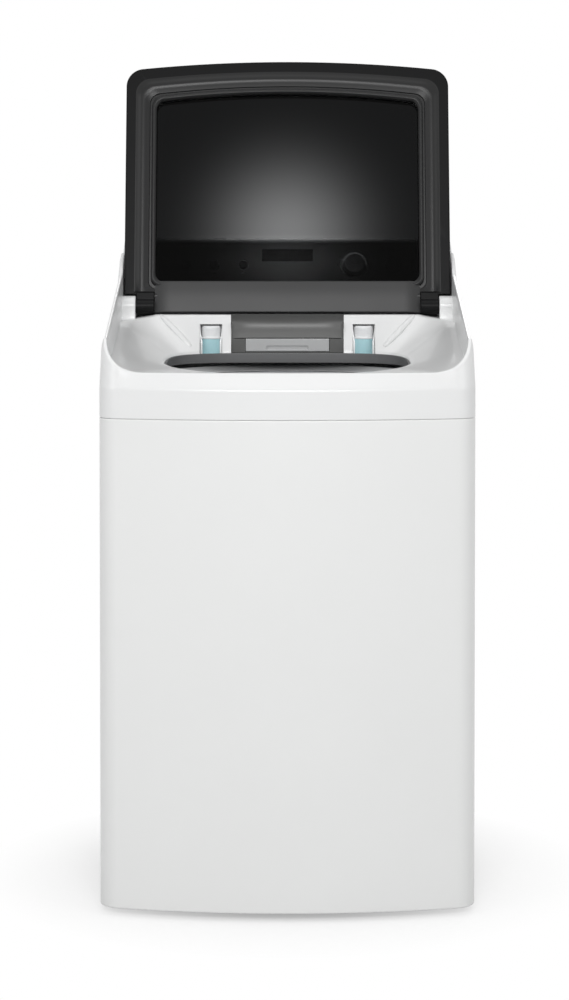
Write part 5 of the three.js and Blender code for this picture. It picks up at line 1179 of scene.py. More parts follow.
def consoleSection(depth):
    # the side view, with the fascia's pocket set back by a depth
    bottomUp, topUp = (0.0005, fascia["height"] - 0.0004)
    low, high = onFascia(0, bottomUp, -depth), onFascia(0, topUp, -depth)
    lowOut, highOut = onFascia(0, bottomUp, 0), onFascia(0, topUp, 0)
    frontY, rearY = console["frontY"], console["rearY"]
    if depth:
        face = [(lowOut.y - 0.0035, lowOut.z - 0.0012), (low.y, low.z), (high.y, high.z),
                (highOut.y + 0.0006, highOut.z + 0.0022)]
    else:
        face = [(frontY, lowOut.z - 0.0012), (frontY, lowOut.z + 0.02), (frontY, console["frontZ"] - 0.008),
                (frontY + 0.004, console["frontZ"] + 0.003)]
    points = [(frontY, console["bottomZ"]), (frontY, lowOut.z - 0.012)] + face + [
        console["shoulder"], console["top"], (rearY - 0.0005, console["rearZ"]), (rearY - 0.0005, console["bottomZ"])]
    radii = [0.001, 0.004, 0.0016, 0.001, 0.001, 0.002, 0.006, 0.006, 0.008, 0.001]
    return closedSoftLine([(0, y, z) for y, z in points], radii, 4)


def makeConsole():
    pocket, half = console["pocketHalf"], console["halfWidth"]
    stations = [(-half, "end", 0.9), (-half + 0.0012, "end", 0.35), (-half + 0.005, "end", 0.0)]
    stations += [(-pocket - 0.0012, 0, 0), (-pocket, 1, 0)]
    stations += [(-pocket + 2 * pocket * i / 24, 1, 0) for i in range(1, 24)]
    stations += [(pocket, 1, 0), (pocket + 0.0012, 0, 0)]
    stations += [(half - 0.005, "end", 0.0), (half - 0.0012, "end", 0.35), (half, "end", 0.9)]
    deep, plain = consoleSection(console["pocketDepth"]), consoleSection(0)
    centre = Vector((0, 0.252, 0.995))
    rings = []
    for x, kind, shrink in stations:
        section = deep if kind == 1 else plain
        ring = []
        for point in section:
            away = point - centre
            moved = point - Vector((0, math.copysign(min(abs(away.y), 0.003), away.y),
                                    math.copysign(min(abs(away.z), 0.003), away.z))) * shrink
            taper = console["taper"] * min(1, max(0, (moved.z - console["taperZ"]) / 0.04))
            ring.append(Vector((x * (1 - taper), moved.y, moved.z)))
        rings.append(ring)
    body = stitched("console_shell", rings, capped=True)
    outwards(body)
    room = half * (1 - console["taper"]) - 0.003
    inner = blockOf("consoleRoom", (-room, console["frontY"] + 0.012, console["bottomZ"] - 0.01),
                    (room, console["rearY"] - 0.0035, fascia["origin"][1] - 0.004))
    window = blockOf("consoleWindow", (-pocket * 0.94, 0.012, -0.022), (pocket * 0.94, fascia["height"] - 0.012, 0.02))
    upper = blockOf("consoleUpper", (-room, 0.226, console["bottomZ"]), (room, 0.2965, 1.052))
    tiltToFascia(window)
    valves = [rodAlong("valveHole", "Y", (x, 0.968), 0.0133, 0.28, 0.33) for x in (-0.197, -0.139)]
    cutBy(body, inner, upper, window, *valves)
    shaded(body, 36)
    fit(body, dressed["housingPlastic"], "cabinet", ["console_housing"])


def makeFascia():
    height, thick, half = fascia["height"], fascia["thickness"], fascia["halfWidth"]
    panel = blockOf("fascia_panel", (-half, 0.0003, -thick), (half, height - 0.0003, 0), 0.0006, 2)
    holes = [rodAlong("buttonHole", "Z", (x, controls["up"]), radius + 0.0006, -0.01, 0.01, 48)
             for name, x, radius in controls["buttons"]]
    holes.append(rodAlong("spindleHole", "Z", (controls["dialX"], controls["up"]), 0.0055, -0.01, 0.01, 32))
    seat = blockOf("displaySeat", (-0.0453, 0.0447, -0.0021), (0.0453, 0.0673, 0.01))
    cutBy(panel, seat, *holes)
    shaded(panel, 36)
    rings = [turnedPiece("buttonRim", [(radius + 0.0007, 0.0), (radius + 0.0026, 0.0), (radius + 0.0024, 0.0005),
                                       (radius + 0.0009, 0.0007)], x, controls["up"], 48)
             for name, x, radius in controls["buttons"]]
    rings.append(turnedPiece("dialRim", [(0.0225, 0.0), (0.0262, 0.0), (0.0258, 0.0006), (0.0229, 0.0008)],
                             controls["dialX"], controls["up"], 64))
    marks = []
    for i in range(9):
        angle = math.radians(-120 + 30 * i) + quarter
        x = controls["dialX"] + 0.0298 * math.cos(angle)
        up = controls["up"] + 0.0298 * math.sin(angle)
        marks.append(turnedSolid("dialMark", [(0, 0.0), (0.0011, 0.0), (0.0009, 0.0003), (0, 0.0003)], x, up, 16))
    lamps = [blockOf("lamp", (x - 0.003, 0.022, 0), (x + 0.003, 0.0238, 0.0004), 0.0001, 1)
             for name, x, radius in controls["buttons"][2:]]
    for part in rings + marks + lamps:
        outwards(part)
        shaded(part, 40)
    body = tiltToFascia(joinedPieces("fascia_panel_cut", [panel]))
    fit(body, dressed["fasciaPlastic"], "cabinet", ["control_fascia"])
    trims = tiltToFascia(joinedPieces("fascia_trims", rings + marks + lamps))
    fit(trims, dressed["controlMetal"], "cabinet")


controls = {
    "up": 0.038,
    "dialX": 0.119,
    "dialRadius": 0.022,
    "depth": 0.007,
    "buttons": (("power_button", 0.232, 0.012), ("start_button", 0.188, 0.012), ("option_button_1", -0.078, 0.0075),
                ("option_button_2", -0.13, 0.0075), ("option_button_3", -0.182, 0.0075)),
}


def makeDisplay():
    panel = blockOf("display_glass", (-0.045, 0.045, -0.0018), (0.045, 0.067, 0), 0.0004, 2)
    shaded(panel, 40)
    tiltToFascia(panel)
    fit(panel, dressed["displayGloss"], "cabinet", ["display_window"])
    digits = []
    for place in (-0.0135, -0.0055, 0.0055, 0.0135):
        for low, high in (((-0.0024, -0.0001), (0.0024, 0.0001)), ((-0.0024, 0.0049), (0.0024, 0.0051)),
                          ((-0.0024, -0.0051), (0.0024, -0.0049)), ((-0.0029, 0.0006), (-0.0025, 0.0044)),
                          ((0.0025, 0.0006), (0.0029, 0.0044)), ((-0.0029, -0.0044), (-0.0025, -0.0006)),
                          ((0.0025, -0.0044), (0.0029, -0.0006))):
            digits.append(blockOf("segment", (place + low[0], 0.056 + low[1], 0.00005),
                                  (place + high[0], 0.056 + high[1], 0.00012)))
    body = tiltToFascia(joinedPieces("display_segments", digits))
    fit(body, dressed["buttonPlastic"], "cabinet")


def makeDial():
    # a fluted knob on a skirt, with a pointer line
    r, depth = controls["dialRadius"], 0.016
    flutes, perFlute = 36, 6
    segments = flutes * perFlute
    profile = [(0.005, -0.011, 0), (0.005, 0.0005, 0), (r - 0.0006, 0.0005, 0), (r, 0.0011, 0), (r, 0.0034, 0),
               (r * 0.9, 0.0052, 0.3), (r * 0.87, 0.007, 1), (r * 0.85, 0.0125, 1), (r * 0.825, 0.0145, 0.4),
               (r * 0.77, depth - 0.0003, 0), (r * 0.73, depth, 0), (r * 0.6, depth - 0.0002, 0),
               (r * 0.56, depth - 0.0009, 0)]
    rings = []
    for radius, z, share in profile:
        rings.append([Vector((
            controls["dialX"] + (radius - 0.0006 * share * (0.5 + 0.5 * math.cos(flutes * 2 * math.pi * i / segments)))
            * math.cos(2 * math.pi * i / segments),
            controls["up"] + (radius - 0.0006 * share * (0.5 + 0.5 * math.cos(flutes * 2 * math.pi * i / segments)))
            * math.sin(2 * math.pi * i / segments), z)) for i in range(segments)])
    knob = stitched("dialKnob", rings, capped=True)
    outwards(knob)
    shaded(knob, 34)
    pointer = blockOf("dialPointer", (controls["dialX"] - 0.0008, controls["up"] + 0.0128, depth - 0.0011),
                      (controls["dialX"] + 0.0008, controls["up"] + 0.0164, depth + 0.0), 0.0002, 2)
    body = tiltToFascia(joinedPieces("dial_knob", [knob]))
    fit(body, dressed["controlMetal"], "dial", ["dial"])
    mark = tiltToFascia(joinedPieces("dial_pointer", [pointer]))
    fit(mark, dressed["displayGloss"], "dial")


def makeButtons():
    for name, x, radius in controls["buttons"]:
        cap = turnedSolid(name + "Cap", [
            (0, -0.0071), (radius + 0.002, -0.0071), (radius + 0.002, -0.0034), (radius, -0.0034),
            (radius, controls["depth"] - 0.0016), (radius - 0.0004, controls["depth"] - 0.0006),
            (radius - 0.0013, controls["depth"] - 0.0001), (radius * 0.7, controls["depth"] - 0.0004),
            (radius * 0.3, controls["depth"] - 0.0007), (0, controls["depth"] - 0.0007)], x, controls["up"], 64)
        softened(cap, 0, angle=34)
        tiltToFascia(cap)
        cap.name = name + "_cap"
        fit(cap, dressed["buttonPlastic"], name, [name])


makeConsole()
makeFascia()
makeDisplay()
makeDial()
makeButtons()
print("console fitted")


# Lid: hollow outer frame, raised inner frame and glass, in its own plane: across, up from the hinge, out to the drum
lid = {
    "pivot": (0.15, 0.952),
    "lean": math.radians(12),
    "halfWidth": 0.286,
    "reach": 0.44104,
    "tail": 0.012,
    "bow": 0.013,
    "corner": 0.032,
    "tailRadius": 0.006,
    "tailReach": 0.034,
    "tailSlope": 0.26,
    "depth": 0.036,
    "chamfer": 0.006,
    "wall": 0.003,
    "band": 0.018,
    "relief": 0.022,
    "bossInnerX": 0.2655,
    "knuckleInnerX": 0.233,
    "knuckleRadius": 0.012,
    "pinRadius": 0.005,
}
pane = {
    "halfWidth": 0.2315,
    "bottom": 0.043,
    "top": 0.38204,
    "bow": 0.013,
    "radius": 0.016,
    "thickness": 0.004,
    "seat": 0.014,
    "lap": 0.0027,
}
bezel = {
    "shoulder": 0.003,
    "ridge": 0.005,
    "ridgeWidth": 0.008,
    "grooveWidth": 0.004,
    "grooveDepth": 0.003,
    "lap": 0.0008,
    "lapHeight": 0.0002,
}
lowBand = {"half": 0.2318, "bottom": -0.0117, "top": 0.0442, "height": 0.0054, "ends": 0.0034}
lidSteps = (64, 16, 24, 48)
sideWidth = lid["halfWidth"] - pane["halfWidth"]


def onLid(piece):
    # from across, up and out to the machine's own axes, with the lid open
    c, s = math.cos(lid["lean"]), math.sin(lid["lean"])
    y, z = lid["pivot"]
    piece.data.transform(Matrix(((1, 0, 0, 0), (0, s, -c, y), (0, c, s, z), (0, 0, 0, 1))))
    return piece


def flipped(outline):
    return [Vector((point.x, -point.y)) for point in outline]


def lidOutline(inset):
    return flipped(bowedOutline(lid["halfWidth"] - inset, -lid["reach"] + inset, lid["tail"] - inset, lid["bow"],
                                lid["corner"] - inset, lid["tailRadius"], lidSteps))


def paneOutline(grow):
    return flipped(bowedOutline(pane["halfWidth"] + grow, -pane["top"] - grow, -pane["bottom"] + grow, pane["bow"],
                                pane["radius"] + grow, pane["radius"] + grow, lidSteps))


def lidRing(inset, share, height):
    outer, inner = lidOutline(inset), paneOutline(0)
    return [Vector((a.x + (b.x - a.x) * share, a.y + (b.y - a.y) * share, height)) for a, b in zip(outer, inner)]


def mouldedFrame(name, rings, radii, steps=4):
    # rings run round the lid; each station's section closes on itself with rounded corners
    lines = [closedSoftLine([ring[i] for ring in rings], radii, steps) for i in range(len(rings[0]))]
    piece = stitched(name, lines, looped=True)
    outwards(piece)
    return piece


def makeLidFrame():
    depth, chamfer, wall = lid["depth"], lid["chamfer"], lid["wall"]
    band = lid["band"] / sideWidth
    seat = 1 - wall / sideWidth
    frameBody = mouldedFrame("lidShell", [
        lidRing(0, 0, 0), lidRing(0, 0, chamfer - depth), lidRing(chamfer, 0, -depth), lidRing(0, 1, -depth),
        lidRing(0, 1, -pane["seat"] - 0.0003), lidRing(0, seat, -pane["seat"] - 0.0003),
        lidRing(0, seat, wall - depth), lidRing(chamfer + wall / 2, 0, wall - depth),
        lidRing(wall, 0, chamfer + wall / 2 - depth), lidRing(wall, 0, -wall), lidRing(0, band, -wall),
        lidRing(0, band, 0)],
        (0.0032, 0.008, 0.008, 0.0015, 0.0008, 0.0008, 0.001, 0.004, 0.004, 0.001, 0.0006, 0.00015), 5)
    for vertex in frameBody.data.vertices:
        # the tail's outer edge draws up, so that it clears the cover as the lid swings
        near = max(0, 1 - (vertex.co.y + lid["tail"]) / lid["tailReach"])
        vertex.co.y += lid["tailSlope"] * near * max(0, -vertex.co.z - wall)
    for side in (-1, 1):
        x0, x1 = sorted((side * lid["knuckleInnerX"], side * (lid["bossInnerX"] - 0.0006)))
        barrel = rodAlong("knuckle", "X", (0, 0), lid["knuckleRadius"], x0, x1, 64, 0.001)
        web = blockOf("knuckleWeb", (x0 + 0.0004, -lid["tail"], -depth + 0.002),
                      (x1 - 0.0004, lid["relief"] + wall, -0.0002), 0.0012, 2)
        c0, c1 = sorted((side * (lid["knuckleInnerX"] + 0.0004), side * (lid["halfWidth"] - wall / 2)))
        filler = blockOf("lidCorner", (c0, -lid["tail"] + wall / 2, -depth + chamfer),
                         (c1, lid["relief"] + wall, -wall / 2))
        for part in (barrel, web, filler):
            outwards(part)
        cutBy(frameBody, barrel, web, filler, operation="UNION")
        r0, r1 = sorted((side * (lid["bossInnerX"] - 0.0006), side * (lid["halfWidth"] + 0.02)))
        b0, b1 = sorted((side * 0.2397, side * lid["halfWidth"]))
        cutBy(frameBody, blockOf("lidRelief", (r0, -lid["tail"] - 0.02, -depth - 0.02), (r1, lid["relief"], 0.02)),
              rodAlong("pinBore", "X", (0, 0), lid["pinRadius"] + 0.0003, b0, b1, 40))
    shaded(frameBody, 32)
    frameBody.name = "lid_outer_frame"
    fit(onLid(frameBody), dressed["lidPlastic"], "lid", ["lid_frame"])


def makeLidBezel():
    wall, top = lid["wall"], bezel["shoulder"]
    under = -pane["seat"] + pane["thickness"] + 0.0003
    start = (lid["band"] - bezel["lap"]) / sideWidth
    ridge = 1 - bezel["ridgeWidth"] / sideWidth
    groove = ridge - bezel["grooveWidth"] / sideWidth
    seat = 1 - wall / sideWidth
    run = groove - start
    rise = [(0.08, 0.05), (0.2, 0.3), (0.34, 0.72), (0.5, 1), (0.66, 0.8), (0.8, 0.42), (0.92, 0.12)]
    body = mouldedFrame("lidBezel", [
        lidRing(0, start + 0.01, -wall), lidRing(0, start + 0.01, bezel["lapHeight"] / 2),
        lidRing(0, start, bezel["lapHeight"] / 2), lidRing(0, start, bezel["lapHeight"])]
        + [lidRing(0, start + run * share, bezel["lapHeight"] + top * height) for share, height in rise]
        + [lidRing(0, groove, 0),
           lidRing(0, groove, -bezel["grooveDepth"]), lidRing(0, ridge, -bezel["grooveDepth"]),
           lidRing(0, ridge, top * 0.7), lidRing(0, (ridge + 1) / 2, bezel["ridge"]), lidRing(0, 1, top * 0.3),
           lidRing(0, 1, under), lidRing(0, seat, under), lidRing(0, ridge, -bezel["grooveDepth"] - wall)],
        (0.0002, 0.00002, 0.00002, 0.00005) + (0.002,) * 7
        + (0.0014, 0.0008, 0.0008, 0.002, 0.005, 0.001, 0.0008, 0.0008, 0.001), 4)
    knuckles = []
    for side in (-1, 1):
        x0, x1 = sorted((side * (lid["knuckleInnerX"] - 0.0005), side * (lid["halfWidth"] + 0.02)))
        knuckles.append(blockOf("knuckleRoom", (x0, -lid["tail"] - 0.02, -lid["depth"]),
                                (x1, lid["relief"] + wall + 0.0005, 0.02)))
    cutBy(body, *knuckles)
    shaded(body, 34)
    body.name = "lid_bezel"
    # painted light: the bezel's finish is a lighter copy of the lid's plastic
    fit(onLid(body), dressed["bezelPlastic"], "lid", ["lid_inner_frame"])


def makeLowBand():
    # the plain band between the knuckles, from the tail up to the glass
    b = lowBand
    section = closedSoftLine([(0, b["bottom"], -0.002), (0, b["bottom"], b["height"] - 0.001),
                              (0, b["top"] * 0.45, b["height"] + 0.0003), (0, b["top"], b["height"] - 0.0008),
                              (0, b["top"], -0.002)], [0, 0.0022, 0.05, 0.0022, 0], 6)
    rings = []
    for i in range(33):
        x = b["half"] * (i / 16 - 1)
        drop = b["ends"] * max(0, (abs(x) - b["half"] + 0.006) / 0.006) ** 2
        rings.append([Vector((x, point.y, point.z - (drop if point.z > 0 else 0))) for point in section])
    body = stitched("lid_low_band", rings, capped=True)
    outwards(body)
    shaded(body, 40)
    # painted reflection: the band's finish is lighter than the lid's plastic
    fit(onLid(body), dressed["lidBandPaintedReflection"], "lid")


def makePane():
    seat, thick, lap = pane["seat"], pane["thickness"], pane["lap"]
    edge = 0.0004
    rings = [[Vector((point.x, point.y, z)) for point in paneOutline(grow)] for grow, z in (
        (lap - edge, -seat), (lap, -seat + edge), (lap, -seat + thick - edge), (lap - edge, -seat + thick))]
    body = stitched("lid_pane", rings, capped=True)
    outwards(body)
    shaded(body, 50)
    fit(onLid(body), dressed["tintedGlass"], "lid", ["lid_glass"])


def makeLidFittings():
    # the hinge pins, and screws at the lid's back
    for side, word in ((-1, "left"), (1, "right")):
        x0, x1 = sorted((side * 0.24, side * 0.284))
        pin = rodAlong("hinge_pin_" + word + "_turned", "X", (0, 0), lid["pinRadius"], x0, x1, 40, 0.0008)
        outwards(pin)
        shaded(pin, 40)
        fit(onLid(pin), dressed["zincSteel"], "lid", ["hinge_pin_" + word])
    back = -lid["depth"]
    screws = [screwHead(x, up) for x, up in ((-0.258, 0.06), (0.258, 0.06), (-0.258, 0.22), (0.258, 0.22),
                                             (-0.24, 0.4), (0.24, 0.4), (0.0, 0.405))]
    for screw in screws:
        screw.data.transform(Matrix.Translation((0, 0, back)) @ Matrix.Rotation(math.pi, 4, "Y"))
    fit(onLid(joinedPieces("lid_screws", screws)), dressed["zincSteel"], "lid")


def screwHead(x, y, radius=0.0034, height=0.0):
    # a cross-headed screw seen from +Z, with its recess; height lets it stand out
    head = turnedSolid("screw", [(0, -0.0012), (radius, -0.0012), (radius, height * 0.4 - 0.0004),
                                 (radius * 0.9, height * 0.8 - 0.0001), (radius * 0.55, height), (0, height)],
                       0, 0, 32)
    outwards(head)
    cross = [blockOf("cross", low, high) for low, high in (
        ((-radius * 0.6, -radius * 0.13, -0.001), (radius * 0.6, radius * 0.13, 0.01)),
        ((-radius * 0.13, -radius * 0.6, -0.001), (radius * 0.13, radius * 0.6, 0.01)))]
    cutBy(head, *cross)
    shaded(head, 40)
    head.data.transform(Matrix.Translation((x, y, 0)))
    return head


makeLidFrame()
makeLidBezel()
makeLowBand()
makePane()
makeLidFittings()
print("lid hung")


# Dosing cups, drawer and the drawer's housing
dosing = {"x": 0.133, "y": 0.141, "radius": 0.0189, "wall": 0.0013, "floorZ": 0.8664, "neckZ": 0.8957,
          "capZ": 0.896, "capTopZ": 0.9185, "capRadius": 0.0166}
drawerTray = {"half": 0.073, "frontY": 0.129, "length": 0.118, "bottomZ": 0.8741, "height": 0.022, "wall": 0.002,
              "face": 0.004, "divider": 0.02628}
drawerHousing = {"half": 0.0977, "frontY": 0.1283, "rearY": 0.2617, "bottomZ": 0.8713, "topZ": 0.9237, "wall": 0.0025}


recessPanel = {"half": 0.0951, "frontY": 0.1395, "endReach": 0.0085, "hollow": 0.0085, "lean": 0.0072,
               "rearY": 0.1565, "bottomZ": 0.8972, "topZ": 0.9383}


def makeDosing(side, word):
    r, wall, low, neck = dosing["radius"], dosing["wall"], dosing["floorZ"], dosing["neckZ"]
    cup = turnedPiece("dosing_cup_" + word + "_body", [
        (0.00005, low), (r - 0.003, low), (r - 0.001, low + 0.001), (r, low + 0.003), (r, neck - 0.004),
        (r - 0.0003, neck - 0.003), (r - 0.0003, neck), (r - wall, neck), (r - wall, low + 0.003),
        (r - wall - 0.0015, low + wall), (0.00005, low + wall)], side * dosing["x"], dosing["y"], 72)
    softened(cup, 0, angle=40)
    fit(cup, dressed["cupPlastic"], "cabinet", ["dosing_cup_" + word])
    capLow, capTop = dosing["capZ"], dosing["capTopZ"]
    ribs, segments = 48, 192
    rings = []
    neck = dosing["capRadius"]
    for radius, z, share in ((r - 0.0016, capLow, 0), (r - 0.0002, capLow + 0.0001, 0), (r, capLow + 0.0005, 0),
                             (r - 0.0001, capLow + 0.002, 0), (neck + 0.0004, capLow + 0.0036, 0),
                             (neck, capLow + 0.0044, 1), (neck, capTop - 0.0055, 1), (neck - 0.0001, capTop - 0.0035, 0),
                             (neck - 0.0008, capTop - 0.0016, 0), (neck - 0.0022, capTop - 0.0003, 0),
                             (neck - 0.004, capTop, 0), (neck - 0.0055, capTop - 0.0002, 0),
                             (neck - 0.0064, capTop - 0.0011, 0), (0.003, capTop - 0.0013, 0)):
        ring = []
        for i in range(segments):
            angle = 2 * math.pi * i / segments
            reach = radius - 0.00055 * share * (0.5 + 0.5 * math.cos(ribs * angle))
            ring.append(Vector((side * dosing["x"] + reach * math.cos(angle), dosing["y"] + reach * math.sin(angle), z)))
        rings.append(ring)
    cap = stitched("dosing_cap_" + word + "_ribbed", rings, capped=True)
    outwards(cap)
    shaded(cap, 40)
    fit(cap, dressed["capWhite"], "cabinet", ["dosing_cap_" + word])


def makeDrawer():
    t = drawerTray
    rear, top = t["frontY"] + t["length"], t["bottomZ"] + t["height"]
    tray = blockOf("drawer_tray", (-t["half"], t["frontY"], t["bottomZ"]), (t["half"], rear, top), 0.0012, 3)
    rooms = [
        blockOf("room", (-t["half"] + t["wall"], t["frontY"] + t["face"], t["bottomZ"] + t["wall"]),
                (t["divider"], rear - t["wall"], top + 0.02), 0.004, 4),
        blockOf("room", (t["divider"] + t["wall"], t["frontY"] + t["face"], t["bottomZ"] + t["wall"]),
                (t["half"] - t["wall"], rear - t["wall"], top + 0.02), 0.004, 4),
        blockOf("gripRoom", (-t["half"] / 2, t["frontY"] - 0.02, t["bottomZ"] + t["wall"]),
                (t["half"] / 2, t["frontY"] + t["face"] / 2, t["bottomZ"] + t["height"] * 0.45), 0.0016, 3)]
    cutBy(tray, *rooms)
    shaded(tray, 36)
    siphon = turnedPiece("siphon", [(0.0035, t["bottomZ"] + 0.0018), (0.0048, t["bottomZ"] + 0.0018),
                                    (0.0048, top - 0.005), (0.0042, top - 0.004), (0.0035, top - 0.004)],
                         0.048, rear - 0.018, 32)
    softened(siphon, 0, angle=40)
    body = joinedPieces("detergent_drawer_tray", [tray, siphon])
    fit(body, dressed["drawerPlastic"], "drawer", ["detergent_drawer"])


def makeDrawerHousing():
    h, t = drawerHousing, drawerTray
    top = t["bottomZ"] + t["height"]
    shellBody = blockOf("drawer_housing", (-h["half"], h["frontY"], h["bottomZ"]), (h["half"], h["rearY"], h["topZ"]),
                        0.001, 2)
    lower = blockOf("lowerRoom", (-t["half"] - 0.0005, h["frontY"] - 0.02, h["bottomZ"] + h["wall"]),
                    (t["half"] + 0.0005, h["rearY"] - h["wall"], h["topZ"] - h["wall"]))
    upper = blockOf("upperRoom", (-h["half"] + h["wall"], h["frontY"] - 0.02, top),
                    (h["half"] - h["wall"], h["rearY"] - h["wall"], h["topZ"] - h["wall"]), 0.003, 3)
    brow = blockOf("browRoom", (-recessPanel["half"] - 0.0002, h["frontY"] - 0.02, top + 0.006),
                   (recessPanel["half"] + 0.0002, recessPanel["rearY"] + 0.002, h["topZ"] + 0.01))
    cutBy(shellBody, lower, upper, brow)
    shaded(shellBody, 36)
    jets = []
    for i in range(7):
        x = -0.06 + 0.02 * i
        jets.append(turnedPiece("jet", [(0.0012, h["topZ"] - h["wall"] - 0.0016), (0.003, h["topZ"] - h["wall"] - 0.0016),
                                        (0.0034, h["topZ"] - h["wall"] + 0.0004),
                                        (0.0012, h["topZ"] - h["wall"] + 0.0004)], x, 0.17, 24))
    for jet in jets:
        softened(jet, 0, angle=40)
    body = joinedPieces("detergent_housing_shell", [shellBody] + jets)
    # painted shade: the housing and its jets get the near-black recess colour
    fit(body, dressed["recessPaintedShade"], "cabinet", ["detergent_housing"])
    # the panel over the drawer: hollow from top to bottom, and curved in towards its ends
    p = recessPanel
    rings = []
    for i in range(41):
        x = p["half"] * (i / 20 - 1)
        ends = p["frontY"] - p["endReach"] * (abs(i / 20 - 1) ** 6)
        line = [(ends + p["hollow"] * (1 - (2 * k / 12 - 1) ** 2) + p["lean"] * k / 12,
                 p["bottomZ"] + (p["topZ"] - p["bottomZ"]) * k / 12) for k in range(13)]
        back = [(p["rearY"], p["topZ"]), (p["rearY"], p["bottomZ"])]
        wide = 0.0983 / p["half"]
        rings.append([Vector((x * (wide if z > 0.9245 else 1), y, z)) for y, z in line + back])
    panel = stitched("detergent_housing_panel", rings, capped=True)
    outwards(panel)
    shaded(panel, 40)
    fit(panel, dressed["recessPanelPlastic"], "cabinet")


for side, word in ((-1, "left"), (1, "right")):
    makeDosing(side, word)
makeDrawer()
makeDrawerHousing()
print("drawer and cups fitted")


# Drum: perforated basket, balance ring, pulsator and lint filters
drum = {
    "y": -0.05,
    "radius": 0.222,
    "wall": 0.0015,
    "floorZ": 0.424,
    "rise": 0.012,
    "rimZ": 0.794,
    "hole": 0.0019,
    "rows": 17,
    "perRow": 90,
    "firstRowZ": 0.452,
    "pitchZ": 0.0195,
    "ribs": 9,
    "ribDepth": 0.004,
}
balance = {"inner": 0.189, "bottomZ": 0.79, "topZ": 0.838, "edge": 0.009, "collarZ": 0.7943, "mouth": 0.196}
pulsatorDisc = {"radius": 0.172, "z": 0.438, "thickness": 0.005, "dish": 0.014, "hub": 0.036, "hubHeight": 0.034,
                "vanes": 6, "vaneHeight": 0.026, "vaneWidth": 0.023, "sweep": 0.5}


def holedWall(name, radius, rows, firstZ, pitchZ, columns, hole, bulge):
    # a cylinder wall of square cells, each with a round hole of eight sides
    verts, faces = [], []
    lookup = {}

    def add(angle, z):
        key = (round(angle * 1e5) % round(2 * math.pi * 1e5), round(z * 1e6))
        if key not in lookup:
            reach = bulge(angle, z)
            lookup[key] = len(verts)
            verts.append((reach * math.cos(angle), drum["y"] + reach * math.sin(angle), z))
        return lookup[key]

    step = 2 * math.pi / columns
    for row in range(rows):
        z = firstZ + pitchZ * row
        turn = step / 2 * (row % 2)
        low, high = z - pitchZ / 2, z + pitchZ / 2
        for column in range(columns):
            angle = column * step + turn
            square = [(angle + step / 2 * a, z + pitchZ / 2 * b) for a, b in
                      ((1, 0), (1, 1), (0, 1), (-1, 1), (-1, 0), (-1, -1), (0, -1), (1, -1))]
            ring = [(angle + hole / radius * math.cos(k * math.pi / 4), z + hole * math.sin(k * math.pi / 4))
                    for k in range(8)]
            outer = [add(*point) for point in square]
            inner = [add(*point) for point in ring]
            for k in range(8):
                n = (k + 1) % 8
                faces.append((outer[k], outer[n], inner[n], inner[k]))
    return newObject(name, verts, faces)


def drumBulge(angle, z):
    # shallow pressed ribs run up the wall
    share = math.cos(drum["ribs"] * angle)
    lift = max(0.0, share - 0.86) / 0.14
    ends = min(1, max(0, (z - 0.45) / 0.02), max(0, (0.775 - z) / 0.02))
    return drum["radius"] - drum["wall"] - drum["ribDepth"] * ends * (1 - (1 - lift) ** 2)


def makeBasket():
    low = drum["firstRowZ"] - drum["pitchZ"] / 2
    high = drum["firstRowZ"] + drum["pitchZ"] * (drum["rows"] - 0.5)
    wall = holedWall("basketWall", drum["radius"], drum["rows"], drum["firstRowZ"], drum["pitchZ"], drum["perRow"],
                     drum["hole"], drumBulge)
    columns = drum["perRow"] * 2
    r, inner = drum["radius"], drum["radius"] - drum["wall"]

    def band(name, line):
        rings = []
        for radius, z in line:
            rings.append([Vector(((radius or drumBulge(2 * math.pi * i / columns, z))
                                  * math.cos(2 * math.pi * i / columns),
                                  drum["y"] + (radius or drumBulge(2 * math.pi * i / columns, z))
                                  * math.sin(2 * math.pi * i / columns), z)) for i in range(columns)])
        return stitched(name, rings)

    bend = drum["rise"]
    floorLine = [(0.012, drum["floorZ"] + 0.0015), (0.05, drum["floorZ"] + 0.0015), (0.12, drum["floorZ"] + 0.0015),
                 (inner - bend, drum["floorZ"] + 0.0015)]
    floorLine += [(inner - bend + bend * math.sin(quarter * i / 6), drum["floorZ"] + 0.0015 + bend * (1 - math.cos(quarter * i / 6)))
                  for i in range(1, 6)]
    floorLine += [(None, drum["floorZ"] + 0.0015 + bend), (None, low)]
    foot = band("basketFoot", floorLine)
    rim = band("basketRim", [(None, high), (None, (high + drum["rimZ"]) / 2), (None, drum["rimZ"])])
    body = joinedPieces("basket_perforated", [wall, foot, rim])
    outwards(body)
    faceOutwards(body, (0, drum["y"] - r, 0.6), (0, 1, 0))
    addModifier(body, "SOLIDIFY", thickness=drum["wall"] * 0.9, offset=-1)
    settle(body)
    shaded(body, 30)
    fit(body, dressed["stainless"], "drum", ["basket"])
    return body


def makeBalanceRing():
    b = balance
    outer = drum["radius"]
    profile = closedSoftLine([(x, 0, z) for x, z in (
        (b["inner"], b["bottomZ"]), (outer - 0.0018, b["bottomZ"]), (outer - 0.0018, b["collarZ"]),
        (outer, b["collarZ"]), (outer, b["topZ"] - b["edge"]), (b["mouth"], b["topZ"]),
        (b["inner"] + b["edge"], b["topZ"]), (b["inner"], b["topZ"] - b["edge"]))],
        (0.004, 0.001, 0.0005, 0.0005, 0.006, 0.004, 0.004, 0.006), 4)
    ring = turnedPiece("balance_ring_body", [(point.x, point.z) for point in profile], 0, drum["y"], 160)
    softened(ring, 0, angle=36)
    fit(ring, dressed["balancePlastic"], "drum", ["balance_ring"])


def pulsatorTop(radius):
    share = radius / pulsatorDisc["radius"]
    return pulsatorDisc["z"] + pulsatorDisc["thickness"] + pulsatorDisc["dish"] * share * share


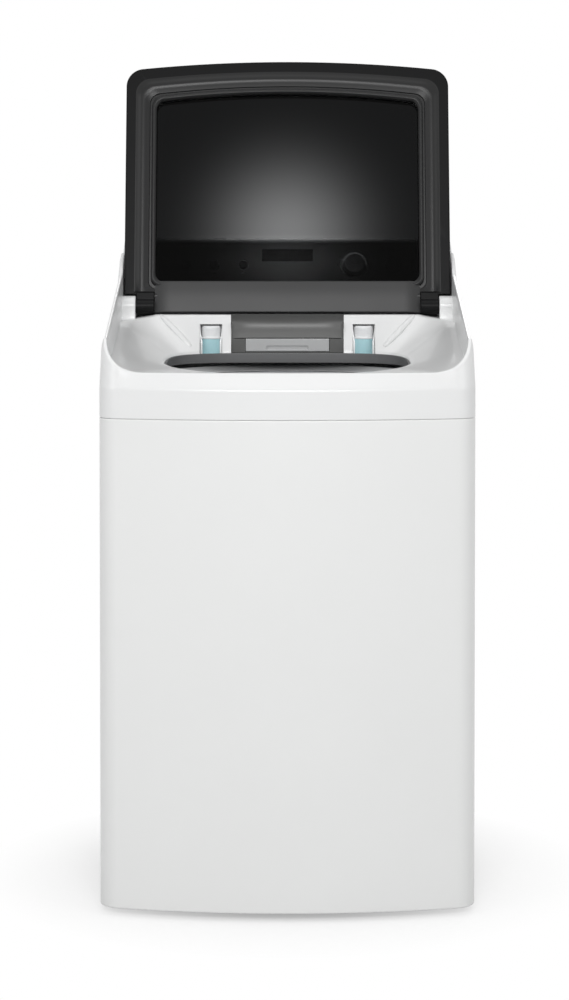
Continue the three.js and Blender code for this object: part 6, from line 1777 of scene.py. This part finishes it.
def makePulsator():
    p = pulsatorDisc
    rings, segments = 56, 240
    outerRadius = p["radius"] - 0.0008

    def topHeight(radius, angle):
        # the plate, its hub and the swept vanes as one flowing surface
        z = pulsatorTop(radius)
        share = max(0.0, min(1.0, (radius - p["hub"] * 0.5) / ((p["radius"] - p["hub"] * 0.5) * 0.86)))
        best = 0.0
        for i in range(p["vanes"]):
            middle = 2 * math.pi * i / p["vanes"] + p["sweep"] * share * share
            away = (angle - middle + math.pi) % (2 * math.pi) - math.pi
            half = p["vaneWidth"] * (1 - share * 0.5)
            offset = abs(away) * radius / half
            if offset < 1:
                rise = (1 - offset ** 2.4) ** 0.8
                height = p["vaneHeight"] * math.cos(share * quarter) + 0.004 * (1 - share)
                fade = max(0.0, min(1.0, (p["radius"] * 0.93 - radius) / 0.012))
                best = max(best, rise * height * fade)
        hubShare = min(1.0, radius / p["hub"])
        dome = (p["hubHeight"] - p["thickness"]) * max(0.0, 1 - hubShare ** 3.2) ** 0.7
        return max(z + best, p["z"] + p["thickness"] + dome)

    surface = []
    for j in range(rings + 1):
        radius = 0.001 + (outerRadius - 0.001) * (j / rings)
        surface.append([Vector((radius * math.cos(2 * math.pi * i / segments),
                                drum["y"] + radius * math.sin(2 * math.pi * i / segments),
                                topHeight(radius, 2 * math.pi * i / segments))) for i in range(segments)])
    for radius, drop in ((p["radius"], 0.0012), (p["radius"], 0.0042), (outerRadius, 0.005)):
        surface.append([Vector((radius * math.cos(2 * math.pi * i / segments),
                                drum["y"] + radius * math.sin(2 * math.pi * i / segments),
                                pulsatorTop(radius) - drop)) for i in range(segments)])
    for share in (0.75, 0.5, 0.25, 0.02):
        radius = p["radius"] * share
        surface.append([Vector((radius * math.cos(2 * math.pi * i / segments),
                                drum["y"] + radius * math.sin(2 * math.pi * i / segments),
                                pulsatorTop(radius) - p["thickness"])) for i in range(segments)])
    body = stitched("pulsator_vaned", surface, capped=True)
    outwards(body)
    holes = []
    for row, radius in enumerate((0.083, 0.104, 0.125, 0.146)):
        count = p["vanes"] * (2 + row)
        for i in range(count):
            angle = 2 * math.pi * (i + 0.5) / count + p["sweep"] * ((radius - 0.018) / 0.132) ** 2
            near = min(abs((angle - 2 * math.pi * k / p["vanes"] - p["sweep"] * ((radius - 0.018) / 0.132) ** 2 + math.pi)
                           % (2 * math.pi) - math.pi) for k in range(p["vanes"]))
            if near * radius > 0.018:
                holes.append(rodAlong("drain", "Z", (radius * math.cos(angle), drum["y"] + radius * math.sin(angle)),
                                      0.0021, 0.43, 0.47, 12))
    cutBy(body, joinedPieces("drains", holes))
    shaded(body, 40)
    hubCap = turnedSolid("hubCap", [(0, 0.4695), (0.0135, 0.4695), (0.0145, 0.4703), (0.0145, 0.4712),
                                    (0.013, 0.4719), (0, 0.47195)], 0, drum["y"], 64)
    softened(hubCap, 0, angle=40)
    fit(body, dressed["pulsatorPlastic"], "pulsator", ["pulsator"])
    fit(joinedPieces("pulsator_hub_cap", [hubCap]), dressed["controlMetal"], "pulsator")


def makeLintFilters():
    # a slim frame against the wall with a mesh of bars in it
    wall = drum["radius"] - drum["wall"] - 0.0006
    halfAngle = math.asin(0.042 / wall)
    for side, word in ((-1, "left"), (1, "right")):
        middle = 0 if side > 0 else math.pi
        steps = 24
        rings = []
        for z, ease in ((0.56, 0.35), (0.5615, 0.1), (0.564, 0.0), (0.696, 0.0), (0.6985, 0.1), (0.7, 0.35)):
            ring = []
            for i in range(steps + 1):
                angle = middle - halfAngle + 2 * halfAngle * i / steps
                ring.append(Vector((wall * 0.9975 * math.cos(angle), drum["y"] + wall * 0.9975 * math.sin(angle), z)))
            for i in range(steps + 1):
                share = 1 - 2 * i / steps
                angle = middle + halfAngle * 0.9 * share
                depth = 0.012 * (1 - ease) * (1 - 0.75 * abs(share) ** 4)
                ring.append(Vector(((wall - depth) * math.cos(angle), drum["y"] + (wall - depth) * math.sin(angle), z)))
            rings.append(ring)
        body = stitched("lintBody", rings, capped=True)
        outwards(body)
        slots = []
        for row in range(9):
            for column in range(5):
                z = 0.577 + 0.0135 * row
                angle = middle + halfAngle * (-0.62 + 0.31 * column)
                slot = blockOf("slot", (-0.02, -0.0048, z - 0.0045), (0.0, 0.0048, z + 0.0045))
                slot.data.transform(Matrix.Translation((0, drum["y"], 0)) @ Matrix.Rotation(angle, 4, "Z")
                                    @ Matrix.Translation((wall - 0.0012, 0, 0)))
                slots.append(slot)
        cutBy(body, joinedPieces("slots", slots))
        shaded(body, 36)
        body.name = "lint_filter_" + word + "_grille"
        fit(body, dressed["whitePlastic"], "drum", ["lint_filter_" + word])


makeBasket()
makeBalanceRing()
makePulsator()
makeLintFilters()
print("drum filled")


# What hangs below the drum, and the machine's foot and back
def lathe(name, profile, x=0.0, y=drum["y"], soft=0.001, segments=96, angle=36):
    # a closed profile of (radius, z) with rounded corners, turned about an upright axis
    radii = [0 if point[0] == 0 else soft for point in profile]
    line = closedSoftLine([(radius, 0, z) for radius, z in profile], radii, 3)
    piece = turnedPiece(name, [(point.x, point.z) for point in line], x, y, segments)
    outwards(piece)
    shaded(piece, angle)
    return piece


def turnedTo(piece, angle, x=0.0, y=drum["y"]):
    piece.data.transform(Matrix.Translation((x, y, 0)) @ Matrix.Rotation(angle, 4, "Z")
                         @ Matrix.Translation((-x, -y, 0)))
    return piece


def layBack(piece, x, z):
    # from an upright axis at the origin to one that runs to the rear through x and z
    piece.data.transform(Matrix(((1, 0, 0, x), (0, 0, 1, 0), (0, -1, 0, z), (0, 0, 0, 1))))
    return piece


def boltHead(x, y, z, across=0.0045, height=0.003, down=True):
    # a hexagon head with a washer, hanging below z or standing on it
    way = -1 if down else 1
    rings = []
    for radius, share in ((across * 0.98, 0.3), (across, 0.34), (across, 0.9), (across * 0.86, 1.0)):
        rings.append([Vector((x + radius * math.cos(math.pi / 3 * k), y + radius * math.sin(math.pi / 3 * k),
                              z + way * height * share)) for k in range(6)])
    head = stitched("head", rings, capped=True)
    outwards(head)
    washer = turnedPiece("washer", [(across * 0.3, z), (across * 1.5, z), (across * 1.5, z + way * height * 0.22),
                                    (across * 1.3, z + way * height * 0.32), (across * 0.3, z + way * height * 0.32)],
                         x, y, 24)
    outwards(washer)
    shaded(washer, 30)
    return [head, washer]


tubRing = {
    "inner": 0.205,
    "innerZ": 0.8385,
    "crown": 0.2275,
    "crownZ": 0.8476,
    "outer": 0.2432,
    "skirtZ": 0.8224,
    "rimRadius": 0.2401,
    "clips": 16,
}
hanging = {"tubRadius": 0.24, "floorRadius": 0.234, "floorZ": 0.4, "rimZ": 0.838, "ribDepth": 0.006, "ribs": 24,
           "hoops": (0.47, 0.56, 0.65, 0.74), "carrierZ": 0.392}


def makeTubRing():
    t = tubRing
    profile = [(t["inner"], t["innerZ"] - 0.0004), (t["rimRadius"], 0.8384), (t["rimRadius"], t["skirtZ"]),
               (t["outer"], t["skirtZ"]), (t["outer"], 0.8435), (t["crown"] + 0.011, t["crownZ"] - 0.0012),
               (t["crown"], t["crownZ"]), (t["inner"], t["innerZ"] + 0.0008)]
    ring = lathe("ring", profile, soft=0.0008, segments=180, angle=40)
    clips = []
    for i in range(t["clips"]):
        clip = blockOf("clip", (t["outer"] - 0.001, -0.009, t["skirtZ"] - 0.004), (t["outer"] + 0.0022, 0.009, 0.8425),
                       0.0009, 2)
        clip.data.transform(Matrix.Translation((0, drum["y"], 0)))
        clips.append(turnedTo(clip, 2 * math.pi * (i + 0.5) / t["clips"]))
    fit(joinedPieces("tub_cover_moulded", [ring] + clips), dressed["coverRingPlastic"], "tub",
        ["tub_cover_ring"])


def makeTubRibs():
    h = hanging
    parts = []
    for z in h["hoops"]:
        share = (z - h["floorZ"]) / (h["rimZ"] - h["floorZ"])
        radius = h["floorRadius"] + (h["tubRadius"] - h["floorRadius"]) * share
        parts.append(lathe("hoop", [(radius - 0.0006, z - 0.0015), (radius + h["ribDepth"], z - 0.0011),
                                    (radius + h["ribDepth"], z + 0.0011), (radius - 0.0006, z + 0.0015)],
                           soft=0.0006, segments=120))
    for i in range(h["ribs"]):
        angle = 2 * math.pi * (i + 0.5) / h["ribs"]
        rings = []
        for z, reach in ((0.432, 0.2), (0.444, 1), (0.8, 1), (0.812, 0.2)):
            share = (z - h["floorZ"]) / (h["rimZ"] - h["floorZ"])
            base = h["floorRadius"] + (h["tubRadius"] - h["floorRadius"]) * share - 0.0006
            rings.append([Vector((base + out, drum["y"] + across, z)) for out, across in (
                (0, -0.0016), (h["ribDepth"] * reach, -0.001), (h["ribDepth"] * reach, 0.001), (0, 0.0016))])
        rib = stitched("rib", rings, capped=True)
        outwards(rib)
        parts.append(turnedTo(rib, angle))
        floorRib = blockOf("floorRib", (0.108, -0.0013, h["floorZ"] - 0.0035), (0.206, 0.0013, h["floorZ"] + 0.0005))
        floorRib.data.transform(Matrix.Translation((0, drum["y"], 0)))
        if all(abs((angle - lug + math.pi) % (2 * math.pi) - math.pi) > 0.2 for lug in (0.785, 2.356, 3.927, 5.498)):
            parts.append(turnedTo(floorRib, angle))
        else:
            bpy.data.objects.remove(floorRib)
    fit(joinedPieces("outer_tub_ribs", parts), dressed["tubPlastic"], "tub")


drive = {
    "motor": (-0.16, -0.05),
    "motorRadius": 0.062,
    "motorZ": (0.286, 0.3917),
    "gearcaseRadius": 0.074,
    "flangeZ": 0.3867,
    "pulleyZ": 0.262,
    "pulleyRadius": 0.066,
}


def makeDrive():
    x, y = drive["motor"]
    low, high = drive["motorZ"]
    stack = [lathe("lamination", [(drive["motorRadius"] - 0.001, z), (drive["motorRadius"] + 0.0014, z),
                                  (drive["motorRadius"] + 0.0014, z + 0.0011), (drive["motorRadius"] - 0.001, z + 0.0011)],
                   x, y, 0.0002, 72) for z in (low + 0.034 + 0.0022 * k for k in range(17))]
    fit(joinedPieces("motor_laminations", stack), dressed["zincSteel"], "tub")
    lugs = []
    for k in range(4):
        angle = quarter * (k + 0.5)
        reach = drive["motorRadius"] + 0.0042
        boltX, boltY = x + reach * math.cos(angle), y + reach * math.sin(angle)
        lugs.append(lathe("throughBolt", [(0, low + 0.016), (0.0034, low + 0.016), (0.0034, high - 0.014),
                                          (0, high - 0.014)], boltX, boltY, 0.0006, 20))
        lugs += boltHead(boltX, boltY, low + 0.016)
    for k in range(6):
        angle = math.pi / 3 * k
        lugs += boltHead(0.08 * math.cos(angle), drum["y"] + 0.08 * math.sin(angle), drive["flangeZ"])
    for k in range(8):
        angle = quarter / 2 * (2 * k + 1)
        for reach in (0.135, 0.172):
            if k % 2 == 0:
                lugs += boltHead(reach * math.cos(angle), drum["y"] + reach * math.sin(angle), hanging["carrierZ"])
    fit(joinedPieces("drive_bolts", lugs), dressed["zincSteel"], "tub")
    fins = []
    for k in range(16):
        fin = blockOf("fin", (drive["gearcaseRadius"] - 0.001, -0.0013, 0.302), (drive["gearcaseRadius"] + 0.0065, 0.0013,
                                                                                 drive["flangeZ"] + 0.0003), 0.0006, 2)
        fin.data.transform(Matrix.Translation((0, drum["y"], 0)))
        fins.append(turnedTo(fin, 2 * math.pi * (k + 0.5) / 16))
    fit(joinedPieces("gearcase_fins", fins), dressed["castAlloy"], "tub")
    webs = []
    for k in range(6):
        web = blockOf("web", (0.014, -0.0022, drive["pulleyZ"] - 0.0125), (0.052, 0.0022, drive["pulleyZ"] - 0.0085),
                      0.0009, 2)
        web.data.transform(Matrix.Translation((0, drum["y"], 0)))
        webs.append(turnedTo(web, math.pi / 3 * k))
    webs.append(lathe("pulleyRim", [(0.052, drive["pulleyZ"] - 0.0125), (0.058, drive["pulleyZ"] - 0.0125),
                                    (0.058, drive["pulleyZ"] - 0.0085), (0.052, drive["pulleyZ"] - 0.0085)], soft=0.0008))
    fit(joinedPieces("drive_pulley_webs", webs), dressed["castAlloy"], "pulsator")
    blades = []
    for k in range(10):
        blade = blockOf("blade", (0.008, -0.0009, -0.0032), (0.0225, 0.0009, 0.0), 0.0004, 1)
        blade.data.transform(Matrix.Translation((x, y, drive["pulleyZ"] - 0.0085)))
        blades.append(turnedTo(blade, math.pi / 5 * k, x, y))
    fit(joinedPieces("motor_fan_blades", blades), dressed["blackPlastic"], "motor_pulley")


def makeRodFittings():
    nuts = []
    for x, y in cabinet["rodPlaces"]:
        nuts.append(lathe("cupRim", [(0.0195, 0.3572), (0.0226, 0.3572), (0.0226, 0.3665), (0.0212, 0.3665),
                                     (0.0205, 0.3638), (0.0195, 0.363)], x, y, 0.0005, 48))
        nuts += boltHead(x, y, 0.3572, 0.0062, 0.005)
    fit(joinedPieces("suspension_cup_rims", nuts), dressed["zincSteel"], "cabinet")


makeTubRing()
makeTubRibs()
makeDrive()
makeRodFittings()
print("tub and drive fitted")


# Back and foot: screws, hose threads, cord bush and treads
rear = {"y": 0.3, "screwX": 0.277, "screwZ": (0.1, 0.236, 0.372, 0.508, 0.644, 0.76), "inletX": (-0.197, -0.139),
        "inletZ": 0.968, "inletRadius": 0.0131, "outlet": (0.172, 0.088), "bush": (0.19, 0.72)}


def ringsAlong(name, places, radius, rise, x, z, width=0.0011):
    # ridges round a pipe that runs to the rear
    rings = []
    for y in places:
        ring = turnedPiece(name, [(radius - 0.0004, y - width), (radius + rise, y - width * 0.35),
                                  (radius + rise, y + width * 0.35), (radius - 0.0004, y + width)], 0, 0, 56)
        outwards(ring)
        shaded(ring, 50)
        rings.append(layBack(ring, x, z))
    return rings


def makeRear():
    screws = []
    for z in rear["screwZ"]:
        for side in (-1, 1):
            head = screwHead(0, 0, 0.0042, 0.0016)
            washer = turnedPiece("washer", [(0.002, 0), (0.0068, 0), (0.0066, 0.0006), (0.0042, 0.0008),
                                            (0.002, 0.0008)], 0, 0, 32)
            outwards(washer)
            shaded(washer, 30)
            for part in (head, washer):
                part.data.transform(Matrix.Translation((0, 0, rear["y"] + 0.0001)))
                screws.append(layBack(part, side * rear["screwX"], z))
    fit(joinedPieces("rear_screws", screws), dressed["zincSteel"], "cabinet")
    threads = []
    for x in rear["inletX"]:
        threads += ringsAlong("thread", [0.3068 + 0.0022 * k for k in range(5)], rear["inletRadius"], 0.0009, x,
                              rear["inletZ"], 0.0009)
    fit(joinedPieces("inlet_threads", threads), dressed["whitePlastic"], "cabinet")
    for x, word, colour in zip(rear["inletX"], ("hot", "cold"), ("signalRed", "signalBlue")):
        band = ringsAlong("band", (0.3026,), rear["inletRadius"], 0.0016, x, rear["inletZ"], 0.0019)
        fit(joinedPieces("inlet_band_" + word, band), dressed[colour], "cabinet")
    x, z = rear["outlet"]
    barbs = ringsAlong("barb", (0.3065, 0.3105, 0.3145), 0.0141, 0.0011, x, z, 0.0016)
    fit(joinedPieces("outlet_barbs", barbs), dressed["blackRubber"], "cabinet")
    x, z = rear["bush"]
    lips = ringsAlong("bushLip", (0.3032,), 0.0148, 0.0012, x, z, 0.0022)
    fit(joinedPieces("cord_bush_lip", lips), dressed["blackRubber"], "cabinet")


def makeTreads():
    for side, left in ((-1, "left"), (1, "right")):
        for end, word in ((-1, "front"), (1, "rear")):
            x, y = side * 0.236, end * 0.226
            ribs = [turnedPiece("tread", [(0.0229, z), (0.0235, z + 0.0004), (0.0235, z + 0.0009), (0.0229, z + 0.0013)],
                                x, y, 48) for z in (0.0018, 0.0042)]
            for rib in ribs:
                outwards(rib)
                shaded(rib, 40)
            body = "foot_" + word + "_" + left
            fit(joinedPieces(body + "_treads", ribs), dressed["blackRubber"], body)


makeRear()
makeTreads()
print("back and feet fitted")


# Springs and bellows between the cabinet and the tub, which shorten as the tub travels; here each is built once, to the
# size of the frame's piece
coil = {"radius": 0.015, "wire": 0.002, "turns": 5, "perTurn": 32, "sides": 12, "groundTurns": 0.75}
bellows = {"radius": 0.022, "ribDepth": 0.005, "bore": 0.013, "ribs": 9, "rise": 0.28, "cuff": 0.012, "soft": 0.0016}


def stretches(piece, material, node):
    # its foot sits on the cabinet and its head on the tub; here it is only dressed and put in the machine's own axes,
    # and the frame's piece hidden
    dress(piece, material)
    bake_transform(piece)
    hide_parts(node)


def makeSprings():
    turn = 2 * math.pi
    for word in ("front_left", "front_right", "rear_left", "rear_right"):
        low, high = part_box("suspension_spring_" + word)
        centre = (low + high) / 2
        steps = coil["turns"] * coil["perTurn"]
        rise = high.z - low.z - 2 * coil["wire"]
        slope = rise / (turn * coil["turns"])
        rings = []
        for i in range(steps + 1):
            angle = turn * i / coil["perTurn"]
            out = Vector((math.cos(angle), math.sin(angle), 0))
            along = Vector((-coil["radius"] * out.y, coil["radius"] * out.x, slope)).normalized()
            across = along.cross(out)
            middle = Vector((centre.x, centre.y, low.z + coil["wire"] + rise * i / steps)) + out * coil["radius"]
            rings.append([middle + coil["wire"] * (out * math.cos(turn * k / coil["sides"])
                                                   + across * math.sin(turn * k / coil["sides"]))
                          for k in range(coil["sides"])])
        piece = stitched("suspension_coil_" + word, rings, capped=True)
        outwards(piece)
        shaded(piece, 50)
        stretches(piece, dressed["zincSteel"], "suspension_spring_" + word)


def makeBellows():
    b = bellows
    low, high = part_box("drain_bellows")
    centre = (low + high) / 2
    pitch = (high.z - low.z - 2 * b["cuff"]) / b["ribs"]
    inner = b["radius"] - b["ribDepth"]
    outside = [(inner, low.z)]
    for i in range(b["ribs"]):
        foot = low.z + b["cuff"] + pitch * i
        outside += [(inner, foot + 0.002), (b["radius"], foot + pitch * b["rise"]),
                    (b["radius"], foot + pitch * (1 - b["rise"])), (inner, foot + pitch - 0.002)]
    outside.append((inner, high.z))
    inside = [(b["bore"], high.z)]
    inside += [(b["bore"], high.z + (low.z - high.z) * i / 24) for i in range(1, 24)]
    inside.append((b["bore"], low.z))
    piece = lathe("drain_bellows_ribbed", outside + inside, centre.x, centre.y, b["soft"], 64)
    stretches(piece, dressed["blackRubber"], "drain_bellows")


makeSprings()
makeBellows()
print("springs and bellows set")


# The frame's own solids keep their shapes and get their finishes
nodeFinishes = {
    "coverPlastic": ("top_cover",),
    "whitePaint": ("cabinet_wrap", "rear_panel"),
    "housingPlastic": ("console_housing",),
    "fasciaPlastic": ("control_fascia",),
    "displayGloss": ("display_window",),
    "controlMetal": ("dial",),
    "buttonPlastic": ("power_button", "start_button", "option_button_1", "option_button_2", "option_button_3"),
    "lidPlastic": ("lid_frame",),
    "bezelPlastic": ("lid_inner_frame",),
    "tintedGlass": ("lid_glass",),
    "cupPlastic": ("dosing_cup_left", "dosing_cup_right"),
    "capWhite": ("dosing_cap_left", "dosing_cap_right"),
    "whitePlastic": ("detergent_housing", "detergent_drawer", "inlet_valve", "drain_pump", "lint_filter_left",
                     "lint_filter_right", "pulsator", "balance_ring"),
    "tubPlastic": ("outer_tub", "tub_cover_ring"),
    "stainless": ("basket",),
    "zincSteel": ("tub_carrier", "tub_bearing", "spin_shaft", "drive_shaft", "hinge_pin_left", "hinge_pin_right",
                  "suspension_rod_front_left", "suspension_rod_front_right", "suspension_rod_rear_left",
                  "suspension_rod_rear_right", "suspension_spring_front_left", "suspension_spring_front_right",
                  "suspension_spring_rear_left", "suspension_spring_rear_right", "motor_pulley"),
    "castAlloy": ("gearcase", "drive_pulley"),
    "motorPaint": ("motor",),
    "blackPlastic": ("base_frame", "pressure_sensor", "lid_switch", "drain_outlet"),
    "blackRubber": ("drain_bellows", "power_grommet", "drive_belt", "foot_front_left", "foot_front_right",
                    "foot_rear_left", "foot_rear_right"),
}


def dressNodes():
    done = set()
    for name, members in nodeFinishes.items():
        for member in members:
            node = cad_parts[member]
            if not node.material_slots:
                node.data.materials.append(None)
            for slot in node.material_slots:
                slot.material = dressed[name]
            done.add(member)
    missing = sorted(set(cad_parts) - done)
    if missing:
        print("not dressed:", missing)


dressNodes()
print("frame dressed")
